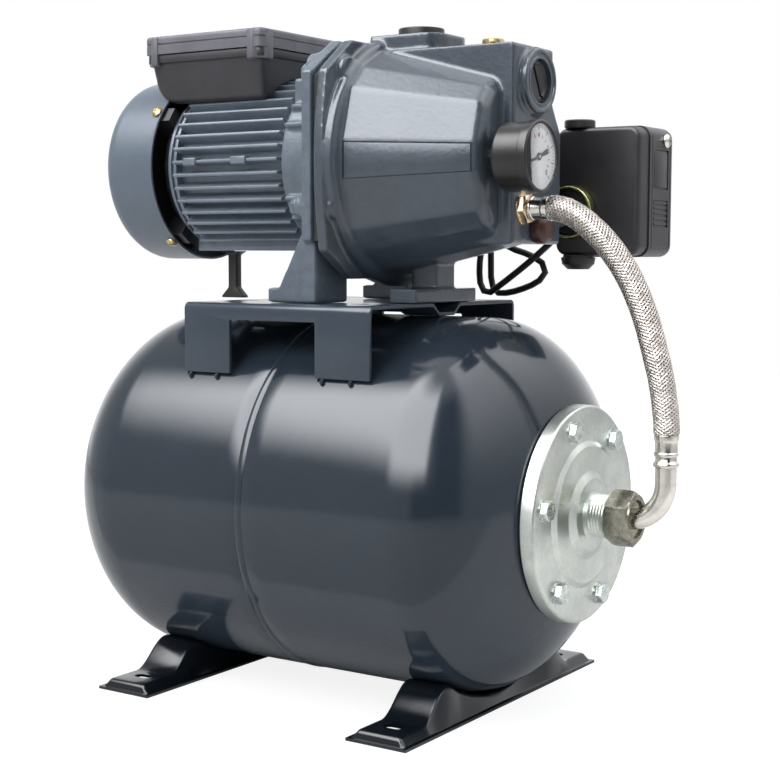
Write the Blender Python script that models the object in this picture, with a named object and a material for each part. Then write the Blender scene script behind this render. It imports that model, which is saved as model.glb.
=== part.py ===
"""Booster pump set: a self-priming jet pump and its motor on a horizontal pressure tank.

Metres, +Z up, +X from the motor's fan towards the pump's suction port.
X is measured from the tank's middle weld while the set is built; a parent empty then
moves the whole set so that the origin lies under the middle of its outline.
"""
import math

import bmesh
import bpy
from mathutils import Matrix, Vector

mm = 0.001
TAU = 2.0 * math.pi
SEAT_GAP = 0.3 * mm
RUNNING_GAP = 0.3 * mm

# Pressure tank
TANK_RADIUS = 135 * mm
TANK_STRAIGHT = 119 * mm
REAR_DOME_DEPTH = 90 * mm
FRONT_DOME_DEPTH = 84 * mm
TANK_WALL = 1.6 * mm
GROUND_CLEARANCE = 9 * mm
TANK_AXIS_Z = TANK_RADIUS + GROUND_CLEARANCE
SEAM_HALF_WIDTH = 4.5 * mm
SEAM_HEIGHT = 1.0 * mm
OPENING_RADIUS = 50 * mm
COLLAR_RADIUS = 70 * mm
COLLAR_THICKNESS = 5 * mm
COLLAR_STAND = 3.2 * mm
COLLAR_SHARE = math.sqrt(1.0 - (COLLAR_RADIUS / TANK_RADIUS) ** 2)
COLLAR_FACE_X = TANK_STRAIGHT + FRONT_DOME_DEPTH * COLLAR_SHARE + COLLAR_STAND
BLADDER_WALL = 2.5 * mm
BLADDER_CLEARANCE = 4 * mm
VALVE_RADIUS = 6 * mm
VALVE_LENGTH = 14 * mm
VALVE_CAP_RADIUS = 13 * mm
VALVE_CAP_LENGTH = 18 * mm

# Tank flange and its bolts
FLANGE_RADIUS = 76 * mm
FLANGE_PLATE = 4 * mm
FLANGE_RIM_WALL = 2.6 * mm
FLANGE_RIM_DEPTH = 11 * mm
FLANGE_STEP_RADIUS = 47 * mm
FLANGE_STEP = 2.5 * mm
FLANGE_HUB_RADIUS = 27 * mm
FLANGE_HUB_STEP = 3.5 * mm
FLANGE_BOLTS = 6
FLANGE_BOLT_CIRCLE = 63 * mm
FLANGE_BOLT_START = math.radians(50)
M8_RADIUS = 4 * mm
M8_HOLE_RADIUS = 4.5 * mm
M8_ACROSS_FLATS = 13 * mm
M8_HEAD = 5.5 * mm
NIPPLE_RADIUS = 15 * mm
NIPPLE_LENGTH = 15 * mm
WATER_BORE = 9 * mm

# Pressed feet
FOOT_HALF_LENGTH = 138 * mm
FOOT_WIDTH = 42 * mm
FOOT_TOP_WIDTH = 33 * mm
FOOT_LIP = 3 * mm
FOOT_SHEET = 2.0 * mm
FOOT_PAD_HEIGHT = 8 * mm
FOOT_PAD_INNER_Y = FOOT_HALF_LENGTH - 32 * mm
FOOT_SHOULDER_Y = 74 * mm
FOOT_SHOULDER_HEIGHT = 29 * mm
FOOT_CONTACT_Y = 60 * mm
FOOT_SLOT_Y = FOOT_HALF_LENGTH - 22 * mm
FOOT_SLOT_LENGTH = 14 * mm
FOOT_SLOT_WIDTH = 8 * mm
REAR_FOOT_X = -107 * mm
FRONT_FOOT_X = 118 * mm

# Bent sheet bracket under the pump
BRACKET_STAND = 9.5 * mm
BRACKET_TOP_Z = TANK_AXIS_Z + TANK_RADIUS + BRACKET_STAND
BRACKET_SHEET = 2.5 * mm
BRACKET_HALF_WIDTH = 100 * mm
BRACKET_BEND = 5 * mm
BRACKET_REAR_X = -77 * mm
BRACKET_FRONT_X = 87 * mm
WINDOW_REAR_X = -35 * mm
WINDOW_FRONT_X = 41 * mm
WINDOW_TOP_BELOW_PLATE = 12 * mm
TROUGH_START_X = 46 * mm
TROUGH_FULL_X = 58 * mm
TROUGH_HALF_TOP = 20 * mm
TROUGH_HALF_FLOOR = 9 * mm
PLATE_SLOT_X = 56 * mm
PLATE_SLOT_Y = 66 * mm
PLATE_SLOT_LENGTH = 16 * mm
PLATE_SLOT_WIDTH = 8 * mm

# Motor; its axis height leaves room for the pump barrel over the bracket
BARREL_BACK_RADIUS = 89 * mm
PUMP_CLEARANCE = 12.5 * mm
SHAFT_Z = BRACKET_TOP_Z + BARREL_BACK_RADIUS + PUMP_CLEARANCE
FRAME_REAR_X = -127 * mm
FRAME_FRONT_X = -16 * mm
FIN_REAR_X = -118 * mm
FIN_FRONT_X = -18 * mm
FRAME_RING_RADIUS = 60 * mm
FRAME_RING = 3 * mm
FRAME_BORE = 47 * mm
FRAME_CORE_RADIUS = 55 * mm
FIN_TIP_RADIUS = 66 * mm
FIN_COUNT = 41
FIN_THICKNESS = 2.6 * mm
FIN_ROOT_THICKNESS = 3.6 * mm
FRAME_FLAT_BELOW_AXIS = 64 * mm
STATOR_LENGTH = 66 * mm
STATOR_CENTRE_X = -72 * mm
ROTOR_RADIUS = 29 * mm
AIR_GAP = 0.5 * mm
SHAFT_RADIUS = 7.5 * mm
SHAFT_REAR_X = -177 * mm
SHAFT_FRONT_X = 66 * mm
BEARING_RADIUS = 17.5 * mm
BEARING_WIDTH = 11 * mm
REAR_BEARING_X = -130 * mm
FRONT_BEARING_X = -8 * mm
SHIELD_THICKNESS = 8 * mm
COVER_RADIUS = 70.6 * mm
COVER_SHEET = 1.4 * mm
COVER_RIM_X = -135 * mm
COVER_REAR_X = -186 * mm
COVER_SHOULDER = 13 * mm
COVER_SLOTS = 12
COVER_SLOT_INNER = 17 * mm
COVER_SLOT_OUTER = 52 * mm
COVER_SLOT_WIDTH = 6 * mm
COVER_SCREW_ANGLES = tuple(math.radians(a) for a in (144, 234, 324))
COVER_SCREW_INSET = 5 * mm
SCREW_HEAD_RADIUS = 4.2 * mm
SCREW_HEAD = 2.4 * mm
SCREW_SHANK_RADIUS = 2.2 * mm
FAN_RADIUS = 60 * mm
FAN_BLADES = 8
FAN_HUB_RADIUS = 14 * mm
FAN_REAR_X = -174 * mm
FAN_WIDTH = 26 * mm
FAN_DISC = 2.5 * mm
FAN_BLADE = 2.2 * mm
SUPPORT_X = -111 * mm
SUPPORT_WIDTH = 7.5 * mm
SUPPORT_DEPTH = 7 * mm
SUPPORT_FOOT_WIDTH = 21 * mm
SUPPORT_FOOT_HEIGHT = 8 * mm

# Motor bracket casting; its flange and bolts follow the back of the pump barrel
CASTING_REAR_X = 18 * mm
CASTING_FLANGE = 9 * mm
HUB_EDGE = 2 * mm
HUB_WALL = 11 * mm
CASTING_INSIDE_BARREL = 4 * mm
CASTING_HALF_WIDTH = BARREL_BACK_RADIUS - CASTING_INSIDE_BARREL
HUB_INSIDE_CASTING = 20 * mm
HUB_RADIUS = CASTING_HALF_WIDTH - HUB_INSIDE_CASTING
CASTING_CORNER_WIDTH = 35 * mm
CASTING_CORNER_HEIGHT = 24 * mm
CASTING_SIDE_TOP_Z = SHAFT_Z + CASTING_HALF_WIDTH - CASTING_CORNER_HEIGHT
CASTING_TOP_Z = SHAFT_Z + CASTING_HALF_WIDTH
CASTING_TOP_HALF = CASTING_HALF_WIDTH - CASTING_CORNER_WIDTH
CASTING_SIDE_SHORTER = 28 * mm
CASTING_SIDE_BOTTOM_Z = SHAFT_Z - CASTING_HALF_WIDTH + CASTING_SIDE_SHORTER
CASTING_SKIRT = 14 * mm
CASTING_SKIRT_CORNER = 30 * mm
CASTING_SKIRT_HALF = CASTING_HALF_WIDTH - CASTING_SKIRT_CORNER
FOOT_PAD_REAR_X = -15 * mm
FOOT_PAD_THICKNESS = 10 * mm
FOOT_OUTER_Y = 80 * mm
FOOT_INNER_Y = 40 * mm
GUSSET_TOE_X = -7 * mm
WEB_REAR_X = 14 * mm
RIB_ANGLES = tuple(math.radians(a) for a in (38, 24, -24, -38))

# Pump body casting
GASKET_THICKNESS = 5.4 * mm
GASKET_INSET = 3 * mm
GASKET_LAND = 14 * mm
PUMP_FLANGE = 8 * mm
PUMP_FLANGE_BULGE = 6 * mm
PUMP_FLANGE_BOTTOM_Z = SHAFT_Z - BARREL_BACK_RADIUS + 5 * mm
PUMP_FLANGE_CORNER_Z = PUMP_FLANGE_BOTTOM_Z + 20 * mm
SHOULDER_STEP = 1 * mm
SHOULDER_RADIUS = BARREL_BACK_RADIUS + SHOULDER_STEP
SHOULDER_FRONT_X = 50 * mm
BARREL_FRONT_RADIUS = 63 * mm
BARREL_END_X = 147 * mm
BARREL_NOSE = 6 * mm
BARREL_WALL = 8 * mm
CHAMBER_LAND = 6 * mm
CHAMBER_RADIUS = BARREL_BACK_RADIUS - BARREL_WALL - CHAMBER_LAND
HEAD_FRONT_X = 157 * mm
HEAD_HALF_WIDTH = 29 * mm
HEAD_BELOW_BARREL = 11 * mm
HEAD_TOP_Z = SHAFT_Z + BARREL_BACK_RADIUS - HEAD_BELOW_BARREL
HEAD_BOTTOM_Z = SHAFT_Z - 59 * mm
HEAD_CHEEK_Y = 42 * mm
HEAD_CHEEK_Z = SHAFT_Z + 19 * mm
HEAD_SHOULDER_Z = SHAFT_Z + 40 * mm
SPINE_REAR_X = 60 * mm
DISCHARGE_X = 64 * mm
DISCHARGE_HALF = 28 * mm
DISCHARGE_SIDE = 26 * mm
DISCHARGE_TOP_Z = HEAD_TOP_Z + 12 * mm
DISCHARGE_BORE = 17 * mm
DISCHARGE_PLUG_STAND = 6 * mm
PORT_ROOT_Z = SHAFT_Z + 40 * mm
PORT_BORE = 15 * mm
SUCTION_Z = SHAFT_Z + 53.5 * mm
SUCTION_RING_RADIUS = 22 * mm
SUCTION_RING = 6 * mm
PRIMING_X = 124 * mm
PRIMING_BORE = 6 * mm
GAUGE_Y = -41 * mm
GAUGE_Z = SHAFT_Z - 1 * mm
GAUGE_STEM_RADIUS = 6 * mm
HOSE_PORT_Y = -14 * mm
HOSE_PORT_Z = SHAFT_Z - 34.5 * mm
HOSE_STEM_RADIUS = 7 * mm
DRAIN_Y = 6 * mm
DRAIN_Z = SHAFT_Z - 48 * mm
DRAIN_RADIUS = 11 * mm
DRAIN_LENGTH = 11 * mm
DRAIN_STEM_RADIUS = 5 * mm
SWITCH_PORT_X = 148 * mm
SWITCH_PORT_Z = SHAFT_Z - 35 * mm
SWITCH_STEM_RADIUS = 5.5 * mm
SWITCH_BOSS_Y = 56 * mm
PUMP_LEG_REAR_X = 64 * mm
PUMP_LEG_FRONT_X = 86 * mm
PUMP_LEG_HALF = 13 * mm
PUMP_BAR_HALF = 42 * mm
PUMP_BAR_THICKNESS = 10 * mm
UPPER_BOLT = (CASTING_HALF_WIDTH - 19 * mm, CASTING_HALF_WIDTH - 23 * mm)
LOWER_BOLT = (CASTING_HALF_WIDTH - 9 * mm, 52 * mm - CASTING_HALF_WIDTH)

# Pump internals
IMPELLER_CLEARANCE = 19 * mm
IMPELLER_RADIUS = CHAMBER_RADIUS - IMPELLER_CLEARANCE
IMPELLER_X = 50 * mm
IMPELLER_WIDTH = 12 * mm
IMPELLER_EYE = 18 * mm
IMPELLER_BLADES = 6
IMPELLER_DISC = 2 * mm
DIFFUSER_CLEARANCE = 11 * mm
DIFFUSER_RADIUS = CHAMBER_RADIUS - DIFFUSER_CLEARANCE
DIFFUSER_X = 66 * mm
DIFFUSER_VANES = 6
EJECTOR_RADIUS = 14.6 * mm
EJECTOR_THROAT = 6 * mm
SEAL_RADIUS = 14 * mm

# Terminal box
BOX_REAR_X = -151 * mm
BOX_FRONT_X = -38 * mm
BOX_HALF_WIDTH = 57 * mm
BOX_SPLIT_Z = SHAFT_Z + 85 * mm
BOX_TOP_Z = BOX_SPLIT_Z + 14 * mm
BOX_BOTTOM_Z = SHAFT_Z + 48 * mm
BOX_BOTTOM_INSET = 5 * mm
BOX_REAR_STEP = 5 * mm
BOX_REAR_CURVE = 19 * mm
BOX_WALL = 3 * mm
BOX_FLOOR_Z = SHAFT_Z + 72 * mm
BOX_CORNER = 5 * mm

# Pressure gauge
GAUGE_RADIUS = 24.5 * mm
GAUGE_STAND = 0.8 * mm
GAUGE_DEPTH = 28.2 * mm
GAUGE_BACK_X = HEAD_FRONT_X + GAUGE_STAND
GAUGE_FRONT_X = GAUGE_BACK_X + GAUGE_DEPTH
GAUGE_WALL = 2.2 * mm
BEZEL_LIP = 0.6 * mm
DIAL_DEPTH = 3.4 * mm
DIAL_THICKNESS = 0.8 * mm
LENS_THICKNESS = 1.2 * mm
NEEDLE_LENGTH = 15.5 * mm
NEEDLE_TAIL = 11.5 * mm
NEEDLE_ANGLE = math.radians(200)
NEEDLE_THICKNESS = 0.6 * mm

# Pressure switch
SWITCH_REAR_X = 133 * mm
SWITCH_FRONT_X = 203 * mm
SWITCH_NEAR_Y = 77 * mm
SWITCH_SPLIT_Y = 93 * mm
SWITCH_FAR_Y = 137 * mm
SWITCH_BOTTOM_Z = SHAFT_Z - 68 * mm
SWITCH_TOP_Z = SHAFT_Z + 28 * mm
SWITCH_CORNER = 9 * mm
SWITCH_NUT_RADIUS = 19 * mm
GLAND_X = 150 * mm
GLAND_Y = 84.5 * mm
GLAND_RADIUS = 13 * mm
GLAND_LENGTH = 9 * mm

# Hose and its fittings
HOSE_RADIUS = 9 * mm
FERRULE_RADIUS = 8.4 * mm
FERRULE_LENGTH = 15 * mm
TUBE_RADIUS = 7.2 * mm
TUBE_BORE = 5 * mm
TUBE_SIDES = 12
ELBOW_RADIUS = 26 * mm
ELBOW_RISE = 19 * mm
ELBOW_INSIDE = 5 * mm
UNION_ACROSS_FLATS = 34 * mm
UNION_LENGTH = 17 * mm
UNION_MOUTH = 12.5 * mm
ADAPTOR_ACROSS_FLATS = 19 * mm
ADAPTOR_LENGTH = 6 * mm
HOSE_SHARES = ((0.044, 0.036, 0.216), (0.109, 0.107, 0.362), (0.195, 0.179, 0.520), (0.309, 0.286, 0.666),
               (0.432, 0.500, 0.781), (0.588, 0.750, 0.884), (0.772, 0.929, 0.964))
LEAD_RADIUS = 2.5 * mm
LEAD_PORT_Y = 85 * mm
LEAD_PORT_Z = SWITCH_BOTTOM_Z + 15 * mm
LEAD_SLOPE = ((125, 85, 43), (109, 86, 30.5), (92, 87, 18.5), (78, 88.5, 9.5))
LEAD_FIRST_RISE = ((68, 91, 5), (60, 94, 12), (58.5, 95.5, 30), (63, 95, 45), (75, 93, 46))
LEAD_LOOP = ((90, 91.5, 39.5), (104, 92, 35), (114.5, 92.5, 29.5), (118, 93, 22.5), (112, 94, 15),
             (99, 95, 9.3), (84, 96.5, 5.5))
LEAD_SECOND_RISE = ((72, 99, 5.5), (66, 101, 14), (65, 101.5, 30), (64, 101.5, 60), (52, 101, 95),
                    (34, 100, 127), (2, 99, 158), (-34, 96, 174), (-58, 88, 177.5))
BOX_GLAND_X = -70 * mm
BOX_GLAND_Z = SHAFT_Z + 76 * mm
BOX_GLAND_RADIUS = 9 * mm
BOX_GLAND_LENGTH = 14 * mm

COLOURS = {
    "tank_paint": ((0.075, 0.088, 0.105), 0.18, 0.0),
    "cast_paint": ((0.105, 0.150, 0.175), 0.30, 0.0),
    "frame_paint": ((0.105, 0.150, 0.175), 0.30, 0.0),
    "cover_paint": ((0.160, 0.215, 0.260), 0.32, 0.0),
    "zinc": ((0.720, 0.740, 0.700), 0.35, 1.0),
    "nickel": ((0.740, 0.700, 0.640), 0.25, 1.0),
    "brass": ((0.760, 0.600, 0.300), 0.35, 1.0),
    "steel": ((0.500, 0.500, 0.500), 0.40, 1.0),
    "black_plastic": ((0.045, 0.042, 0.045), 0.45, 0.0),
    "rubber": ((0.020, 0.020, 0.020), 0.80, 0.0),
    "copper_laminate": ((0.300, 0.260, 0.240), 0.50, 0.6),
    "dial_white": ((0.850, 0.850, 0.860), 0.50, 0.0),
    "lens": ((0.900, 0.920, 0.930), 0.05, 0.0),
    "red_plug": ((0.240, 0.090, 0.070), 0.50, 0.0),
    "braid": ((0.600, 0.590, 0.570), 0.40, 1.0),
}


def clear_scene():
    for thing in list(bpy.data.objects):
        bpy.data.objects.remove(thing)


def paint(thing, colour):
    base, roughness, metallic = COLOURS[colour]
    surface = bpy.data.materials.get(colour)
    if surface is None:
        surface = bpy.data.materials.new(colour)
        surface.use_nodes = True
        shader = surface.node_tree.nodes["Principled BSDF"]
        shader.inputs["Base Color"].default_value = (*base, 1.0)
        shader.inputs["Roughness"].default_value = roughness
        shader.inputs["Metallic"].default_value = metallic
        surface.diffuse_color = (*base, 1.0)
    thing.data.materials.clear()
    thing.data.materials.append(surface)
    return thing


def to_object(name, bm, at=(0.0, 0.0, 0.0)):
    """Closed mesh to a linked object with outward faces, round parts shaded smooth."""
    bmesh.ops.recalc_face_normals(bm, faces=bm.faces)
    mesh = bpy.data.meshes.new(name)
    bm.to_mesh(mesh)
    bm.free()
    thing = bpy.data.objects.new(name, mesh)
    thing.location = at
    bpy.context.scene.collection.objects.link(thing)
    return thing


def finish(thing, colour):
    """Give a finished solid its smooth shading and its paint."""
    thing.data.shade_smooth()
    thing.data.set_sharp_from_angle(angle=math.radians(32))
    return paint(thing, colour)


def combine(target, tool, operation):
    """Boolean a tool into the target; the tool is used up."""
    step = target.modifiers.new("combine", 'BOOLEAN')
    step.operation = operation
    step.solver = 'EXACT'
    step.object = tool
    bpy.context.view_layer.update()
    graph = bpy.context.evaluated_depsgraph_get()
    result = bpy.data.meshes.new_from_object(target.evaluated_get(graph))
    target.modifiers.clear()
    target.data = result
    bpy.data.objects.remove(tool)
    return target


def add(target, tool):
    return combine(target, tool, 'UNION')


def cut(target, tool):
    return combine(target, tool, 'DIFFERENCE')


def turned(name, outline, steps, at=(0, 0, 0), along='X', ring=False, phase=0.0):
    """Solid of revolution; the outline is (distance along the axis, radius) points.

    An open outline starts and ends on the axis, a ring outline is a closed loop off it.
    """
    bm = bmesh.new()
    start = Matrix.Rotation(phase, 3, 'X')
    verts = [bm.verts.new(start @ Vector((s, 0.0, r))) for s, r in outline]
    edges = [bm.edges.new(pair) for pair in zip(verts, verts[1:])
             if any(v.co.y ** 2 + v.co.z ** 2 > 0.0 for v in pair)]
    if ring:
        edges.append(bm.edges.new((verts[-1], verts[0])))
    bmesh.ops.spin(bm, geom=verts + edges, cent=(0, 0, 0), axis=(1, 0, 0), angle=TAU, steps=steps)
    bmesh.ops.remove_doubles(bm, verts=bm.verts, dist=1e-6)
    if along != 'X':
        turn = Matrix.Rotation(-TAU / 4, 4, 'Y') if along == 'Z' else Matrix.Rotation(TAU / 4, 4, 'Z')
        bmesh.ops.transform(bm, matrix=turn, verts=bm.verts)
    return to_object(name, bm, at)


def rod(name, radius, start, end, steps=16, at=(0, 0, 0), along='X', phase=0.0):
    """Plain cylinder between two distances along an axis."""
    outline = [(start, 0.0), (start, radius), (end, radius), (end, 0.0)]
    return turned(name, outline, steps, at, along, phase=phase)


def prism(name, outline, low, high, axis='X', at=(0, 0, 0)):
    """A flat outline pushed through along one axis.

    The outline lies in YZ for axis X, in XZ for axis Y and in XY for axis Z.
    """
    place = {
        'X': lambda a, b, c: (c, a, b),
        'Y': lambda a, b, c: (a, c, b),
        'Z': lambda a, b, c: (a, b, c),
    }[axis]
    bm = bmesh.new()
    face = bm.faces.new([bm.verts.new(place(a, b, low)) for a, b in outline])
    result = bmesh.ops.extrude_face_region(bm, geom=[face])
    moved = [item for item in result["geom"] if isinstance(item, bmesh.types.BMVert)]
    shift = Vector(place(0.0, 0.0, high)) - Vector(place(0.0, 0.0, low))
    bmesh.ops.translate(bm, verts=moved, vec=shift)
    return to_object(name, bm, at)


def block(name, x, y, z):
    """Box between three pairs of limits."""
    return prism(name, [(x[0], y[0]), (x[1], y[0]), (x[1], y[1]), (x[0], y[1])], z[0], z[1], 'Z')


def soften(thing, width, segments=2, wanted=None):
    """Round off the edges that a rule picks, or every sharp edge."""
    bm = bmesh.new()
    bm.from_mesh(thing.data)
    sharp = [edge for edge in bm.edges if len(edge.link_faces) == 2
             and edge.calc_face_angle() > math.radians(40)]
    if wanted:
        sharp = [edge for edge in sharp if wanted(edge)]
    bmesh.ops.bevel(bm, geom=sharp, offset=width, offset_type='OFFSET', segments=segments,
                    profile=0.5, affect='EDGES', clamp_overlap=True)
    bm.to_mesh(thing.data)
    bm.free()
    return thing


def runs_along(axis):
    """Rule for soften: the edge is parallel to an axis."""
    def rule(edge):
        step = edge.verts[1].co - edge.verts[0].co
        return abs(step[axis]) > 0.98 * step.length
    return rule


def rounded_box(name, x, y, z, corner, axis=2, segments=3):
    """Box whose edges along one axis are rounded."""
    return soften(block(name, x, y, z), corner, segments, runs_along(axis))


def hexagon(across_flats, phase=0.0):
    corner = across_flats / math.sqrt(3.0)
    return [(corner * math.cos(phase + k * TAU / 6), corner * math.sin(phase + k * TAU / 6))
            for k in range(6)]


def slot_outline(length, width, steps=5):
    """Round-ended slot along the first axis."""
    radius = width / 2
    half = length / 2 - radius
    points = []
    for side in (1, -1):
        for k in range(steps + 1):
            angle = -TAU / 4 + k * TAU / 2 / steps
            points.append((side * (half + radius * math.cos(angle)), side * radius * math.sin(angle)))
    return points


def skin(name, outer, inner):
    """Closed sheet between two nets of points with the same rows and columns."""
    bm = bmesh.new()
    nets = [[[bm.verts.new(p) for p in row] for row in net] for net in (outer, inner)]
    rows, columns = len(outer), len(outer[0])
    for net in nets:
        for i in range(rows - 1):
            for j in range(columns - 1):
                bm.faces.new((net[i][j], net[i + 1][j], net[i + 1][j + 1], net[i][j + 1]))
    front, back = nets
    rim = [(i, 0) for i in range(rows)] + [(rows - 1, j) for j in range(1, columns)]
    rim += [(i, columns - 1) for i in range(rows - 2, -1, -1)]
    rim += [(0, j) for j in range(columns - 2, 0, -1)]
    for (i, j), (k, m) in zip(rim, rim[1:] + rim[:1]):
        bm.faces.new((front[i][j], front[k][m], back[k][m], back[i][j]))
    return to_object(name, bm)


def around(count, start=0.0):
    return [start + k * TAU / count for k in range(count)]


def dome_radius_steps(depth, radius, last_radius, count):
    """Points along an elliptical dome, from its shoulder to a smaller radius."""
    last = math.acos(last_radius / radius)
    return [(depth * math.sin(last * k / count), radius * math.cos(last * k / count))
            for k in range(1, count + 1)]


def holes_in_circle(count, start, circle, radius, low, high, centre):
    """Cutter: a ring of parallel rods along X."""
    bm = bmesh.new()
    for angle in around(count, start):
        y, z = circle * math.cos(angle), circle * math.sin(angle)
        matrix = Matrix.Translation((0.0, y, z)) @ Matrix.Rotation(TAU / 4, 4, 'Y')
        made = bmesh.ops.create_cone(bm, cap_ends=True, segments=8, radius1=radius, radius2=radius,
                                     depth=high - low, matrix=matrix)
        bmesh.ops.translate(bm, verts=made["verts"], vec=((low + high) / 2, 0.0, 0.0))
    return to_object("bolt_holes", bm, centre)


def hex_bolt(name, head_x, shank_end_x, y, z, colour):
    """Hex-head bolt whose head sits at head_x and whose shank runs to shank_end_x."""
    direction = 1.0 if shank_end_x < head_x else -1.0
    seat = head_x + direction * SEAT_GAP
    limits = sorted((seat, seat + direction * M8_HEAD))
    bolt = prism(name, hexagon(M8_ACROSS_FLATS), *limits, 'X', (0, y, z))
    overlap = direction * M8_HEAD / 2
    shank = rod("shank", M8_RADIUS, *sorted((shank_end_x, seat + overlap)), 12, (0, y, z))
    return finish(add(bolt, shank), colour)


# Tank


def tank_shell():
    wall = TANK_WALL
    bead = [(-SEAM_HALF_WIDTH, TANK_RADIUS), (-SEAM_HALF_WIDTH * 0.6, TANK_RADIUS + SEAM_HEIGHT),
            (SEAM_HALF_WIDTH * 0.6, TANK_RADIUS + SEAM_HEIGHT), (SEAM_HALF_WIDTH, TANK_RADIUS)]
    rear = [(-TANK_STRAIGHT - s, r)
            for s, r in dome_radius_steps(REAR_DOME_DEPTH, TANK_RADIUS, VALVE_RADIUS + SEAT_GAP, 6)]
    front = [(TANK_STRAIGHT + s, r)
             for s, r in dome_radius_steps(FRONT_DOME_DEPTH, TANK_RADIUS, COLLAR_RADIUS, 5)]
    outer = rear[::-1] + [(-TANK_STRAIGHT, TANK_RADIUS)] + bead + [(TANK_STRAIGHT, TANK_RADIUS)] + front
    collar = [(COLLAR_FACE_X, COLLAR_RADIUS), (COLLAR_FACE_X, OPENING_RADIUS),
              (COLLAR_FACE_X - COLLAR_THICKNESS, OPENING_RADIUS)]
    inner_radius = TANK_RADIUS - wall
    front_inner = [(TANK_STRAIGHT + s, r) for s, r in dome_radius_steps(
        FRONT_DOME_DEPTH - wall, inner_radius, COLLAR_RADIUS - wall, 4)]
    front_inner = [(min(s, COLLAR_FACE_X - COLLAR_THICKNESS), r) for s, r in front_inner]
    rear_inner = [(-TANK_STRAIGHT - s, r) for s, r in dome_radius_steps(
        REAR_DOME_DEPTH - wall, inner_radius, VALVE_RADIUS + SEAT_GAP, 6)]
    inner = front_inner[::-1] + [(TANK_STRAIGHT, inner_radius), (-TANK_STRAIGHT, inner_radius)] + rear_inner
    shell = turned("tank_shell", outer + collar + inner, 32, (0, 0, TANK_AXIS_Z), ring=True)
    holes = holes_in_circle(FLANGE_BOLTS, FLANGE_BOLT_START, FLANGE_BOLT_CIRCLE, M8_HOLE_RADIUS,
                            COLLAR_FACE_X - 2 * COLLAR_THICKNESS, COLLAR_FACE_X + COLLAR_THICKNESS,
                            (0, 0, TANK_AXIS_Z))
    return finish(cut(shell, holes), "tank_paint")


def flange_plate_x():
    """Rear face of the flange plate: collar, rubber lip and their seat gaps come first."""
    return COLLAR_FACE_X + 2 * SEAT_GAP + BLADDER_WALL


def tank_bladder():
    """Rubber bag whose lip is clamped between the collar and the flange."""
    lip_rear = COLLAR_FACE_X + SEAT_GAP
    lip_front = lip_rear + BLADDER_WALL
    neck = OPENING_RADIUS - 2 * SEAT_GAP
    radius = TANK_RADIUS - TANK_WALL - BLADDER_CLEARANCE
    front_depth = FRONT_DOME_DEPTH - COLLAR_THICKNESS - BLADDER_CLEARANCE - 6 * mm
    rear_depth = REAR_DOME_DEPTH - 3 * BLADDER_CLEARANCE
    front = [(TANK_STRAIGHT + s, r) for s, r in dome_radius_steps(front_depth, radius, neck, 3)]
    rear = [(-TANK_STRAIGHT - s, r) for s, r in dome_radius_steps(rear_depth, radius, 0.0, 3)]
    outer = [(lip_rear, COLLAR_RADIUS), (lip_rear, neck)] + front[::-1]
    outer += [(TANK_STRAIGHT, radius), (-TANK_STRAIGHT, radius)] + rear
    wall = BLADDER_WALL
    front_in = [(TANK_STRAIGHT + s, r)
                for s, r in dome_radius_steps(front_depth - wall, radius - wall, neck - wall, 3)]
    rear_in = [(-TANK_STRAIGHT - s, r)
               for s, r in dome_radius_steps(rear_depth - wall, radius - wall, 0.0, 3)]
    inner = rear_in[::-1] + [(-TANK_STRAIGHT, radius - wall), (TANK_STRAIGHT, radius - wall)] + front_in
    inner += [(lip_front, neck - wall), (lip_front, COLLAR_RADIUS)]
    bag = turned("tank_bladder", outer + inner, 14, (0, 0, TANK_AXIS_Z), ring=True)
    holes = holes_in_circle(FLANGE_BOLTS, FLANGE_BOLT_START, FLANGE_BOLT_CIRCLE, M8_HOLE_RADIUS,
                            lip_rear - BLADDER_WALL, lip_front + BLADDER_WALL, (0, 0, TANK_AXIS_Z))
    return finish(cut(bag, holes), "rubber")


def tank_flange():
    back = flange_plate_x()
    face = back + FLANGE_PLATE
    rim = face - FLANGE_RIM_DEPTH
    step = face + FLANGE_STEP
    hub = step + FLANGE_HUB_STEP
    round_off = 2.5 * mm
    outline = [
        (back, WATER_BORE), (back, FLANGE_RADIUS - FLANGE_RIM_WALL),
        (rim, FLANGE_RADIUS - FLANGE_RIM_WALL), (rim, FLANGE_RADIUS),
        (face - round_off, FLANGE_RADIUS), (face - 0.3 * round_off, FLANGE_RADIUS - 0.5 * round_off),
        (face, FLANGE_RADIUS - 1.4 * round_off),
        (face, FLANGE_STEP_RADIUS + FLANGE_STEP), (step, FLANGE_STEP_RADIUS),
        (step, FLANGE_HUB_RADIUS + FLANGE_HUB_STEP), (hub, FLANGE_HUB_RADIUS - FLANGE_HUB_STEP),
        (hub, NIPPLE_RADIUS + round_off), (hub + round_off, NIPPLE_RADIUS),
        (hub + NIPPLE_LENGTH, NIPPLE_RADIUS), (hub + NIPPLE_LENGTH, WATER_BORE),
    ]
    flange = turned("tank_flange", outline, 32, (0, 0, TANK_AXIS_Z), ring=True)
    holes = holes_in_circle(FLANGE_BOLTS, FLANGE_BOLT_START, FLANGE_BOLT_CIRCLE, M8_HOLE_RADIUS,
                            back - FLANGE_PLATE, face + FLANGE_PLATE, (0, 0, TANK_AXIS_Z))
    return finish(cut(flange, holes), "zinc")


def flange_bolts():
    face = flange_plate_x() + FLANGE_PLATE
    end = COLLAR_FACE_X - COLLAR_THICKNESS - 2 * mm
    bolts = []
    for k, angle in enumerate(around(FLANGE_BOLTS, FLANGE_BOLT_START)):
        y = FLANGE_BOLT_CIRCLE * math.cos(angle)
        z = TANK_AXIS_Z + FLANGE_BOLT_CIRCLE * math.sin(angle)
        bolts.append(hex_bolt(f"flange_bolt_{k + 1}", face, end, y, z, "zinc"))
    return bolts


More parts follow.
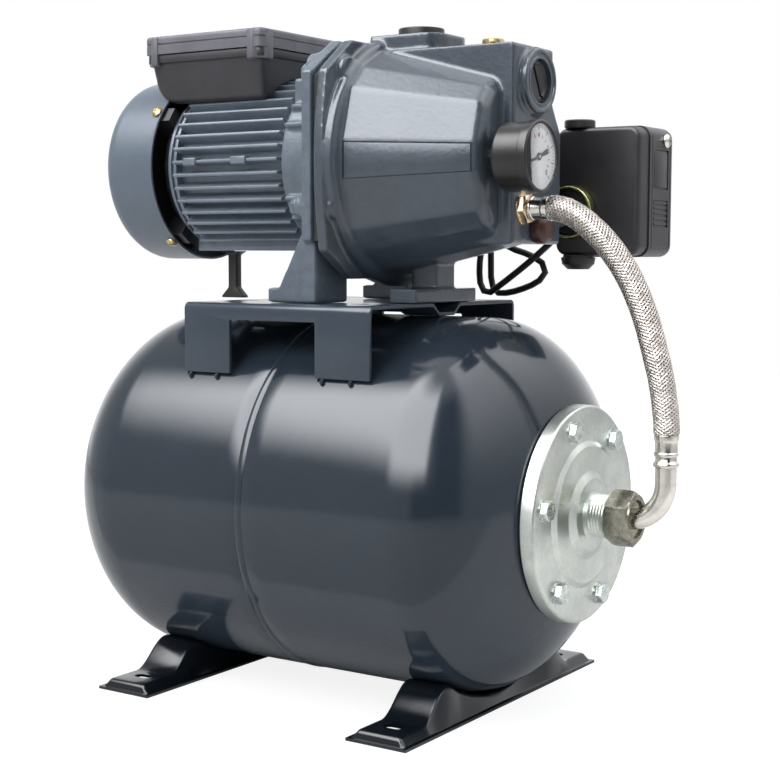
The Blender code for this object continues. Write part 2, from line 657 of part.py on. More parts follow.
def air_valve():
    """Charging valve in the middle of the rear dome, under its plastic cap."""
    dome = -TANK_STRAIGHT - REAR_DOME_DEPTH
    nut = 3 * mm
    outline = [(dome + 6 * mm, 0.0), (dome + 6 * mm, VALVE_RADIUS), (dome - SEAT_GAP, VALVE_RADIUS),
               (dome - SEAT_GAP, VALVE_RADIUS + nut), (dome - SEAT_GAP - nut, VALVE_RADIUS + nut),
               (dome - SEAT_GAP - nut, VALVE_RADIUS - nut / 2),
               (dome - VALVE_LENGTH, VALVE_RADIUS - nut / 2), (dome - VALVE_LENGTH, 0.0)]
    return finish(turned("air_valve", outline, 16, (0, 0, TANK_AXIS_Z)), "brass")


def air_valve_cap():
    mouth = -TANK_STRAIGHT - REAR_DOME_DEPTH - 2 * mm
    end = mouth - VALVE_CAP_LENGTH
    wall = 2 * mm
    inside = VALVE_RADIUS + 3 * mm + SEAT_GAP
    outline = [(mouth, inside), (mouth, VALVE_CAP_RADIUS), (end + 2 * wall, VALVE_CAP_RADIUS - wall),
               (end, VALVE_CAP_RADIUS - 2 * wall), (end, 0.0), (end + wall, 0.0), (end + wall, inside),
               (mouth, inside)]
    return finish(turned("air_valve_cap", outline, 20, (0, 0, TANK_AXIS_Z)), "black_plastic")


# Feet and bracket


def foot_height(y, inset):
    """Height of the pressed foot's outer face at a distance from its middle."""
    side = abs(y)
    contact = TANK_AXIS_Z - math.sqrt((TANK_RADIUS + SEAT_GAP) ** 2 - min(side, FOOT_CONTACT_Y) ** 2)
    if side <= FOOT_CONTACT_Y:
        height = contact
    elif side < FOOT_SHOULDER_Y:
        share = (side - FOOT_CONTACT_Y) / (FOOT_SHOULDER_Y - FOOT_CONTACT_Y)
        height = contact + (FOOT_SHOULDER_HEIGHT - contact) * math.sin(share * TAU / 4)
    elif side < FOOT_PAD_INNER_Y:
        share = (side - FOOT_SHOULDER_Y) / (FOOT_PAD_INNER_Y - FOOT_SHOULDER_Y)
        blend = 0.5 - 0.5 * math.cos(share * TAU / 2)
        height = FOOT_SHOULDER_HEIGHT + (FOOT_PAD_HEIGHT - FOOT_SHOULDER_HEIGHT) * blend
    else:
        height = FOOT_PAD_HEIGHT
    return height - inset


def foot_net(centre_x, inset):
    """Net of points over the foot's outer face, or over its inner face for an inset."""
    end = FOOT_HALF_LENGTH - FOOT_LIP - inset
    half = FOOT_WIDTH / 2 - 0.7 * inset
    top = FOOT_TOP_WIDTH / 2 - inset
    edge = FOOT_WIDTH / 2 + FOOT_LIP
    lip_z = 0.0 if inset else FOOT_SHEET
    round_off = 3 * mm

    def row(y, height, shoulder):
        near = [(-edge, lip_z), (-half, lip_z), (-top - round_off / 2, shoulder), (-top + round_off / 2, height)]
        far = [(-x, z) for x, z in near[::-1]]
        return [(centre_x + x, y, z) for x, z in near + far]

    ys = [FOOT_CONTACT_Y * k / 4 for k in range(5)] + [FOOT_SHOULDER_Y]
    ys += [FOOT_SHOULDER_Y + (FOOT_PAD_INNER_Y - FOOT_SHOULDER_Y) * s for s in (0.3, 0.7, 1.0)]
    ys += [end - round_off]
    rows = [row(y, foot_height(y, inset), foot_height(y, inset) - round_off) for y in ys]
    rows.append(row(end, FOOT_PAD_HEIGHT - inset - round_off, FOOT_PAD_HEIGHT - inset - round_off))
    rows.append(row(end + 0.4 * mm, lip_z, lip_z))
    rows.append(row(FOOT_HALF_LENGTH, lip_z, lip_z))
    mirrored = [[(x, -y, z) for x, y, z in points] for points in rows[:0:-1]]
    return mirrored + rows


def pressed_foot(name, centre_x):
    """Saddle pressed from sheet: flat lip, end pads, shoulders and a cradle that follows the tank."""
    foot = skin(name, foot_net(centre_x, 0.0), foot_net(centre_x, FOOT_SHEET))
    for side in (-1, 1):
        slot = prism("slot", slot_outline(FOOT_SLOT_LENGTH, FOOT_SLOT_WIDTH), -FOOT_SHEET,
                     2 * FOOT_PAD_HEIGHT, 'Z', (centre_x, side * FOOT_SLOT_Y, 0))
        foot = cut(foot, slot)
    return finish(foot, "tank_paint")


def bracket_section(x, inset):
    """Cross-section of the bent sheet at one place along the tank."""
    half = BRACKET_HALF_WIDTH - inset
    top = BRACKET_TOP_Z - inset
    bend = BRACKET_BEND - inset
    floor_drop = BRACKET_TOP_Z - BRACKET_SHEET - (TANK_AXIS_Z + TANK_RADIUS + SEAT_GAP)
    share = (x - TROUGH_START_X) / (TROUGH_FULL_X - TROUGH_START_X)
    drop = floor_drop * min(max(share, 0.0), 1.0)
    foot_z = TANK_AXIS_Z + math.sqrt((TANK_RADIUS + SEAT_GAP) ** 2 - (BRACKET_HALF_WIDTH - BRACKET_SHEET) ** 2)
    side = [(half, foot_z), (half, top - bend)]
    side += [(half - bend + bend * math.cos(a), top - bend + bend * math.sin(a))
             for a in (TAU / 12, TAU / 6, TAU / 4)]
    side += [(TROUGH_HALF_TOP, top), (TROUGH_HALF_FLOOR, top - drop)]
    return [(x, -y, z) for y, z in side] + [(x, y, z) for y, z in side[::-1]]


def pump_bracket():
    stations = (BRACKET_REAR_X, TROUGH_START_X, TROUGH_FULL_X, BRACKET_FRONT_X)
    outer = [bracket_section(x, 0.0) for x in stations]
    inner = [bracket_section(x, BRACKET_SHEET) for x in stations]
    bracket = skin("pump_bracket", outer, inner)
    window = block("window", (WINDOW_REAR_X, WINDOW_FRONT_X),
                   (-2 * BRACKET_HALF_WIDTH, 2 * BRACKET_HALF_WIDTH),
                   (TANK_AXIS_Z, BRACKET_TOP_Z - WINDOW_TOP_BELOW_PLATE))
    bracket = cut(bracket, window)
    for side in (-1, 1):
        slot = prism("slot", slot_outline(PLATE_SLOT_LENGTH, PLATE_SLOT_WIDTH),
                     BRACKET_TOP_Z - 4 * BRACKET_SHEET, BRACKET_TOP_Z + BRACKET_SHEET, 'Z',
                     (PLATE_SLOT_X, side * PLATE_SLOT_Y, 0))
        bracket = cut(bracket, slot)
    return finish(bracket, "tank_paint")


# Motor


def motor_frame():
    """Extruded frame: fins round a bored core with two rear rings, flat along its underside."""
    half_root = FIN_ROOT_THICKNESS / 2
    half_tip = FIN_THICKNESS / 2
    outline = []
    for angle in around(FIN_COUNT, TAU / 4):
        for radius, offset in ((FRAME_CORE_RADIUS, -half_root), (FIN_TIP_RADIUS, -half_tip),
                               (FIN_TIP_RADIUS, half_tip), (FRAME_CORE_RADIUS, half_root)):
            y = radius * math.cos(angle) - offset * math.sin(angle)
            z = radius * math.sin(angle) + offset * math.cos(angle)
            outline.append((y, z))
    frame = prism("motor_frame", outline, FIN_REAR_X, FIN_FRONT_X, 'X', (0, 0, SHAFT_Z))
    skin_radius = FRAME_CORE_RADIUS + 0.8 * mm
    profile = [(FRAME_REAR_X, 0.0)]
    for ring in (FRAME_REAR_X, FRAME_REAR_X + 2 * FRAME_RING):
        profile += [(ring, FRAME_RING_RADIUS), (ring + FRAME_RING, FRAME_RING_RADIUS),
                    (ring + FRAME_RING, skin_radius), (ring + 2 * FRAME_RING, skin_radius)]
    profile += [(FRAME_FRONT_X, skin_radius), (FRAME_FRONT_X, 0.0)]
    frame = add(frame, turned("core", profile, 28, (0, 0, SHAFT_Z)))
    flat = block("flat", (FRAME_REAR_X - 5 * mm, FRAME_FRONT_X + 5 * mm),
                 (-FIN_TIP_RADIUS, FIN_TIP_RADIUS),
                 (SHAFT_Z - 2 * FIN_TIP_RADIUS, SHAFT_Z - FRAME_FLAT_BELOW_AXIS))
    frame = cut(frame, flat)
    sole = block("sole", (FRAME_REAR_X, FRAME_FRONT_X), (-26 * mm, 26 * mm),
                 (SHAFT_Z - FRAME_FLAT_BELOW_AXIS, SHAFT_Z - FRAME_BORE - 4 * mm))
    frame = add(frame, sole)
    bore = rod("bore", FRAME_BORE, FRAME_REAR_X - 5 * mm, FRAME_FRONT_X + 5 * mm, 24, (0, 0, SHAFT_Z))
    return finish(cut(frame, bore), "frame_paint")


def stator():
    """Laminated ring with its winding ends."""
    half = STATOR_LENGTH / 2
    bore = ROTOR_RADIUS + AIR_GAP
    winding = 14 * mm
    outline = [(-half - winding, bore + 4 * mm), (-half - winding, bore + 12 * mm),
               (-half, bore + 13 * mm), (-half, FRAME_BORE - SEAT_GAP), (half, FRAME_BORE - SEAT_GAP),
               (half, bore + 13 * mm), (half + winding, bore + 12 * mm),
               (half + winding, bore + 4 * mm), (half, bore), (-half, bore)]
    ring = turned("stator", outline, 24, (STATOR_CENTRE_X, 0, SHAFT_Z), ring=True)
    return finish(ring, "copper_laminate")


def rotor_shaft():
    """Shaft with the squirrel-cage rotor pressed on; it turns on the joint axis."""
    half = STATOR_LENGTH / 2
    step = SHAFT_RADIUS - 1.5 * mm
    core = STATOR_CENTRE_X
    outline = [(SHAFT_REAR_X, 0.0), (SHAFT_REAR_X, step), (REAR_BEARING_X - BEARING_WIDTH, step),
               (REAR_BEARING_X - BEARING_WIDTH, SHAFT_RADIUS), (core - half - 5 * mm, SHAFT_RADIUS),
               (core - half - 5 * mm, ROTOR_RADIUS - 6 * mm), (core - half, ROTOR_RADIUS),
               (core + half, ROTOR_RADIUS), (core + half + 5 * mm, ROTOR_RADIUS - 6 * mm),
               (core + half + 5 * mm, SHAFT_RADIUS), (SHAFT_FRONT_X, SHAFT_RADIUS), (SHAFT_FRONT_X, 0.0)]
    return finish(turned("rotor_shaft", outline, 18, (0, 0, SHAFT_Z)), "steel")


def cooling_fan():
    """Radial fan: a disc on the rear side of the motor with straight paddles."""
    bore = SHAFT_RADIUS - 1.5 * mm + SEAT_GAP
    front = FAN_REAR_X + FAN_WIDTH
    hub = [(FAN_REAR_X, bore), (FAN_REAR_X, FAN_HUB_RADIUS), (front - FAN_DISC, FAN_HUB_RADIUS + 2 * mm),
           (front - FAN_DISC, FAN_RADIUS), (front, FAN_RADIUS), (front, bore)]
    fan = turned("cooling_fan", hub, 20, (0, 0, SHAFT_Z), ring=True)
    for angle in around(FAN_BLADES):
        outline = [(FAN_REAR_X, FAN_HUB_RADIUS - 3 * mm), (FAN_REAR_X, FAN_RADIUS - 10 * mm),
                   (FAN_REAR_X + 8 * mm, FAN_RADIUS - SEAT_GAP), (front - FAN_DISC / 2, FAN_RADIUS - SEAT_GAP),
                   (front - FAN_DISC / 2, FAN_HUB_RADIUS - 3 * mm)]
        paddle = prism("paddle", outline, -FAN_BLADE / 2, FAN_BLADE / 2, 'Y', (0, 0, SHAFT_Z))
        paddle.rotation_euler = (angle, 0.0, 0.0)
        fan = add(fan, paddle)
    return finish(fan, "black_plastic")


def fan_cover():
    """Pressed cowl with a rounded shoulder and a ring of air slots in its rear face."""
    sheet = COVER_SHEET
    outer, inner = [], []
    for k in range(4):
        angle = k * TAU / 12
        s, c = math.sin(angle), math.cos(angle)
        outer.append((COVER_REAR_X + COVER_SHOULDER * (1 - s), COVER_RADIUS - COVER_SHOULDER * (1 - c)))
        fillet = COVER_SHOULDER - sheet
        inner.append((COVER_REAR_X + sheet + fillet * (1 - s), COVER_RADIUS - sheet - fillet * (1 - c)))
    rim_outer = [(COVER_RIM_X, COVER_RADIUS)]
    rim_inner = [(COVER_RIM_X, COVER_RADIUS - sheet)]
    outline = rim_outer + outer + [(COVER_REAR_X, 0.0), (COVER_REAR_X + sheet, 0.0)] + inner[::-1] + rim_inner
    cover = turned("fan_cover", outline + [rim_outer[0]], 32, (0, 0, SHAFT_Z))
    centre = (COVER_SLOT_INNER + COVER_SLOT_OUTER) / 2
    for angle in around(COVER_SLOTS, TAU / COVER_SLOTS / 2):
        slot = prism("slot", slot_outline(COVER_SLOT_OUTER - COVER_SLOT_INNER, COVER_SLOT_WIDTH, 2),
                     COVER_REAR_X - 5 * mm, COVER_REAR_X + 5 * mm, 'X')
        slot.rotation_euler = (angle, 0.0, 0.0)
        slot.location = (0, centre * math.cos(angle), SHAFT_Z + centre * math.sin(angle))
        cover = cut(cover, slot)
    for angle in COVER_SCREW_ANGLES:
        hole = rod("hole", SCREW_SHANK_RADIUS + SEAT_GAP, COVER_RADIUS - 10 * mm, COVER_RADIUS + 10 * mm, 8)
        hole.rotation_euler = Vector((0, math.cos(angle), math.sin(angle))).to_track_quat('X', 'Z').to_euler()
        hole.location = (COVER_RIM_X - COVER_SCREW_INSET, 0, SHAFT_Z)
        cover = cut(cover, hole)
    return finish(cover, "cover_paint")


def cover_screws():
    """Round-head screws through the cowl's rim into the lugs of the rear shield."""
    screws = []
    for k, angle in enumerate(COVER_SCREW_ANGLES):
        seat = COVER_RADIUS + SEAT_GAP
        outline = [(seat - 9 * mm, 0.0), (seat - 9 * mm, SCREW_SHANK_RADIUS), (seat, SCREW_SHANK_RADIUS),
                   (seat, SCREW_HEAD_RADIUS), (seat + 0.6 * SCREW_HEAD, SCREW_HEAD_RADIUS * 0.85),
                   (seat + SCREW_HEAD, SCREW_HEAD_RADIUS * 0.4), (seat + SCREW_HEAD, 0.0)]
        screw = turned(f"cover_screw_{k + 1}", outline, 8)
        screw.rotation_euler = Vector((0, math.cos(angle), math.sin(angle))).to_track_quat('X', 'Z').to_euler()
        screw.location = (COVER_RIM_X - COVER_SCREW_INSET, 0, SHAFT_Z)
        screws.append(finish(screw, "brass"))
    return screws


def rear_shield():
    """End shield that closes the frame and carries the rear bearing and the cowl's lugs."""
    front = FRAME_REAR_X - SEAT_GAP
    rear = front - SHIELD_THICKNESS
    seat = BEARING_RADIUS + SEAT_GAP
    pocket = REAR_BEARING_X - BEARING_WIDTH / 2 - SEAT_GAP
    outline = [(front, seat), (front, FRAME_CORE_RADIUS), (rear, FRAME_CORE_RADIUS), (rear, seat + 8 * mm),
               (pocket - 4 * mm, seat + 4 * mm), (pocket - 4 * mm, SHAFT_RADIUS + 3 * mm),
               (pocket, SHAFT_RADIUS + 3 * mm), (pocket, seat)]
    shield = turned("rear_shield", outline, 20, (0, 0, SHAFT_Z), ring=True)
    reach = COVER_RADIUS - COVER_SHEET - 5 * SEAT_GAP
    for angle in COVER_SCREW_ANGLES:
        lug = prism("lug", [(FRAME_CORE_RADIUS - 6 * mm, -6 * mm), (reach, -6 * mm), (reach, 6 * mm),
                            (FRAME_CORE_RADIUS - 6 * mm, 6 * mm)], COVER_RIM_X - 2 * COVER_SCREW_INSET, front,
                    'X', (0, 0, SHAFT_Z))
        lug.rotation_euler = (angle, 0.0, 0.0)
        shield = add(shield, lug)
        hole = rod("hole", SCREW_SHANK_RADIUS + SEAT_GAP, COVER_RADIUS - 11 * mm, COVER_RADIUS + 10 * mm, 8)
        hole.rotation_euler = Vector((0, math.cos(angle), math.sin(angle))).to_track_quat('X', 'Z').to_euler()
        hole.location = (COVER_RIM_X - COVER_SCREW_INSET, 0, SHAFT_Z)
        shield = cut(shield, hole)
    return finish(shield, "frame_paint")


def bearing(name, centre_x):
    half = BEARING_WIDTH / 2
    groove = 1.5 * mm
    middle = (BEARING_RADIUS + SHAFT_RADIUS) / 2
    inner = SHAFT_RADIUS + RUNNING_GAP
    outline = [(-half, inner), (-half, middle - 2 * mm), (-half + groove, middle), (-half, middle + 2 * mm),
               (-half, BEARING_RADIUS), (half, BEARING_RADIUS), (half, inner)]
    return finish(turned(name, outline, 14, (centre_x, 0, SHAFT_Z), ring=True), "steel")


def casting_outline(half, side_top, top_z, top_half, side_bottom, bottom_z, bottom_half, bulge, steps=4):
    """Flange outline in YZ: flat top, cut corners and sides that may bulge outwards."""
    side = []
    for k in range(steps + 1):
        share = k / steps
        z = side_bottom + (side_top - side_bottom) * share
        side.append((half + bulge * math.sin(share * TAU / 2), z))
    right = [(bottom_half, bottom_z)] + side + [(top_half, top_z)]
    return right + [(-y, z) for y, z in right[::-1]]


def motor_bracket():
    """Casting between motor and pump: bearing hub, flange and two feet with gussets."""
    rear, face = CASTING_REAR_X, CASTING_REAR_X + CASTING_FLANGE
    hub_rear = FRAME_FRONT_X + SEAT_GAP
    seat = BEARING_RADIUS + SEAT_GAP
    bearing_front = FRONT_BEARING_X + BEARING_WIDTH / 2 + SEAT_GAP
    outline = casting_outline(CASTING_HALF_WIDTH, CASTING_SIDE_TOP_Z, CASTING_TOP_Z, CASTING_TOP_HALF,
                              CASTING_SIDE_BOTTOM_Z, CASTING_SIDE_BOTTOM_Z - CASTING_SKIRT, CASTING_SKIRT_HALF,
                              0.0, 1)
    casting = prism("motor_bracket", outline, rear, face, 'X')
    casting = soften(casting, 2.5 * mm, 2, lambda edge: runs_along(0)(edge))
    hub = turned("hub", [(hub_rear, 0.0), (hub_rear, HUB_RADIUS - HUB_EDGE), (hub_rear + HUB_EDGE, HUB_RADIUS),
                         (rear + 2 * mm, HUB_RADIUS + 1 * mm), (rear + 2 * mm, 0.0)], 28, (0, 0, SHAFT_Z))
    casting = add(casting, hub)
    leg = [(FOOT_PAD_REAR_X, BRACKET_TOP_Z + SEAT_GAP), (face, BRACKET_TOP_Z + SEAT_GAP),
           (face, CASTING_SIDE_BOTTOM_Z + 12 * mm), (WEB_REAR_X, CASTING_SIDE_BOTTOM_Z + 4 * mm),
           (GUSSET_TOE_X, BRACKET_TOP_Z + SEAT_GAP + FOOT_PAD_THICKNESS),
           (FOOT_PAD_REAR_X, BRACKET_TOP_Z + SEAT_GAP + FOOT_PAD_THICKNESS)]
    for side in (-1, 1):
        limits = sorted((side * FOOT_OUTER_Y, side * FOOT_INNER_Y))
        casting = add(casting, prism("leg", leg, *limits, 'Y'))
    for angle in RIB_ANGLES:
        y, z = HUB_RADIUS * math.cos(angle), SHAFT_Z + HUB_RADIUS * math.sin(angle)
        for side in (-1, 1):
            limits = sorted((side * (y - 6 * mm), side * (y + 5 * mm)))
            casting = add(casting, block("rib", (hub_rear + 5 * mm, rear + 2 * mm), limits,
                                         (z - 1.5 * mm, z + 1.5 * mm)))
    chamber = turned("chamber", [(hub_rear - 5 * mm, 0.0), (hub_rear - 5 * mm, HUB_RADIUS - HUB_EDGE - HUB_WALL),
                                 (hub_rear + 9 * mm, HUB_RADIUS - HUB_EDGE - HUB_WALL),
                                 (hub_rear + 12 * mm, seat + 6 * mm), (bearing_front - BEARING_WIDTH, seat + 6 * mm),
                                 (bearing_front - BEARING_WIDTH, seat), (bearing_front, seat),
                                 (bearing_front, SHAFT_RADIUS + 3 * mm), (rear, SHAFT_RADIUS + 3 * mm),
                                 (rear, SEAL_RADIUS + SEAT_GAP), (face + 5 * mm, SEAL_RADIUS + SEAT_GAP),
                                 (face + 5 * mm, 0.0)], 20, (0, 0, SHAFT_Z))
    casting = cut(casting, chamber)
    casting = cut(casting, body_bolt_holes(rear - 5 * mm, face + 5 * mm))
    return finish(casting, "cast_paint")


def body_bolt_places():
    return [(side * y, SHAFT_Z + z) for side in (-1, 1) for y, z in (UPPER_BOLT, LOWER_BOLT)]


def body_bolt_holes(low, high):
    bm = bmesh.new()
    for y, z in body_bolt_places():
        matrix = Matrix.Translation(((low + high) / 2, y, z)) @ Matrix.Rotation(TAU / 4, 4, 'Y')
        bmesh.ops.create_cone(bm, cap_ends=True, segments=12, radius1=M8_HOLE_RADIUS,
                              radius2=M8_HOLE_RADIUS, depth=high - low, matrix=matrix)
    return to_object("bolt_holes", bm)


def body_bolts():
    """Bolts through the motor bracket into the pump's flange, heads on the motor side."""
    end = pump_flange_x() + PUMP_FLANGE - 1 * mm
    return [hex_bolt(f"body_bolt_{k + 1}", CASTING_REAR_X, end, y, z, "zinc")
            for k, (y, z) in enumerate(body_bolt_places())]


def motor_support():
    """Plastic prop under the rear of the motor, hung from the frame's flat underside."""
    top = SHAFT_Z - FRAME_FLAT_BELOW_AXIS - SEAT_GAP
    low = BRACKET_TOP_Z + SEAT_GAP
    half, foot = SUPPORT_WIDTH / 2, SUPPORT_FOOT_WIDTH / 2
    outline = [(-foot, low), (foot, low), (half, low + SUPPORT_FOOT_HEIGHT), (half, top - 3 * mm),
               (half + 6 * mm, top), (-half - 6 * mm, top), (-half, top - 3 * mm),
               (-half, low + SUPPORT_FOOT_HEIGHT)]
    prop = prism("motor_support", outline, -SUPPORT_DEPTH / 2, SUPPORT_DEPTH / 2, 'Y', (SUPPORT_X, 0, 0))
    return finish(prop, "black_plastic")


# Terminal box


def terminal_box_base():
    """Moulded tray whose underside is a saddle over the frame and the cowl."""
    depth = BOX_SPLIT_Z - BOX_BOTTOM_Z
    start_x = BOX_REAR_X + BOX_REAR_STEP
    profile = [(BOX_FRONT_X - BOX_BOTTOM_INSET / 2, BOX_BOTTOM_Z), (BOX_FRONT_X, BOX_SPLIT_Z),
               (BOX_REAR_X, BOX_SPLIT_Z), (BOX_REAR_X + BOX_REAR_STEP / 2, BOX_SPLIT_Z - 0.2 * depth)]
    for k in range(5):
        angle = k * TAU / 16
        profile.append((start_x + BOX_REAR_CURVE * (1 - math.cos(angle)),
                        BOX_BOTTOM_Z + BOX_REAR_CURVE * (1 - math.sin(angle))))
    tray = prism("terminal_box_base", profile, -BOX_HALF_WIDTH, BOX_HALF_WIDTH, 'Y')
    for vert in tray.data.vertices:
        vert.co.y -= math.copysign(BOX_BOTTOM_INSET * (BOX_SPLIT_Z - vert.co.z) / depth, vert.co.y)
    tray = soften(tray, BOX_CORNER, 2, lambda edge: edge.verts[0].co.y * edge.verts[1].co.y > 0.0
                  and min(v.co.z for v in edge.verts) < BOX_SPLIT_Z - 0.1 * mm)
    hollow = rounded_box("hollow", (BOX_REAR_X + BOX_WALL + 3 * mm, BOX_FRONT_X - BOX_WALL),
                         (-BOX_HALF_WIDTH + BOX_WALL + 2 * mm, BOX_HALF_WIDTH - BOX_WALL - 2 * mm),
                         (BOX_FLOOR_Z, BOX_SPLIT_Z + 5 * mm), BOX_CORNER / 2)
    tray = cut(tray, hollow)
    reach = 10 * mm
    saddle = turned("saddle", [(BOX_REAR_X - reach, 0.0), (BOX_REAR_X - reach, COVER_RADIUS + SEAT_GAP),
                               (FRAME_REAR_X, COVER_RADIUS + SEAT_GAP),
                               (FRAME_REAR_X, FIN_TIP_RADIUS + SEAT_GAP),
                               (BOX_FRONT_X + reach, FIN_TIP_RADIUS + SEAT_GAP), (BOX_FRONT_X + reach, 0.0)],
                    40, (0, 0, SHAFT_Z))
    tray = cut(tray, saddle)
    tray = cut(tray, rod("gland_hole", BOX_GLAND_RADIUS - 3 * mm, BOX_HALF_WIDTH - 16 * mm,
                         BOX_HALF_WIDTH + 5 * mm, 12, (BOX_GLAND_X, 0, BOX_GLAND_Z), 'Y'))
    return finish(tray, "black_plastic")


def terminal_box_lid():
    low = BOX_SPLIT_Z + SEAT_GAP
    over = 1.2 * mm
    lid = rounded_box("terminal_box_lid", (BOX_REAR_X - over, BOX_FRONT_X + over),
                      (-BOX_HALF_WIDTH - over, BOX_HALF_WIDTH + over), (low, BOX_TOP_Z), BOX_CORNER)
    lid = soften(lid, 3 * mm, 2, lambda edge: min(v.co.z for v in edge.verts) > BOX_TOP_Z - 0.1 * mm)
    inside = rounded_box("inside", (BOX_REAR_X + BOX_WALL, BOX_FRONT_X - BOX_WALL),
                         (-BOX_HALF_WIDTH + BOX_WALL, BOX_HALF_WIDTH - BOX_WALL),
                         (low - 5 * mm, BOX_TOP_Z - BOX_WALL), BOX_CORNER / 2)
    return finish(cut(lid, inside), "black_plastic")


def box_gland():
    start = BOX_HALF_WIDTH - 8 * mm
    face = BOX_HALF_WIDTH + SEAT_GAP
    end = face + BOX_GLAND_LENGTH
    bore = LEAD_RADIUS + SEAT_GAP
    outline = [(start, bore), (start, BOX_GLAND_RADIUS - 3 * mm - SEAT_GAP),
               (face, BOX_GLAND_RADIUS - 3 * mm - SEAT_GAP), (face, BOX_GLAND_RADIUS),
               (face + 5 * mm, BOX_GLAND_RADIUS), (end, BOX_GLAND_RADIUS - 3 * mm), (end, bore)]
    gland = turned("box_gland", outline, 12, (BOX_GLAND_X, 0, BOX_GLAND_Z), 'Y', ring=True)
    return finish(gland, "black_plastic")


# Pump


def pump_flange_x():
    return CASTING_REAR_X + CASTING_FLANGE + GASKET_THICKNESS + 2 * SEAT_GAP


def body_gasket():
    low = CASTING_REAR_X + CASTING_FLANGE + SEAT_GAP
    inset = GASKET_INSET
    outline = casting_outline(CASTING_HALF_WIDTH - inset, CASTING_SIDE_TOP_Z - inset, CASTING_TOP_Z - inset,
                              CASTING_TOP_HALF - inset, CASTING_SIDE_BOTTOM_Z,
                              CASTING_SIDE_BOTTOM_Z - CASTING_SKIRT + inset, CASTING_SKIRT_HALF - inset, 0.0, 1)
    gasket = prism("body_gasket", outline, low, low + GASKET_THICKNESS, 'X')
    gasket = cut(gasket, rod("bore", BARREL_BACK_RADIUS - BARREL_WALL - GASKET_LAND, low - 5 * mm,
                             low + GASKET_THICKNESS + 5 * mm, 32, (0, 0, SHAFT_Z)))
    gasket = cut(gasket, body_bolt_holes(low - 5 * mm, low + GASKET_THICKNESS + 5 * mm))
    return finish(gasket, "rubber")


BARREL_FACETS = ((-90, 0.96), (-69, 0.985), (-49, 1.0), (-35, 1.0), (-11, 0.955), (9, 0.95),
                 (35, 1.0), (50, 1.0), (70, 0.985), (90, 0.97))


def barrel_ring(radius):
    """Corners of the faceted barrel at one radius, in YZ round the shaft axis."""
    near = [(-radius * share * math.cos(math.radians(a)), radius * share * math.sin(math.radians(a)))
            for a, share in BARREL_FACETS]
    return near + [(-y, z) for y, z in near[-2:0:-1]]


def barrel():
    """Tapering faceted barrel lofted from the flange to its rounded front end."""
    rear = pump_flange_x() + 2 * mm
    stations = ((rear, BARREL_BACK_RADIUS), (BARREL_END_X - BARREL_NOSE, BARREL_FRONT_RADIUS),
                (BARREL_END_X - 0.3 * BARREL_NOSE, BARREL_FRONT_RADIUS - 0.45 * BARREL_NOSE),
                (BARREL_END_X, BARREL_FRONT_RADIUS - 1.2 * BARREL_NOSE))
    bm = bmesh.new()
    loops = [[bm.verts.new((x, y, SHAFT_Z + z)) for y, z in barrel_ring(r)] for x, r in stations]
    count = len(loops[0])
    for first, second in zip(loops, loops[1:]):
        for k in range(count):
            bm.faces.new((first[k], first[(k + 1) % count], second[(k + 1) % count], second[k]))
    bm.faces.new(loops[0])
    bm.faces.new(loops[-1][::-1])
    bm.faces.ensure_lookup_table()
    panel_index = [k for k, (a, share) in enumerate(BARREL_FACETS) if a == -11][0]
    panel = bm.faces[panel_index]
    bmesh.ops.recalc_face_normals(bm, faces=bm.faces)
    bmesh.ops.inset_region(bm, faces=[panel], thickness=1.5 * mm, depth=0.0)
    grown = bmesh.ops.extrude_face_region(bm, geom=[panel])
    moved = [item for item in grown["geom"] if isinstance(item, bmesh.types.BMVert)]
    bmesh.ops.translate(bm, verts=moved, vec=panel.normal * 1.2 * mm)
    bmesh.ops.delete(bm, geom=[panel], context='FACES_ONLY')
    return to_object("barrel", bm)


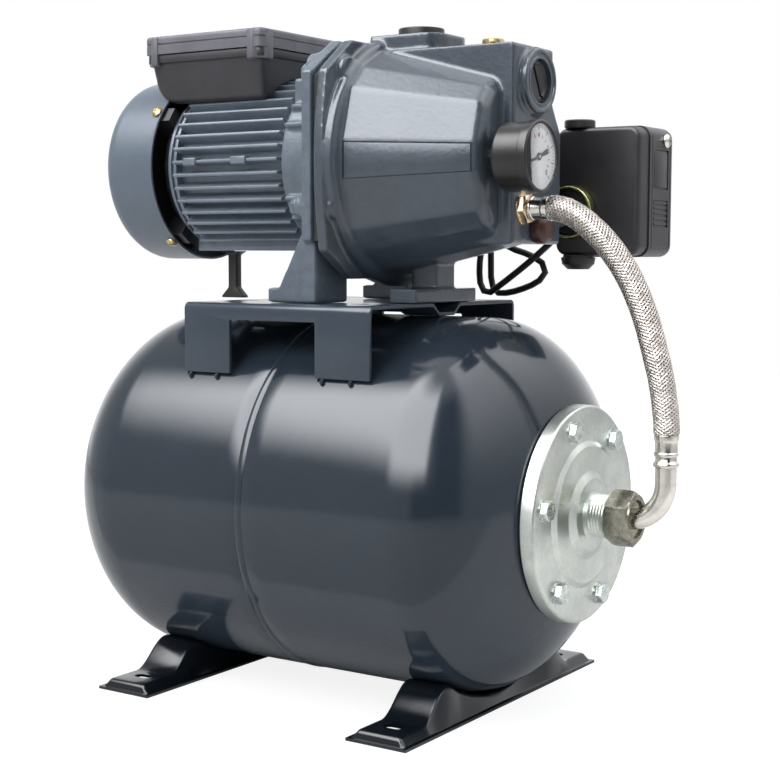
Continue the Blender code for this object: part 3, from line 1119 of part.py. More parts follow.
def pump_body():
    """One casting: rear flange, barrel, ported head, discharge boss and front foot."""
    rear = pump_flange_x()
    outline = casting_outline(CASTING_HALF_WIDTH, CASTING_SIDE_TOP_Z, CASTING_TOP_Z - 1 * mm,
                              CASTING_TOP_HALF + 5 * mm, PUMP_FLANGE_CORNER_Z, PUMP_FLANGE_BOTTOM_Z,
                              CASTING_SKIRT_HALF, PUMP_FLANGE_BULGE)
    body = prism("pump_body", outline, rear, rear + PUMP_FLANGE, 'X')
    shoulder = turned("shoulder", [(rear + PUMP_FLANGE / 2, 0.0), (rear + PUMP_FLANGE / 2, SHOULDER_RADIUS),
                                   (SHOULDER_FRONT_X - 4 * mm, SHOULDER_RADIUS),
                                   (SHOULDER_FRONT_X - 1 * mm, SHOULDER_RADIUS - 3 * mm),
                                   (SHOULDER_FRONT_X, SHOULDER_RADIUS - 8 * mm), (SHOULDER_FRONT_X, 0.0)],
                      34, (0, 0, SHAFT_Z), phase=math.radians(2))
    body = add(body, shoulder)
    body = add(body, barrel())
    head_outline = [(-HEAD_HALF_WIDTH, HEAD_BOTTOM_Z), (-HEAD_HALF_WIDTH, HEAD_TOP_Z),
                    (HEAD_HALF_WIDTH, HEAD_TOP_Z), (HEAD_HALF_WIDTH, HEAD_SHOULDER_Z),
                    (HEAD_CHEEK_Y, HEAD_CHEEK_Z), (HEAD_CHEEK_Y, HEAD_BOTTOM_Z)]
    head = prism("head", head_outline, BARREL_END_X - 20 * mm, HEAD_FRONT_X, 'X')
    head = soften(head, 3 * mm, 2, lambda edge: runs_along(0)(edge)
                  or min(v.co.x for v in edge.verts) > HEAD_FRONT_X - 0.1 * mm)
    body = add(body, head)
    spine = block("spine", (SPINE_REAR_X, HEAD_FRONT_X - 12 * mm), (-HEAD_HALF_WIDTH, HEAD_HALF_WIDTH),
                  (SHAFT_Z + 10 * mm, HEAD_TOP_Z))
    body = add(body, soften(spine, 3 * mm, 2, lambda edge: runs_along(0)(edge)
                            and edge.verts[0].co.z > HEAD_TOP_Z - 1 * mm))
    boss = block("boss", (DISCHARGE_X - DISCHARGE_HALF, DISCHARGE_X + DISCHARGE_HALF),
                 (-DISCHARGE_SIDE, DISCHARGE_SIDE), (PORT_ROOT_Z, DISCHARGE_TOP_Z))
    boss = soften(boss, 18 * mm, 4, lambda edge: runs_along(2)(edge) and edge.verts[0].co.x > DISCHARGE_X)
    body = add(body, boss)
    suction_face = HEAD_FRONT_X + SUCTION_RING
    ring = turned("ring", [(HEAD_FRONT_X - 10 * mm, 0.0), (HEAD_FRONT_X - 10 * mm, SUCTION_RING_RADIUS),
                           (suction_face - 1.5 * mm, SUCTION_RING_RADIUS),
                           (suction_face, SUCTION_RING_RADIUS - 1.5 * mm), (suction_face, 0.0)],
                  28, (0, 0, SUCTION_Z))
    body = add(body, ring)
    cheek = rod("cheek", SWITCH_STEM_RADIUS + 6 * mm, HEAD_HALF_WIDTH, SWITCH_BOSS_Y, 16,
                (SWITCH_PORT_X, 0, SWITCH_PORT_Z), 'Y')
    body = add(body, cheek)
    low = BRACKET_TOP_Z + SEAT_GAP
    leg = block("leg", (PUMP_LEG_REAR_X, PUMP_LEG_FRONT_X), (-PUMP_LEG_HALF, PUMP_LEG_HALF),
                (low, SHAFT_Z - BARREL_FRONT_RADIUS))
    body = add(body, leg)
    bar = rounded_box("bar", (PUMP_LEG_REAR_X, PUMP_LEG_FRONT_X + 1 * mm), (-PUMP_BAR_HALF, PUMP_BAR_HALF),
                      (low, low + PUMP_BAR_THICKNESS), 4 * mm)
    body = add(body, bar)
    taper = (BARREL_BACK_RADIUS - BARREL_FRONT_RADIUS) * 0.9
    back_bore = CHAMBER_RADIUS
    chamber = turned("chamber", [(rear - 5 * mm, 0.0), (rear - 5 * mm, back_bore), (rear + PUMP_FLANGE, back_bore),
                                 (BARREL_END_X - 16 * mm, back_bore - taper),
                                 (BARREL_END_X - 10 * mm, back_bore - taper - 8 * mm),
                                 (BARREL_END_X - 10 * mm, 0.0)], 32, (0, 0, SHAFT_Z))
    body = cut(body, chamber)
    suction = turned("suction", [(BARREL_END_X - 22 * mm, 0.0), (BARREL_END_X - 22 * mm, PORT_BORE),
                                 (suction_face + 5 * mm, PORT_BORE), (suction_face + 5 * mm, 0.0)],
                     24, (0, 0, SUCTION_Z))
    body = cut(body, suction)
    passage = block("passage", (BARREL_END_X - 22 * mm, BARREL_END_X - 8 * mm), (-9 * mm, 9 * mm),
                    (SHAFT_Z, SUCTION_Z))
    body = cut(body, passage)
    body = cut(body, rod("discharge", DISCHARGE_BORE, PORT_ROOT_Z - 10 * mm, DISCHARGE_TOP_Z + 5 * mm, 24,
                         (DISCHARGE_X, 0, 0), 'Z'))
    body = cut(body, rod("priming", PRIMING_BORE + SEAT_GAP, PORT_ROOT_Z - 20 * mm, HEAD_TOP_Z + 5 * mm, 12,
                         (PRIMING_X, 0, 0), 'Z'))
    reach = (BARREL_END_X - 16 * mm, HEAD_FRONT_X + 10 * mm)
    body = cut(body, rod("gauge", GAUGE_STEM_RADIUS + SEAT_GAP, *reach, 12, (0, GAUGE_Y, GAUGE_Z)))
    body = cut(body, rod("hose", HOSE_STEM_RADIUS + SEAT_GAP, *reach, 12, (0, HOSE_PORT_Y, HOSE_PORT_Z)))
    body = cut(body, rod("drain", DRAIN_STEM_RADIUS + SEAT_GAP, HEAD_FRONT_X - 9 * mm,
                         HEAD_FRONT_X + 10 * mm, 12, (0, DRAIN_Y, DRAIN_Z)))
    body = cut(body, rod("switch", SWITCH_STEM_RADIUS + SEAT_GAP, SWITCH_BOSS_Y - 12 * mm,
                         SWITCH_BOSS_Y + 10 * mm, 12, (SWITCH_PORT_X, 0, SWITCH_PORT_Z), 'Y'))
    body = cut(body, body_bolt_holes(rear - 5 * mm, rear + PUMP_FLANGE - 0.5 * mm))
    return finish(body, "cast_paint")


def shaft_seal():
    low, high = CASTING_REAR_X + 1 * mm, IMPELLER_X - 4 * mm
    bore = SHAFT_RADIUS + RUNNING_GAP
    outline = [(low, bore), (low, SEAL_RADIUS), (low + 9 * mm, SEAL_RADIUS), (low + 9 * mm, SEAL_RADIUS - 3 * mm),
               (high, SEAL_RADIUS - 4 * mm), (high, bore)]
    return finish(turned("shaft_seal", outline, 14, (0, 0, SHAFT_Z), ring=True), "rubber")


def impeller():
    """Closed impeller: hub, back disc, curved blades and a front shroud round its eye."""
    rear = IMPELLER_X
    front = rear + IMPELLER_WIDTH
    bore = SHAFT_RADIUS + SEAT_GAP
    back = turned("impeller", [(rear, bore), (rear, IMPELLER_RADIUS), (rear + IMPELLER_DISC, IMPELLER_RADIUS),
                               (rear + IMPELLER_DISC, 14 * mm), (front - 3 * mm, 11 * mm), (front - 3 * mm, bore)],
                  20, (0, 0, SHAFT_Z), ring=True)
    shroud = turned("shroud", [(front - IMPELLER_DISC, IMPELLER_EYE), (front - IMPELLER_DISC, IMPELLER_RADIUS),
                               (front, IMPELLER_RADIUS), (front, IMPELLER_EYE + 2 * mm),
                               (front + 3 * mm, IMPELLER_EYE + 2 * mm), (front + 3 * mm, IMPELLER_EYE)],
                    20, (0, 0, SHAFT_Z), ring=True)
    wheel = back
    for start in around(IMPELLER_BLADES):
        centre = []
        for k in range(4):
            share = k / 3
            radius = IMPELLER_EYE - 2 * mm + (IMPELLER_RADIUS - 1 * mm - IMPELLER_EYE + 2 * mm) * share
            angle = start - share * math.radians(55)
            centre.append(Vector((radius * math.cos(angle), radius * math.sin(angle))))
        sides = []
        for k, point in enumerate(centre):
            step = centre[min(k + 1, 3)] - centre[max(k - 1, 0)]
            normal = Vector((-step.y, step.x)).normalized() * 1.1 * mm
            sides.append((point + normal, point - normal))
        outline = [tuple(a) for a, b in sides] + [tuple(b) for a, b in sides[::-1]]
        blade = prism("blade", outline, rear + IMPELLER_DISC / 2, front - IMPELLER_DISC / 2, 'X', (0, 0, SHAFT_Z))
        wheel = add(wheel, blade)
    return finish(add(wheel, shroud), "brass")


def diffuser():
    """Moulding in front of the impeller: guide plate with vanes and the jet's venturi tube."""
    rear = DIFFUSER_X
    front = BARREL_END_X - 10 * mm - SEAT_GAP
    throat_x = front - 22 * mm
    wide, narrow = EJECTOR_RADIUS, EJECTOR_RADIUS - 3 * mm
    outline = [(rear, narrow), (rear, DIFFUSER_RADIUS), (rear + 3 * mm, DIFFUSER_RADIUS),
               (rear + 3 * mm, wide + 3 * mm), (rear + 16 * mm, wide), (throat_x, EJECTOR_THROAT + 3 * mm),
               (front - 4 * mm, wide - 2 * mm), (front, wide - 2 * mm), (front, narrow - 2 * mm),
               (throat_x, EJECTOR_THROAT)]
    plate = turned("diffuser", outline, 20, (0, 0, SHAFT_Z), ring=True)
    for angle in around(DIFFUSER_VANES):
        vane = prism("vane", [(DIFFUSER_RADIUS - 6.5 * mm, -1.2 * mm), (DIFFUSER_RADIUS - 0.5 * mm, -1.2 * mm),
                              (DIFFUSER_RADIUS - 0.5 * mm, 1.2 * mm), (DIFFUSER_RADIUS - 6.5 * mm, 1.2 * mm)],
                     rear - 16 * mm, rear + 1 * mm, 'X', (0, 0, SHAFT_Z))
        vane.rotation_euler = (angle, 0.0, 0.0)
        plate = add(plate, vane)
    return finish(plate, "black_plastic")


def slotted_plug(name, radius, start, end, at, along, colour, slot_turn):
    """Round plug with a screwdriver slot across its face."""
    chamfer = 0.8 * mm
    outline = [(start, 0.0), (start, radius), (end - chamfer, radius), (end, radius - chamfer), (end, 0.0)]
    plug = turned(name, outline, 18, at, along)
    depth = 2 * mm
    slot = block("slot", (end - depth, end + depth), (-radius * 0.9, radius * 0.9), (-1.5 * mm, 1.5 * mm))
    slot.data.transform(Matrix.Rotation(slot_turn, 4, 'X'))
    if along == 'Z':
        slot.data.transform(Matrix.Rotation(-TAU / 4, 4, 'Y'))
    slot.location = at
    return finish(cut(plug, slot), colour)


def suction_plug():
    face = HEAD_FRONT_X + SUCTION_RING - 3 * mm
    return slotted_plug("suction_plug", PORT_BORE - SEAT_GAP, face - 10 * mm, face, (0, 0, SUCTION_Z), 'X',
                        "black_plastic", math.radians(-62))


def discharge_plug():
    low, high = DISCHARGE_TOP_Z - 10 * mm, DISCHARGE_TOP_Z + DISCHARGE_PLUG_STAND
    return slotted_plug("discharge_plug", DISCHARGE_BORE - SEAT_GAP, low, high, (DISCHARGE_X, 0, 0), 'Z',
                        "black_plastic", 0.3)


def priming_plug():
    """Brass filler plug with a hexagon head and a washer face."""
    seat = HEAD_TOP_Z + SEAT_GAP
    plug = turned("priming_plug", [(seat - 12 * mm, 0.0), (seat - 12 * mm, PRIMING_BORE), (seat, PRIMING_BORE),
                                   (seat, 9.5 * mm), (seat + 2 * mm, 9.5 * mm), (seat + 2 * mm, 0.0)],
                  20, (PRIMING_X, 0, 0), 'Z')
    head = prism("head", hexagon(14 * mm), seat + 1 * mm, seat + 6.5 * mm, 'Z', (PRIMING_X, 0, 0))
    return finish(add(plug, head), "brass")


def drain_plug():
    seat = HEAD_FRONT_X + SEAT_GAP
    outline = [(seat - 8 * mm, 0.0), (seat - 8 * mm, DRAIN_STEM_RADIUS), (seat, DRAIN_STEM_RADIUS),
               (seat, DRAIN_RADIUS), (seat + 0.6 * DRAIN_LENGTH, DRAIN_RADIUS),
               (seat + 0.9 * DRAIN_LENGTH, 0.7 * DRAIN_RADIUS), (seat + DRAIN_LENGTH, 0.35 * DRAIN_RADIUS),
               (seat + DRAIN_LENGTH, 0.0)]
    return finish(turned("drain_plug", outline, 14, (0, DRAIN_Y, DRAIN_Z)), "red_plug")


# Gauge


def gauge_case():
    """Cup with a rolled bezel, on a stem that screws into the barrel's front wall."""
    back, front = GAUGE_BACK_X, GAUGE_FRONT_X
    floor = front - DIAL_DEPTH - DIAL_THICKNESS - SEAT_GAP
    inside = GAUGE_RADIUS - GAUGE_WALL
    stem_end = BARREL_END_X - 8 * mm
    outline = [(stem_end, 0.0), (stem_end, GAUGE_STEM_RADIUS), (back, GAUGE_STEM_RADIUS),
               (back, GAUGE_RADIUS - 3 * mm), (back + 2 * mm, GAUGE_RADIUS - 1 * mm),
               (front - 7 * mm, GAUGE_RADIUS - 1 * mm), (front - 6.5 * mm, GAUGE_RADIUS),
               (front - 1 * mm, GAUGE_RADIUS), (front, GAUGE_RADIUS - 1 * mm), (front, inside), (floor, inside),
               (floor, 0.0)]
    return finish(turned("gauge_case", outline, 24, (0, GAUGE_Y, GAUGE_Z)), "black_plastic")


def dial_x():
    """Front face of the dial."""
    return GAUGE_FRONT_X - DIAL_DEPTH


def gauge_dial():
    radius = GAUGE_RADIUS - GAUGE_WALL - SEAT_GAP
    dial = rod("gauge_dial", radius, dial_x() - DIAL_THICKNESS, dial_x(), 24, (0, GAUGE_Y, GAUGE_Z))
    pin = rod("pin", 0.9 * mm, dial_x() - DIAL_THICKNESS / 2, dial_x() + 1.2 * mm, 8, (0, GAUGE_Y, GAUGE_Z))
    return finish(add(dial, pin), "dial_white")


def gauge_needle():
    """Pointer on the dial's pin; its origin lies on the pin's axis."""
    low = dial_x() + SEAT_GAP
    bore = 0.9 * mm + RUNNING_GAP
    boss = turned("gauge_needle", [(low, bore), (low, 2.6 * mm), (low + NEEDLE_THICKNESS, 2.6 * mm),
                                   (low + NEEDLE_THICKNESS, bore)], 16, (0, GAUGE_Y, GAUGE_Z), ring=True)
    for start, end, wide, narrow in ((2.0 * mm, NEEDLE_LENGTH, 0.8 * mm, 0.3 * mm),
                                     (-2.0 * mm, -NEEDLE_TAIL, 0.9 * mm, 1.5 * mm)):
        blade = prism("blade", [(start, -wide), (end, -narrow), (end, narrow), (start, wide)],
                      low, low + NEEDLE_THICKNESS, 'X', (0, GAUGE_Y, GAUGE_Z))
        blade.rotation_euler = (NEEDLE_ANGLE, 0.0, 0.0)
        boss = add(boss, blade)
    return finish(boss, "black_plastic")


def gauge_lens():
    radius = GAUGE_RADIUS - GAUGE_WALL - SEAT_GAP
    front = GAUGE_FRONT_X - BEZEL_LIP
    return finish(rod("gauge_lens", radius, front - LENS_THICKNESS, front, 24, (0, GAUGE_Y, GAUGE_Z)), "lens")


# Pressure switch


def switch_nipple():
    """Threaded stem and round nut that carry the switch on the pump's far cheek."""
    start = SWITCH_BOSS_Y - 10 * mm
    face = SWITCH_BOSS_Y + SEAT_GAP
    end = SWITCH_NEAR_Y - SEAT_GAP
    outline = [(start, 0.0), (start, SWITCH_STEM_RADIUS), (face, SWITCH_STEM_RADIUS),
               (face, SWITCH_STEM_RADIUS + 4 * mm), (face + 5 * mm, SWITCH_STEM_RADIUS + 4 * mm),
               (face + 6 * mm, SWITCH_STEM_RADIUS + 1 * mm), (end - 7 * mm, SWITCH_STEM_RADIUS + 1 * mm),
               (end - 7 * mm, SWITCH_NUT_RADIUS), (end - 1 * mm, SWITCH_NUT_RADIUS + 1 * mm), (end, SWITCH_NUT_RADIUS),
               (end, 0.0)]
    return finish(turned("switch_nipple", outline, 24, (SWITCH_PORT_X, 0, SWITCH_PORT_Z), 'Y'), "zinc")


def switch_base():
    """Moulded base tray with round bosses for its two cable entries."""
    base = rounded_box("switch_base", (SWITCH_REAR_X, SWITCH_FRONT_X), (SWITCH_NEAR_Y, SWITCH_SPLIT_Y),
                       (SWITCH_BOTTOM_Z, SWITCH_TOP_Z), SWITCH_CORNER, 1)
    base = soften(base, 3 * mm, 2, lambda edge: max(v.co.y for v in edge.verts) < SWITCH_NEAR_Y + 0.1 * mm)
    for z, sign in ((SWITCH_TOP_Z, 1), (SWITCH_BOTTOM_Z, -1)):
        limits = sorted((z - sign * 4 * mm, z + sign * 5 * mm))
        entry = rod("entry", GLAND_RADIUS - 5 * mm, *limits, 20, (GLAND_X, GLAND_Y, 0), 'Z')
        base = add(base, entry)
    bore = rod("bore", LEAD_RADIUS + SEAT_GAP, SWITCH_REAR_X - 10 * mm, SWITCH_REAR_X + 14 * mm, 12,
               (0, LEAD_PORT_Y, LEAD_PORT_Z))
    return finish(cut(base, bore), "black_plastic")


def switch_cover():
    """Deep cover, hollow towards the base, with a sunk panel and a cable window on its side."""
    low = SWITCH_SPLIT_Y + SEAT_GAP
    cover = rounded_box("switch_cover", (SWITCH_REAR_X, SWITCH_FRONT_X), (low, SWITCH_FAR_Y),
                        (SWITCH_BOTTOM_Z, SWITCH_TOP_Z), SWITCH_CORNER, 1)
    cover = soften(cover, 6 * mm, 3, lambda edge: min(v.co.y for v in edge.verts) > SWITCH_FAR_Y - 0.1 * mm)
    wall = 3 * mm
    inside = block("inside", (SWITCH_REAR_X + wall, SWITCH_FRONT_X - wall - 5 * mm), (low - 5 * mm, SWITCH_FAR_Y - wall),
                   (SWITCH_BOTTOM_Z + wall, SWITCH_TOP_Z - wall))
    cover = cut(cover, inside)
    middle = (SWITCH_BOTTOM_Z + SWITCH_TOP_Z) / 2
    for z, height in ((middle + 17 * mm, 30 * mm), (middle - 15 * mm, 20 * mm)):
        panel = block("panel", (SWITCH_FRONT_X - 1.5 * mm, SWITCH_FRONT_X + 5 * mm),
                      (SWITCH_SPLIT_Y + 7 * mm, SWITCH_FAR_Y - 10 * mm), (z - height / 2, z + height / 2))
        cover = cut(cover, panel)
    cover = cut(cover, rod("hole", SCREW_SHANK_RADIUS + SEAT_GAP, SWITCH_FRONT_X - 5 * mm, SWITCH_FRONT_X + 5 * mm,
                           8, (0, switch_screw_y(), switch_screw_z())))
    return finish(cover, "black_plastic")


def switch_screw_y():
    return SWITCH_FAR_Y - 16 * mm


def switch_screw_z():
    return SWITCH_TOP_Z - 10 * mm


def switch_screw():
    seat = SWITCH_FRONT_X + SEAT_GAP
    outline = [(seat - 4 * mm, 0.0), (seat - 4 * mm, SCREW_SHANK_RADIUS), (seat, SCREW_SHANK_RADIUS),
               (seat, SCREW_HEAD_RADIUS + 0.8 * mm), (seat + 1.4 * mm, SCREW_HEAD_RADIUS),
               (seat + 2.4 * mm, SCREW_HEAD_RADIUS * 0.5), (seat + 2.4 * mm, 0.0)]
    return finish(turned("switch_screw", outline, 12, (0, switch_screw_y(), switch_screw_z())), "nickel")


def switch_gland():
    """Blind cap over the switch's lower, spare cable entry."""
    top = SWITCH_BOTTOM_Z - SEAT_GAP
    low = top - GLAND_LENGTH
    inside = top - 5 * mm - 2 * SEAT_GAP
    entry = GLAND_RADIUS - 5 * mm + SEAT_GAP
    outline = [(low, 0.0), (low, GLAND_RADIUS - 5 * mm), (low + 4 * mm, GLAND_RADIUS - 1 * mm),
               (top, GLAND_RADIUS), (top, entry), (inside, entry), (inside, 0.0)]
    gland = turned("switch_gland", outline, 20, (GLAND_X, GLAND_Y, 0), 'Z')
    return finish(gland, "black_plastic")


# Hose


def smooth_route(knots, count, first=None, last=None):
    """Points read evenly from a smooth curve through the knots."""
    points = [Vector(k) for k in knots]
    ghosts = [points[0] * 2 - points[1] if first is None else points[1] - Vector(first) * 2]
    ghosts.append(points[-1] * 2 - points[-2] if last is None else points[-2] + Vector(last) * 2)
    chain = [ghosts[0]] + points + [ghosts[1]]
    fine = []
    for a, b, c, d in zip(chain, chain[1:], chain[2:], chain[3:]):
        for k in range(24):
            t = k / 24
            fine.append(0.5 * ((2 * b) + (c - a) * t + (2 * a - 5 * b + 4 * c - d) * t * t
                               + (3 * b - a - 3 * c + d) * t ** 3))
    fine.append(points[-1])
    lengths = [0.0]
    for p, q in zip(fine, fine[1:]):
        lengths.append(lengths[-1] + (q - p).length)
    even, k = [], 0
    for step in range(count):
        wanted = lengths[-1] * step / (count - 1)
        while k < len(lengths) - 2 and lengths[k + 1] < wanted:
            k += 1
        share = (wanted - lengths[k]) / max(lengths[k + 1] - lengths[k], 1e-12)
        even.append(fine[k].lerp(fine[k + 1], min(max(share, 0.0), 1.0)))
    return even


def tube(name, points, radius, resolution, colour):
    """Round tube along a polyline, as a bevelled curve with closed ends."""
    curve = bpy.data.curves.new(name, 'CURVE')
    curve.dimensions = '3D'
    curve.bevel_depth = radius
    curve.bevel_resolution = resolution
    curve.use_fill_caps = True
    spline = curve.splines.new('POLY')
    spline.points.add(len(points) - 1)
    for place, point in zip(spline.points, points):
        place.co = (*point, 1.0)
    thing = bpy.data.objects.new(name, curve)
    bpy.context.scene.collection.objects.link(thing)
    paint(thing, colour)
    return thing


def elbow_x():
    """Centre of the tube's rising leg."""
    return union_x() + UNION_LENGTH - ELBOW_INSIDE + ELBOW_RADIUS


def union_x():
    """Rear face of the union nut, just past the end of the nipple."""
    hub = flange_plate_x() + FLANGE_PLATE + FLANGE_STEP + FLANGE_HUB_STEP
    return hub + NIPPLE_LENGTH + SEAT_GAP


def union_nut():
    low = union_x()
    face = low + UNION_LENGTH
    nut = prism("union_nut", hexagon(UNION_ACROSS_FLATS, TAU / 12), low, face, 'X', (0, 0, TANK_AXIS_Z))
    inside = TUBE_RADIUS + SEAT_GAP
    bore = turned("bore", [(low - 5 * mm, 0.0), (low - 5 * mm, inside), (low + 8 * mm, inside),
                           (face - 3 * mm, UNION_MOUTH - 1 * mm), (face, UNION_MOUTH),
                           (face + 5 * mm, UNION_MOUTH), (face + 5 * mm, 0.0)], 20, (0, 0, TANK_AXIS_Z))
    nut = cut(nut, bore)
    return finish(nut, "nickel")


def tank_elbow():
    """Bent steel tube with a raised bead below the hose ferrule."""
    low = union_x() + 1 * mm
    corner_x = elbow_x() - ELBOW_RADIUS
    rings = [Vector((low, 0, TANK_AXIS_Z)), Vector((corner_x, 0, TANK_AXIS_Z))]
    for k in range(1, 7):
        angle = k * TAU / 24
        rings.append(Vector((corner_x + ELBOW_RADIUS * math.sin(angle), 0,
                             TANK_AXIS_Z + ELBOW_RADIUS * (1 - math.cos(angle)))))
    top_z = ferrule_z() - SEAT_GAP
    rings.append(Vector((elbow_x(), 0, top_z)))
    bm = bmesh.new()
    shells = []
    for radius in (TUBE_RADIUS, TUBE_BORE):
        loops = []
        for k, centre in enumerate(rings):
            ahead = (rings[min(k + 1, len(rings) - 1)] - rings[max(k - 1, 0)]).normalized()
            up = Vector((0, 1, 0)).cross(ahead)
            loops.append([bm.verts.new(centre + radius * (Vector((0, 1, 0)) * math.cos(a) + up * math.sin(a)))
                          for a in around(TUBE_SIDES)])
        for first, second in zip(loops, loops[1:]):
            for k in range(TUBE_SIDES):
                n = (k + 1) % TUBE_SIDES
                bm.faces.new((first[k], first[n], second[n], second[k]))
        shells.append(loops)
    for end in (0, -1):
        outer, inner = shells[0][end], shells[1][end]
        for k in range(TUBE_SIDES):
            n = (k + 1) % TUBE_SIDES
            bm.faces.new((outer[k], outer[n], inner[n], inner[k]))
    elbow = to_object("tank_elbow", bm)
    bead_z = top_z - 5 * mm
    wide = TUBE_RADIUS + 1.6 * mm
    bead = turned("bead", [(bead_z - 2 * mm, TUBE_RADIUS - 1 * mm), (bead_z - 1 * mm, wide), (bead_z + 1 * mm, wide),
                           (bead_z + 2 * mm, TUBE_RADIUS - 1 * mm)], TUBE_SIDES, (elbow_x(), 0, 0), 'Z', ring=True)
    return finish(add(elbow, bead), "nickel")


def ferrule_z():
    return TANK_AXIS_Z + ELBOW_RADIUS + ELBOW_RISE


def ferrule(name, start, along, at):
    """Crimped sleeve between the tube and the braid, slightly waisted."""
    end = start + FERRULE_LENGTH
    waist = FERRULE_RADIUS - 0.5 * mm
    outline = [(start, 0.0), (start, waist), (start + 2 * mm, FERRULE_RADIUS), (start + 5 * mm, waist),
               (end - 4 * mm, waist), (end - 2 * mm, FERRULE_RADIUS), (end, FERRULE_RADIUS), (end, 0.0)]
    return finish(turned(name, outline, 16, at, along), "nickel")


def hose_adaptor():
    """Hexagon fitting in the pump's front face that the hose screws onto."""
    seat = HEAD_FRONT_X + SEAT_GAP
    stem = rod("stem", HOSE_STEM_RADIUS, seat - 10 * mm, seat + ADAPTOR_LENGTH / 2, 16,
               (0, HOSE_PORT_Y, HOSE_PORT_Z))
    nut = prism("hose_adaptor", hexagon(ADAPTOR_ACROSS_FLATS, 0.2), seat, seat + ADAPTOR_LENGTH, 'X',
                (0, HOSE_PORT_Y, HOSE_PORT_Z))
    return finish(add(nut, stem), "brass")


def upper_ferrule_x():
    return HEAD_FRONT_X + ADAPTOR_LENGTH + 2 * SEAT_GAP


def hose_route():
    """Centre line of the hose from the tank's ferrule up to the pump's, straight at both ends."""
    start = Vector((elbow_x(), 0, ferrule_z() + FERRULE_LENGTH + SEAT_GAP))
    end = Vector((upper_ferrule_x() + FERRULE_LENGTH + SEAT_GAP, HOSE_PORT_Y, HOSE_PORT_Z))
    above = start + Vector((0, 0, 5)) * mm
    beside = end + Vector((4, 0, 0)) * mm
    reach = end - start
    middle = [start + Vector((reach.x * a, reach.y * b, reach.z * c)) for a, b, c in HOSE_SHARES]
    knots = [above] + middle + [beside]
    return [start] + smooth_route(knots, 22, (0, 0, 0.012), (-0.012, 0, 0)) + [end]


def braided_hose():
    return tube("braided_hose", hose_route(), HOSE_RADIUS, 3, "braid")


def lead_route():
    """Centre line of the motor's lead, from the switch behind the pump to the terminal box."""
    start = Vector((SWITCH_REAR_X + 9 * mm, LEAD_PORT_Y, LEAD_PORT_Z))
    outside = Vector((SWITCH_REAR_X - 2 * mm, LEAD_PORT_Y, LEAD_PORT_Z))
    path = LEAD_SLOPE + LEAD_FIRST_RISE + LEAD_LOOP + LEAD_SECOND_RISE
    beside = Vector((BOX_GLAND_X, BOX_HALF_WIDTH + BOX_GLAND_LENGTH + 3 * mm, BOX_GLAND_Z))
    end = Vector((BOX_GLAND_X, BOX_HALF_WIDTH - 5 * mm, BOX_GLAND_Z))
    knots = [outside] + [Vector((x * mm, y * mm, BRACKET_TOP_Z + height * mm)) for x, y, height in path]
    return [start] + smooth_route(knots + [beside], 62, (-0.01, 0, -0.004), (0, -0.01, 0)) + [end]


def motor_lead():
    return tube("motor_lead", lead_route(), LEAD_RADIUS, 2, "rubber")


def build():
    clear_scene()
    pieces = [tank_shell(), tank_bladder(), tank_flange(), *flange_bolts(), air_valve(), air_valve_cap(),
              pressed_foot("rear_foot", REAR_FOOT_X), pressed_foot("front_foot", FRONT_FOOT_X), pump_bracket(),
              motor_frame(), stator(), rotor_shaft(), cooling_fan(), fan_cover(), *cover_screws(), rear_shield(),
              bearing("rear_bearing", REAR_BEARING_X), bearing("front_bearing", FRONT_BEARING_X),
              motor_bracket(), motor_support(), terminal_box_base(), terminal_box_lid(), box_gland(),
              body_gasket(), pump_body(), *body_bolts(), shaft_seal(), impeller(), diffuser(),
              suction_plug(), discharge_plug(), priming_plug(), drain_plug(),
              gauge_case(), gauge_dial(), gauge_needle(), gauge_lens(),
              switch_nipple(), switch_base(), switch_cover(), switch_screw(), switch_gland(),
              union_nut(), tank_elbow(), hose_adaptor(),
              ferrule("upper_ferrule", upper_ferrule_x(), 'X', (0, HOSE_PORT_Y, HOSE_PORT_Z)),
              ferrule("lower_ferrule", ferrule_z(), 'Z', (elbow_x(), 0, 0)),
              braided_hose(), motor_lead()]
    rear = -TANK_STRAIGHT - REAR_DOME_DEPTH - 2 * mm - VALVE_CAP_LENGTH
    front = elbow_x() + HOSE_RADIUS
    origin = bpy.data.objects.new("set_origin", None)
    bpy.context.scene.collection.objects.link(origin)
    origin.location = (-(rear + front) / 2, 0.0, 0.0)
    for piece in pieces:
        piece.parent = origin
    bpy.context.view_layer.update()
    return pieces


build()
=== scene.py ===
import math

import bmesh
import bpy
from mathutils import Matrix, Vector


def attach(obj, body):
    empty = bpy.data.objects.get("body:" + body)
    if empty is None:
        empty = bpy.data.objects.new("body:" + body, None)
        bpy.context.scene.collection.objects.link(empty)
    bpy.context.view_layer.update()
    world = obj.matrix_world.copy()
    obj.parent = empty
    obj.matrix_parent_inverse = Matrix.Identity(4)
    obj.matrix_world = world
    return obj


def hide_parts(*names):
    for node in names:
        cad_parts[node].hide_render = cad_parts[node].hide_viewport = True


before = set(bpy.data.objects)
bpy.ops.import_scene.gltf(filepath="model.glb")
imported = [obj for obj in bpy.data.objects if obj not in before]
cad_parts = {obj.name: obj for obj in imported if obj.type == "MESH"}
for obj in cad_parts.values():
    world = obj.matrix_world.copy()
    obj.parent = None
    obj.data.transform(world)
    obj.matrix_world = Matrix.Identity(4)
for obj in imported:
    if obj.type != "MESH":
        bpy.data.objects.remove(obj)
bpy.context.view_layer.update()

# %% [markdown]
# # Booster pump set
# A pump and its motor stand on a lying pressure tank, with a braided hose between the tank and the
# pump. Each step below says what a piece is on the real set, how it could be made and why it is made
# this way. The solid model that was just loaded gives every place; the pieces made here are the finer
# shapes and finishes that the eye needs. Sizes are in metres, and X is measured from the weld round
# the middle of the tank, so one shift moves every finished mesh to where the set stands.

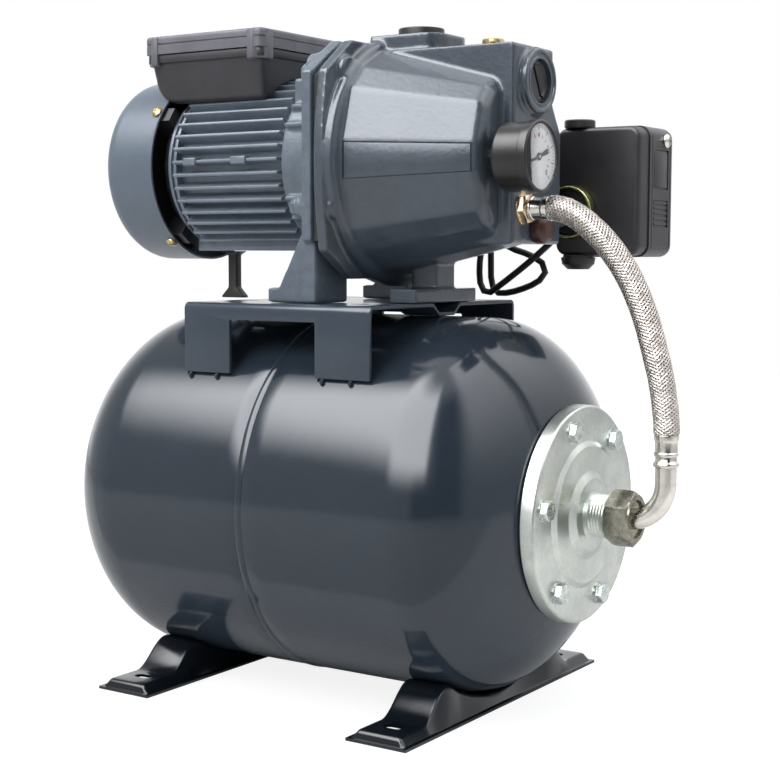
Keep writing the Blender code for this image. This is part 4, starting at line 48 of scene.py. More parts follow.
mm = 0.001
TAU = 2 * math.pi
TANK_Z = 144 * mm
SHAFT_Z = 390 * mm
SHIFT = Matrix.Translation((-20.2128 * mm, 0, 0))
print("the tank's weld lies at x =", SHIFT.translation.x)

# %% [markdown]
# ## Camera
# The set was pictured from its near right corner, from a little more than a metre, with a lens of
# about 73 mm. A camera can be aimed with a Track To constraint, but a matrix made from a viewing
# direction is plain and leaves nothing to evaluate later. The roll is a sixth of a degree.

# %% Camera
yaw, pitch, roll = (math.radians(a) for a in (33.584, 5.032, 0.165))
eye = Vector((0.68606, -0.97685, 0.32559))
forward = Vector((-math.sin(yaw) * math.cos(pitch), math.cos(yaw) * math.cos(pitch), -math.sin(pitch)))
lens = bpy.data.cameras.new("studio_camera")
lens.sensor_width = 36
lens.lens = 72.59
lens.clip_start = 0.05
camera = bpy.data.objects.new("studio_camera", lens)
bpy.context.scene.collection.objects.link(camera)
aim = forward.to_track_quat('-Z', 'Y').to_matrix().to_4x4()
camera.matrix_world = SHIFT @ Matrix.Translation(eye) @ aim @ Matrix.Rotation(roll, 4, 'Z')
bpy.context.scene.camera = camera
bpy.context.scene.view_settings.view_transform = 'Standard'
print("camera stands at", [round(v, 3) for v in camera.matrix_world.translation])

# %% [markdown]
# ## The two cords
# A braided hose carries water from the tank up to the pump, and a rubber lead runs from the pressure
# switch round the back to the terminal box. Both are held at both ends. A cord can be a mesh tube,
# but a curve keeps its centre line, which the braid follows later. The line is read evenly from a
# smooth curve through a few knots, so that the bends have no corners.

# %% Smooth line through knots
def smooth_line(knots, count, first=None, last=None):
    points = [Vector(k) for k in knots]
    before = points[0] * 2 - points[1] if first is None else points[1] - Vector(first) * 2
    after = points[-1] * 2 - points[-2] if last is None else points[-2] + Vector(last) * 2
    chain = [before] + points + [after]
    fine = []
    for a, b, c, d in zip(chain, chain[1:], chain[2:], chain[3:]):
        for k in range(24):
            t = k / 24
            fine.append(0.5 * ((2 * b) + (c - a) * t + (2 * a - 5 * b + 4 * c - d) * t * t
                               + (3 * b - a - 3 * c + d) * t ** 3))
    fine.append(points[-1])
    along = [0.0]
    for p, q in zip(fine, fine[1:]):
        along.append(along[-1] + (q - p).length)
    even, k = [], 0
    for step in range(count):
        wanted = along[-1] * step / (count - 1)
        while k < len(along) - 2 and along[k + 1] < wanted:
            k += 1
        share = (wanted - along[k]) / max(along[k + 1] - along[k], 1e-12)
        even.append(fine[k].lerp(fine[k + 1], min(max(share, 0.0), 1.0)))
    return even


def line_length(points):
    return sum((q - p).length for p, q in zip(points, points[1:]))


def cord_curve(name, points, radius):
    curve = bpy.data.curves.new(name, 'CURVE')
    curve.dimensions = '3D'
    curve.bevel_depth = radius
    curve.bevel_resolution = 6
    curve.use_fill_caps = True
    spline = curve.splines.new('POLY')
    spline.points.add(len(points) - 1)
    for place, point in zip(spline.points, points):
        place.co = (*point, 1.0)
    cord = bpy.data.objects.new(name, curve)
    bpy.context.scene.collection.objects.link(cord)
    return cord


# %% Hose
ELBOW_X = 260.43 * mm
HOSE_START = Vector((ELBOW_X, 0, 204.3 * mm))
HOSE_END_Y, HOSE_END_Z = -14 * mm, 355.5 * mm
HOSE_END = Vector((178.9 * mm, HOSE_END_Y, HOSE_END_Z))
HOSE_RADIUS = 9 * mm
# Each knot is a share of the way from the start to the end, in X, Y and Z.
hose_shares = [(0.044, 0.036, 0.216), (0.109, 0.107, 0.362), (0.195, 0.179, 0.520), (0.309, 0.286, 0.666),
               (0.432, 0.500, 0.781), (0.588, 0.750, 0.884), (0.772, 0.929, 0.964)]
reach = HOSE_END - HOSE_START
hose_knots = [HOSE_START + Vector((reach.x * a, reach.y * b, reach.z * c)) for a, b, c in hose_shares]
hose_knots = [HOSE_START + Vector((0, 0, 5 * mm))] + hose_knots + [HOSE_END + Vector((4 * mm, 0, 0))]
hose_line = [HOSE_START] + smooth_line(hose_knots, 22, (0, 0, 0.012), (-0.012, 0, 0)) + [HOSE_END]
hose_line = [SHIFT @ p for p in hose_line]
hose_core = cord_curve("hose_core", hose_line, HOSE_RADIUS - 0.9 * mm)
print("hose length, mm:", round(1000 * line_length(hose_line), 1))

# %% Lead
LEAD_RADIUS = 2.5 * mm
slope = [(131, 85, 337), (125, 85, 331.5), (109, 86, 319), (92, 87, 307), (78, 88.5, 298)]
first_rise = [(68, 91, 293.5), (60, 94, 300.5), (58.5, 95.5, 318.5), (63, 95, 333.5), (75, 93, 334.5)]
loop = [(90, 91.5, 328), (104, 92, 323.5), (114.5, 92.5, 318), (118, 93, 311), (112, 94, 303.5),
        (99, 95, 297.8), (84, 96.5, 294)]
second_rise = [(72, 99, 294), (66, 101, 302.5), (65, 101.5, 318.5), (64, 101.5, 348.5), (52, 101, 383.5),
               (34, 100, 415.5), (2, 99, 446.5), (-34, 96, 462.5), (-58, 88, 466), (-70, 74, 466)]
lead_knots = [Vector(p) * mm for p in slope + first_rise + loop + second_rise]
lead_line = smooth_line(lead_knots, 62, (-0.01, 0, -0.004), (0, -0.01, 0))
lead_line = [Vector((142, 85, 337)) * mm] + lead_line + [Vector((-70, 52, 466)) * mm]
lead_line = [SHIFT @ p for p in lead_line]
lead = cord_curve("lead", lead_line, LEAD_RADIUS)
print("lead length, mm:", round(1000 * line_length(lead_line), 1))

# %% [markdown]
# ## A way to write finishes
# A finish is a material made of noise, waves and sums. Nodes can be laid out by hand in the shader
# editor; in code, a small class that wraps one socket lets sums be written as sums. A net is one node
# tree, and serves the studio as well. A finish adds its shader and a point that is fixed to the piece,
# so that the grain has a real size.

# %% Sums between sockets
class Amount:
    """One number socket of a net; + - * between amounts make the nodes."""

    def __init__(self, net, socket):
        self.net = net
        self.socket = socket

    def sum(self, operation, *others, swap=False):
        node = self.net.tree.nodes.new("ShaderNodeMath")
        node.operation = operation
        sources = [self, *others]
        for slot, source in zip(node.inputs, sources[::-1] if swap else sources):
            self.net.feed(slot, source)
        return Amount(self.net, node.outputs[0])

    def __add__(self, other):
        return self.sum('ADD', other)

    def __sub__(self, other):
        return self.sum('SUBTRACT', other)

    def __rsub__(self, other):
        return self.sum('SUBTRACT', other, swap=True)

    def __mul__(self, other):
        return self.sum('MULTIPLY', other)

    __radd__ = __add__
    __rmul__ = __mul__

    def ramp(self, low, high):
        """0 below low, 1 above high, smooth between; low may be the larger."""
        return self.net.node("MapRange", {"interpolation_type": 'SMOOTHSTEP'}, Value=self,
                             From_Min=low, From_Max=high)


# %% A net of nodes
class Net:
    """A node tree whose nodes are written as calls: settings first, then sockets by name."""

    def __init__(self, tree):
        self.tree = tree

    def feed(self, slot, source):
        if isinstance(source, Amount):
            self.tree.links.new(source.socket, slot)
        elif hasattr(source, "__len__") and len(slot.default_value) == 4 and len(source) == 3:
            slot.default_value = (*source, 1.0)
        else:
            slot.default_value = source

    def node(self, kind, settings=None, output=0, **sockets):
        """Any node: its settings first, because they decide which sockets it has."""
        node = self.tree.nodes.new("ShaderNode" + kind)
        for name, value in (settings or {}).items():
            setattr(node, name, value)
        for name, source in sockets.items():
            self.feed(node.inputs[name.replace("_", " ")], source)
        return Amount(self, node.outputs[output])

    def tint(self, mask, first, second):
        """Colour that goes from the first to the second as the mask rises."""
        mix = self.tree.nodes.new("ShaderNodeMix")
        mix.data_type = 'RGBA'
        for slot, source in ((mix.inputs[0], mask), (mix.inputs[6], first), (mix.inputs[7], second)):
            self.feed(slot, source)
        return Amount(self, mix.outputs[2])


# %% A finish under construction
class Finish(Net):
    """A principled material whose grain is laid out in the piece's own metres."""

    def __init__(self, name, colour, roughness, metallic=0.0, **more):
        self.material = bpy.data.materials.new(name)
        self.material.use_nodes = True
        super().__init__(self.material.node_tree)
        self.shader = self.tree.nodes["Principled BSDF"]
        self.set(Base_Color=colour, Roughness=roughness, Metallic=metallic, **more)
        self.material.diffuse_color = (*colour, 1.0)
        self.point = self.node("TexCoord", output="Object")

    def set(self, **sockets):
        for name, source in sockets.items():
            self.feed(self.shader.inputs[name.replace("_", " ")], source)
        return self

    def noise(self, size, detail=2.0, point=None):
        """Soft noise from 0 to 1; size is the width of one blotch in metres."""
        return self.node("TexNoise", Vector=point or self.point, Scale=1.0 / size, Detail=detail)

    def axis(self, name):
        return self.node("SeparateXYZ", output=name, Vector=self.point)

    def relief(self, height, depth, strength=1.0, under=None):
        """Bump of a real depth in metres; under is another relief below it."""
        sockets = {"Height": height, "Distance": depth, "Strength": strength}
        if under:
            sockets["Normal"] = under
        return self.node("Bump", output="Normal", **sockets)


def times(colour, factor):
    return tuple(min(1.0, c * factor) for c in colour)


# %% [markdown]
# ## Paints
# The tank is stove-enamelled: a thick glossy film over smooth steel, which has only a faint, wide
# unevenness and mirrors like dark glass. The castings are painted over sand-cast iron, which
# leaves rounded lumps a millimetre or two wide under a shiny skin. The fan cover is pressed sheet with
# a smooth, softer paint. One function makes all of them; what changes is the size and depth of the lumps.

# %% Paints
def paint(name, colour, roughness, lump, depth, coat=0.0, spread=0.10):
    film = Finish(name, colour, roughness, IOR=1.5)
    cloud = film.noise(60 * mm, 3.0)
    patch = film.noise(7 * mm, 2.0)
    shade = cloud * 0.6 + patch * 0.4
    film.set(Base_Color=film.tint(shade.ramp(0.30, 0.70), times(colour, 1 - spread),
                                  times(colour, 1 + spread)))
    film.set(Roughness=roughness - 0.04 + 0.08 * film.noise(14 * mm, 3.0))
    wide = film.relief(film.noise(lump, 1.5), depth)
    film.set(Normal=film.relief(film.noise(lump * 0.34, 1.0), depth * 0.22, under=wide))
    if coat:
        film.set(Coat_Weight=coat, Coat_Roughness=0.03)
    return film.material


tank_enamel = paint("tank_enamel", (0.026, 0.037, 0.052), 0.12, 9 * mm, 0.012 * mm, spread=0.05)
foot_enamel = paint("foot_enamel", (0.004, 0.007, 0.011), 0.14, 6 * mm, 0.03 * mm, spread=0.15)
bracket_enamel = paint("bracket_enamel", (0.045, 0.062, 0.086), 0.22, 7 * mm, 0.02 * mm, spread=0.06)
cast_paint = paint("cast_paint", (0.058, 0.074, 0.095), 0.33, 3.4 * mm, 0.22 * mm, coat=0.5, spread=0.14)
flange_paint = paint("flange_paint", (0.125, 0.155, 0.190), 0.40, 2.2 * mm, 0.24 * mm, coat=0.25,
                     spread=0.22)
# The frame's paint is a real pale blue. It is made lighter still to stand in for the highlight that the
# fins catch from the left softbox, so it is partly painted highlight.
frame_paint_and_highlight = paint("frame_paint_and_highlight", (0.180, 0.215, 0.260), 0.36, 4 * mm, 0.06 * mm, coat=0.3, spread=0.14)
cowl_paint = paint("cowl_paint", (0.122, 0.152, 0.192), 0.34, 5 * mm, 0.02 * mm, spread=0.05)
print("paints:", tank_enamel.name, cast_paint.name, cowl_paint.name)

# %% [markdown]
# ## Metals
# The tank's flange is pressed steel with a pale zinc finish that has a yellowish and bluish bloom and
# faint rings from the press. The tube, nuts and braid are nickel-plated and brighter. Brass shows
# where a fitting isn't plated. Rings can be drawn by taking the distance from an axis as the grain.

# %% Metals
def metal(name, colour, roughness, bloom, grain=0.6 * mm, depth=0.006 * mm, second=None, spread=0.12):
    plate = Finish(name, colour, roughness, 1.0)
    cloud = plate.noise(bloom, 4.0)
    fleck = plate.noise(grain * 3, 3.0)
    first = times(colour, 1 - spread)
    plate.set(Base_Color=plate.tint((cloud * 0.7 + fleck * 0.3).ramp(0.32, 0.68), first,
                                    second or times(colour, 1 + spread)))
    plate.set(Roughness=roughness - 0.06 + 0.14 * plate.noise(bloom * 0.4, 3.0))
    plate.set(Normal=plate.relief(plate.noise(grain, 2.0), depth))
    return plate


zinc = metal("zinc", (0.55, 0.58, 0.56), 0.36, 22 * mm, second=(0.66, 0.68, 0.62)).material
bolt_zinc = metal("bolt_zinc", (0.50, 0.57, 0.60), 0.26, 5 * mm, second=(0.72, 0.74, 0.68)).material
nickel = metal("nickel", (0.70, 0.67, 0.61), 0.20, 8 * mm).material
wire = metal("wire", (0.63, 0.58, 0.54), 0.30, 5 * mm, spread=0.2).material
brass = metal("brass", (0.62, 0.45, 0.18), 0.28, 6 * mm, second=(0.78, 0.62, 0.33)).material
bare_steel = metal("bare_steel", (0.45, 0.45, 0.44), 0.38, 10 * mm).material
windings = metal("windings", (0.32, 0.22, 0.15), 0.45, 4 * mm, depth=0.05 * mm).material
print("metals:", zinc.name, nickel.name, brass.name)

# %% [markdown]
# ## Plastics, rubber and glass
# The terminal box and the switch are moulded in a brown-black plastic with a fine spark-eroded grain.
# The gauge's case is smoother and darker. The lens is clear, with a trace of the moulder's flow marks.

# %% Plastics, rubber and glass
def plastic(name, colour, roughness, grain=0.5 * mm, depth=0.03 * mm, spread=0.12):
    shell = Finish(name, colour, roughness)
    cloud = shell.noise(20 * mm, 3.0)
    shell.set(Base_Color=shell.tint(cloud.ramp(0.3, 0.7), times(colour, 1 - spread),
                                    times(colour, 1 + spread)))
    shell.set(Roughness=roughness - 0.05 + 0.10 * shell.noise(8 * mm, 3.0))
    shell.set(Normal=shell.relief(shell.noise(grain, 2.0), depth))
    return shell.material


box_plastic = plastic("box_plastic", (0.038, 0.037, 0.042), 0.40)
# The lid and its corner pillars are the same brown-black plastic as the tub; their much lighter colour is
# painted sheen, standing in for the soft reflection that the lid shows.
lid_plastic_and_sheen = plastic("lid_plastic_and_sheen", (0.145, 0.143, 0.165), 0.46)
switch_plastic = plastic("switch_plastic", (0.030, 0.028, 0.031), 0.38)
gauge_plastic = plastic("gauge_plastic", (0.014, 0.014, 0.015), 0.28, depth=0.01 * mm)
black_part = plastic("black_part", (0.016, 0.016, 0.018), 0.42)
rubber = plastic("rubber", (0.014, 0.014, 0.015), 0.50, grain=1.2 * mm, depth=0.04 * mm)
red_part = plastic("red_part", (0.060, 0.022, 0.018), 0.35)
dial_enamel = plastic("dial_enamel", (0.80, 0.81, 0.82), 0.50, depth=0.004 * mm, spread=0.03)
needle_paint = plastic("needle_paint", (0.012, 0.012, 0.013), 0.30)

glass = Finish("glass", (1.0, 1.0, 1.0), 0.02, Transmission_Weight=1.0, IOR=1.45)
glass.set(Roughness=0.01 + 0.03 * glass.noise(9 * mm, 2.0),
          Normal=glass.relief(glass.noise(12 * mm, 1.0), 0.01 * mm))
glass = glass.material
print("plastics:", box_plastic.name, gauge_plastic.name, "and", glass.name)

# %% [markdown]
# ## The pieces inside
# The rotor, its fan, the bearings, the rubber bag in the tank and the wheels in the pump are already
# solid pieces of the right shape, and are seen only through slots and gaps. They keep their shape and
# get a finish of their own.

# %% Finishes for the solid pieces
inside = {
    rubber: ("tank_bladder", "body_gasket", "shaft_seal"),
    windings: ("stator",),
    bare_steel: ("rotor_shaft", "rear_bearing", "front_bearing"),
    # The rear shield gets the black finish as painted shade: it stands in for the shadow inside the rim
    # of the fan cover.
    black_part: ("cooling_fan", "diffuser", "motor_support", "air_valve_cap", "rear_shield"),
    brass: ("impeller", "air_valve"),
}
for material, names in inside.items():
    for name in names:
        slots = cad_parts[name].material_slots
        for place in slots:
            place.material = material
print("solid pieces that keep their shape:", sum(len(names) for names in inside.values()))

# %% [markdown]
# ## Studio
# Glossy enamel shows what is round it, so what it mirrors matters as much as the lamps. The studio has
# a very large softbox to the left, a weaker one to the right and a dark gap between them, where the
# camera stands. Lamps light the set; mirror rays see the softboxes as soft patches of the sky instead,
# because a patch can have a soft edge. The patches are written with the direction's two angles, in
# degrees. To the camera the room is plain white.

# %% Sky
room = bpy.data.worlds.new("room")
bpy.context.scene.world = room
room.use_nodes = True
room.node_tree.nodes.clear()
sky = Net(room.node_tree)
direction = sky.node("TexCoord", output="Generated")
east, north, up = (sky.node("SeparateXYZ", output=axis, Vector=direction) for axis in "XYZ")
DEGREES = 360 / TAU
azimuth = north.sum('ARCTAN2', east) * DEGREES
height = up.sum('ARCSINE') * DEGREES


def patch(value, start, full, less, end):
    """Rises from start to full and falls again from less to end."""
    return value.ramp(start, full) * (1.0 - value.ramp(less, end))


lower_edge = (azimuth * -1.0 - 112.0).sum('MAXIMUM', 0.0) * 0.45 + 20.0
box_height = (height - lower_edge).ramp(-9, 10) * (1.0 - height.ramp(64, 82))
left_box = patch(azimuth, -176, -150, -66, -58) * box_height
right_box = patch(azimuth, -26, -8, 60, 95) * height.ramp(5, 62)
gap = patch(azimuth, -84, -72, -32, -18) * (1.0 - height.ramp(8, 26))
gap = gap.sum('MAXIMUM', patch(azimuth, -58, -50, -30, -20) * (1.0 - height.ramp(58, 72)))
back_wall = patch(azimuth, 66, 100, 150, 178) * (1.0 - height.ramp(18, 50))
LEFT_LEVEL, RIGHT_LEVEL, WALL_LEVEL, ROOM_LEVEL, GAP_DEPTH = 9.0, 2.6, 0.7, 0.6, 0.93
level = left_box * LEFT_LEVEL + right_box * RIGHT_LEVEL + back_wall * WALL_LEVEL
level = (level + height.ramp(55, 80) + ROOM_LEVEL) * (1.0 - gap * GAP_DEPTH)

camera_ray, mirror_ray = (sky.node("LightPath", output=name)
                          for name in ("Is Camera Ray", "Is Glossy Ray"))
mirrored = sky.node("Background", Color=(0.97, 0.98, 1.0), Strength=level)
soft = sky.node("Background", Color=(0.95, 0.97, 1.0), Strength=0.30)
plain = sky.node("Background", Color=(1.0, 1.0, 1.0), Strength=1.0)


def choice(net, factor, first, second):
    mix = net.tree.nodes.new("ShaderNodeMixShader")
    for slot, source in zip(mix.inputs, (factor, first, second)):
        net.feed(slot, source)
    return Amount(net, mix.outputs[0])


world_output = sky.tree.nodes.new("ShaderNodeOutputWorld")
sky.feed(world_output.inputs["Surface"],
         choice(sky, camera_ray, choice(sky, mirror_ray, soft, mirrored), plain))
print("sky nodes:", len(sky.tree.nodes))

# %% [markdown]
# ## Table and lamps
# The set stands on a white table. In mirror rays the part of the table nearest the set is brighter
# than the rest, which gives the tank's belly its bright lower band with a clear edge. To the camera
# the table is nearly as white as the background, so that only the shadow under the set is left of it.

# %% Table
def table():
    bm = bmesh.new()
    bmesh.ops.create_grid(bm, x_segments=1, y_segments=1, size=3.0)
    mesh = bpy.data.meshes.new("table")
    bm.to_mesh(mesh)
    bm.free()
    top = bpy.data.objects.new("table", mesh)
    top.location.z = -0.2 * mm
    bpy.context.scene.collection.objects.link(top)
    paper = Finish("paper", (0.88, 0.88, 0.88), 0.75)
    seen = paper.node("LightPath", output="Is Camera Ray")
    near = paper.axis("Y").ramp(-0.196, -0.188)
    mottle = paper.noise(0.2, 2.0) * 0.02
    paper.set(Base_Color=paper.tint(seen, paper.tint(near, (0.62, 0.62, 0.62), (0.95, 0.95, 0.95)),
                                    (0.22, 0.22, 0.22)))
    paper.set(Emission_Color=paper.tint(seen, (0.0, 0.0, 0.0), (0.86, 0.86, 0.86)), Emission_Strength=1.0)
    paper.set(Roughness=0.74 + mottle)
    top.data.materials.append(paper.material)
    return top


table()


# %% Softboxes
def softbox(name, place, target, size, power):
    lamp = bpy.data.lights.new(name, 'AREA')
    lamp.shape = 'RECTANGLE'
    lamp.size, lamp.size_y = size
    lamp.energy = power
    thing = bpy.data.objects.new(name, lamp)
    way = Vector(target) - Vector(place)
    thing.matrix_world = Matrix.Translation(place) @ way.to_track_quat('-Z', 'Y').to_matrix().to_4x4()
    thing.visible_glossy = False
    bpy.context.scene.collection.objects.link(thing)
    return thing


softbox("key", (-0.75, -1.35, 1.5), (0, 0, 0.25), (1.5, 1.1), 26)
softbox("side", (1.6, 0.5, 1.2), (0.1, 0, 0.25), (1.0, 1.2), 12)
softbox("ceiling", (0.0, 0.2, 2.1), (0, 0, 0.2), (1.8, 1.8), 20)

# %% [markdown]
# ## Tools for shapes
# Most pieces are turned, pushed through, or cut from a few such bodies. These helpers are the lathe,
# the press and the file: an outline is spun round an axis, an outline is pushed along an axis, bodies
# are joined or cut, and corners are rounded. They are short, so each piece below stays readable. The
# corners of a turned outline are written as distance along the axis, radius and own rounding.

# %% Lathe, press and file
def solid(name, bm):
    """Closed mesh to an object with outward faces."""
    bmesh.ops.remove_doubles(bm, verts=bm.verts, dist=1e-6)
    bmesh.ops.recalc_face_normals(bm, faces=bm.faces)
    mesh = bpy.data.meshes.new(name)
    bm.to_mesh(mesh)
    bm.free()
    thing = bpy.data.objects.new(name, mesh)
    bpy.context.scene.collection.objects.link(thing)
    return thing


def lay(bm, along, centre):
    """Turn what was made along X to another axis, and move it to its centre."""
    if along != 'X':
        turn = Matrix.Rotation(-TAU / 4, 4, 'Y') if along == 'Z' else Matrix.Rotation(TAU / 4, 4, 'Z')
        bmesh.ops.transform(bm, matrix=turn, verts=bm.verts)
    bmesh.ops.translate(bm, vec=centre, verts=bm.verts)


def turned(name, outline, steps, centre=(0, 0, 0), along='X', ring=False):
    """Lathe: (distance, radius) points spun round the axis; a ring outline is a closed loop."""
    bm = bmesh.new()
    verts = [bm.verts.new((s, 0.0, r)) for s, r in outline]
    edges = [bm.edges.new(pair) for pair in zip(verts, verts[1:]) if any(v.co.z > 0 for v in pair)]
    if ring:
        edges.append(bm.edges.new((verts[-1], verts[0])))
    bmesh.ops.spin(bm, geom=verts + edges, cent=(0, 0, 0), axis=(1, 0, 0), angle=TAU, steps=steps)
    lay(bm, along, centre)
    return solid(name, bm)


def prism(name, outline, low, high, along='X', centre=(0, 0, 0)):
    """Press: an outline in YZ, XZ or XY pushed along X, Y or Z."""
    place = {'X': lambda a, b, c: (c, a, b),
             'Y': lambda a, b, c: (a, c, b),
             'Z': lambda a, b, c: (a, b, c)}[along]
    bm = bmesh.new()
    ends = []
    for c in (low, high):
        ends.append([bm.verts.new(Vector(place(a, b, c)) + Vector(centre)) for a, b in outline])
    for end in ends:
        bm.faces.new(end)
    for k in range(len(outline)):
        n = (k + 1) % len(outline)
        bm.faces.new((ends[0][k], ends[0][n], ends[1][n], ends[1][k]))
    return solid(name, bm)


def block(name, x, y, z):
    return prism(name, [(x[0], y[0]), (x[1], y[0]), (x[1], y[1]), (x[0], y[1])], z[0], z[1], 'Z')


def rod(name, radius, start, end, steps=48, centre=(0, 0, 0), along='X', edge=0.0):
    """Round bar, with its two edges eased."""
    outline = [(start, 0.0), (start, radius - edge), (start + edge, radius), (end - edge, radius),
               (end, radius - edge), (end, 0.0)]
    if not edge:
        outline = [(start, 0.0), (start, radius), (end, radius), (end, 0.0)]
    return turned(name, outline, steps, centre, along)


def skin(name, outer, inner):
    """Sheet between two nets of points with the same rows and columns."""
    bm = bmesh.new()
    front, back = [[[bm.verts.new(p) for p in row] for row in net] for net in (outer, inner)]
    rows, columns = len(outer), len(outer[0])
    for net in (front, back):
        for i in range(rows - 1):
            for j in range(columns - 1):
                bm.faces.new((net[i][j], net[i + 1][j], net[i + 1][j + 1], net[i][j + 1]))
    rim = [(i, 0) for i in range(rows)] + [(rows - 1, j) for j in range(1, columns)]
    rim += [(i, columns - 1)
            for i in range(rows - 2, -1, -1)] + [(0, j) for j in range(columns - 2, 0, -1)]
    for (i, j), (k, m) in zip(rim, rim[1:] + rim[:1]):
        bm.faces.new((front[i][j], front[k][m], back[k][m], back[i][j]))
    return solid(name, bm)


def changed(thing, kind, **settings):
    """Run one modifier on a piece and keep its result as the mesh."""
    step = thing.modifiers.new("step", kind)
    for name, value in settings.items():
        setattr(step, name, value)
    bpy.context.view_layer.update()
    graph = bpy.context.evaluated_depsgraph_get()
    mesh = bpy.data.meshes.new_from_object(thing.evaluated_get(graph))
    thing.modifiers.clear()
    thing.data = mesh
    return thing


def combined(target, tools, operation):
    for tool in tools:
        changed(target, 'BOOLEAN', operation=operation, solver='EXACT', object=tool)
        bpy.data.objects.remove(tool)
    return target


def joined(target, *tools):
    return combined(target, tools, 'UNION')


def cut(target, *tools):
    return combined(target, tools, 'DIFFERENCE')


def eased(thing, width, segments=3, rule=None, sharp=35):
    """File: round the sharp edges that a rule picks, or all of them."""
    bm = bmesh.new()
    bm.from_mesh(thing.data)
    picked = [e for e in bm.edges if len(e.link_faces) == 2 and e.calc_face_angle() > math.radians(sharp)
              and (rule is None or rule(e))]
    bmesh.ops.bevel(bm, geom=picked, offset=width, offset_type='OFFSET', segments=segments, profile=0.5,
                    affect='EDGES', clamp_overlap=True)
    bm.to_mesh(thing.data)
    bm.free()
    return thing


def along_axis(axis):
    def rule(edge):
        step = edge.verts[1].co - edge.verts[0].co
        return abs(step[axis]) > 0.98 * step.length
    return rule


def in_mm(corners):
    """Corners that are written in millimetres."""
    return [tuple(number * mm for number in corner) for corner in corners]


def filleted(corners, radius, steps=5):
    """Outline whose corners are rounded; a corner may carry its own radius as a third number."""
    points = [tuple(corners[0][:2])]
    for before, corner, after in zip(corners, corners[1:], corners[2:]):
        p = Vector(corner[:2])
        own = corner[2] if len(corner) > 2 else radius
        back, on = Vector(before[:2]) - p, Vector(after[:2]) - p
        opening = back.angle(on)
        if own <= 0:
            points.append(tuple(p))
            continue
        wanted = own if opening > math.radians(170) else own / math.tan(opening / 2)
        reach = min(wanted, 0.48 * back.length, 0.48 * on.length)
        start, end = p + back.normalized() * reach, p + on.normalized() * reach
        for k in range(steps + 1):
            t = k / steps
            points.append(tuple(start * (1 - t) ** 2 + p * (2 * t * (1 - t)) + end * t * t))
    points.append(tuple(corners[-1][:2]))
    return points


def loop_filleted(corners, radius, steps=5):
    """The same for a closed outline."""
    points = filleted([corners[-1], *corners, corners[0]], radius, steps)
    return points[1:-1]


def around(count, start=0.0):
    return [start + k * TAU / count for k in range(count)]


def dressed(thing, finish, nodes=(), body="set", smooth=38):
    """Move a finished piece to its place, shade and paint it, and let it ride on its body."""
    thing.data.transform(SHIFT)
    thing.data.validate()
    thing.data.shade_smooth()
    thing.data.set_sharp_from_angle(angle=math.radians(smooth))
    thing.data.materials.clear()
    thing.data.materials.append(finish)
    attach(thing, body)
    if nodes:
        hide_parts(*nodes)
    print(thing.name, "faces:", len(thing.data.polygons))
    return thing


# %% [markdown]
# ## Repeating pieces
# Bolts, fins and weld dots repeat round a circle or along a row. Geometry Nodes is made for that: one
# piece is placed on many points, and the pattern has named inputs. The tree is built here in code,
# with its settings first, and its result is kept as a plain mesh.

# %% Node trees for shapes
class Pattern:
    """A geometry tree with a few named inputs."""

    def __init__(self, name, **inputs):
        self.tree = bpy.data.node_groups.new(name, 'GeometryNodeTree')
        self.tree.is_modifier = True
        self.sockets = {}
        self.tree.interface.new_socket("Geometry", in_out='OUTPUT', socket_type='NodeSocketGeometry')
        for label, kind in inputs.items():
            made = self.tree.interface.new_socket(label, in_out='INPUT', socket_type="NodeSocket" + kind)
            self.sockets[label] = made.identifier
        self.inputs = self.tree.nodes.new("NodeGroupInput")
        self.output = self.tree.nodes.new("NodeGroupOutput")

    def __getitem__(self, label):
        return self.inputs.outputs[label]

    def node(self, kind, settings=None, result=0, **sockets):
        """Any node; i0, i1 and so on stand for its first sockets where several share a name."""
        node = self.tree.nodes.new(kind)
        for name, value in (settings or {}).items():
            setattr(node, name, value)
        for name, source in sockets.items():
            numbered = name[0] == "i" and name[1:].isdigit()
            slot = node.inputs[int(name[1:]) if numbered else name.replace("_", " ")]
            if isinstance(source, bpy.types.NodeSocket):
                self.tree.links.new(source, slot)
            else:
                slot.default_value = source
        return node.outputs[result]

    def maths(self, operation, *sources):
        return self.node("ShaderNodeMath", {"operation": operation},
                         **{f"i{k}": s for k, s in enumerate(sources)})

    def made(self, name, geometry, finish, **values):
        """Realise the pattern, paint it and return it as a plain mesh object."""
        whole = self.node("GeometryNodeRealizeInstances", Geometry=geometry)
        painted = self.node("GeometryNodeSetMaterial", Geometry=whole, Material=finish)
        self.tree.links.new(painted, self.output.inputs[0])
        thing = bpy.data.objects.new(name, bpy.data.meshes.new(name))
        bpy.context.scene.collection.objects.link(thing)
        step = thing.modifiers.new("pattern", 'NODES')
        step.node_group = self.tree
        for label, value in values.items():
            step[self.sockets[label]] = value
        bpy.context.view_layer.update()
        graph = bpy.context.evaluated_depsgraph_get()
        mesh = bpy.data.meshes.new_from_object(thing.evaluated_get(graph))
        thing.modifiers.clear()
        thing.data = mesh
        return thing


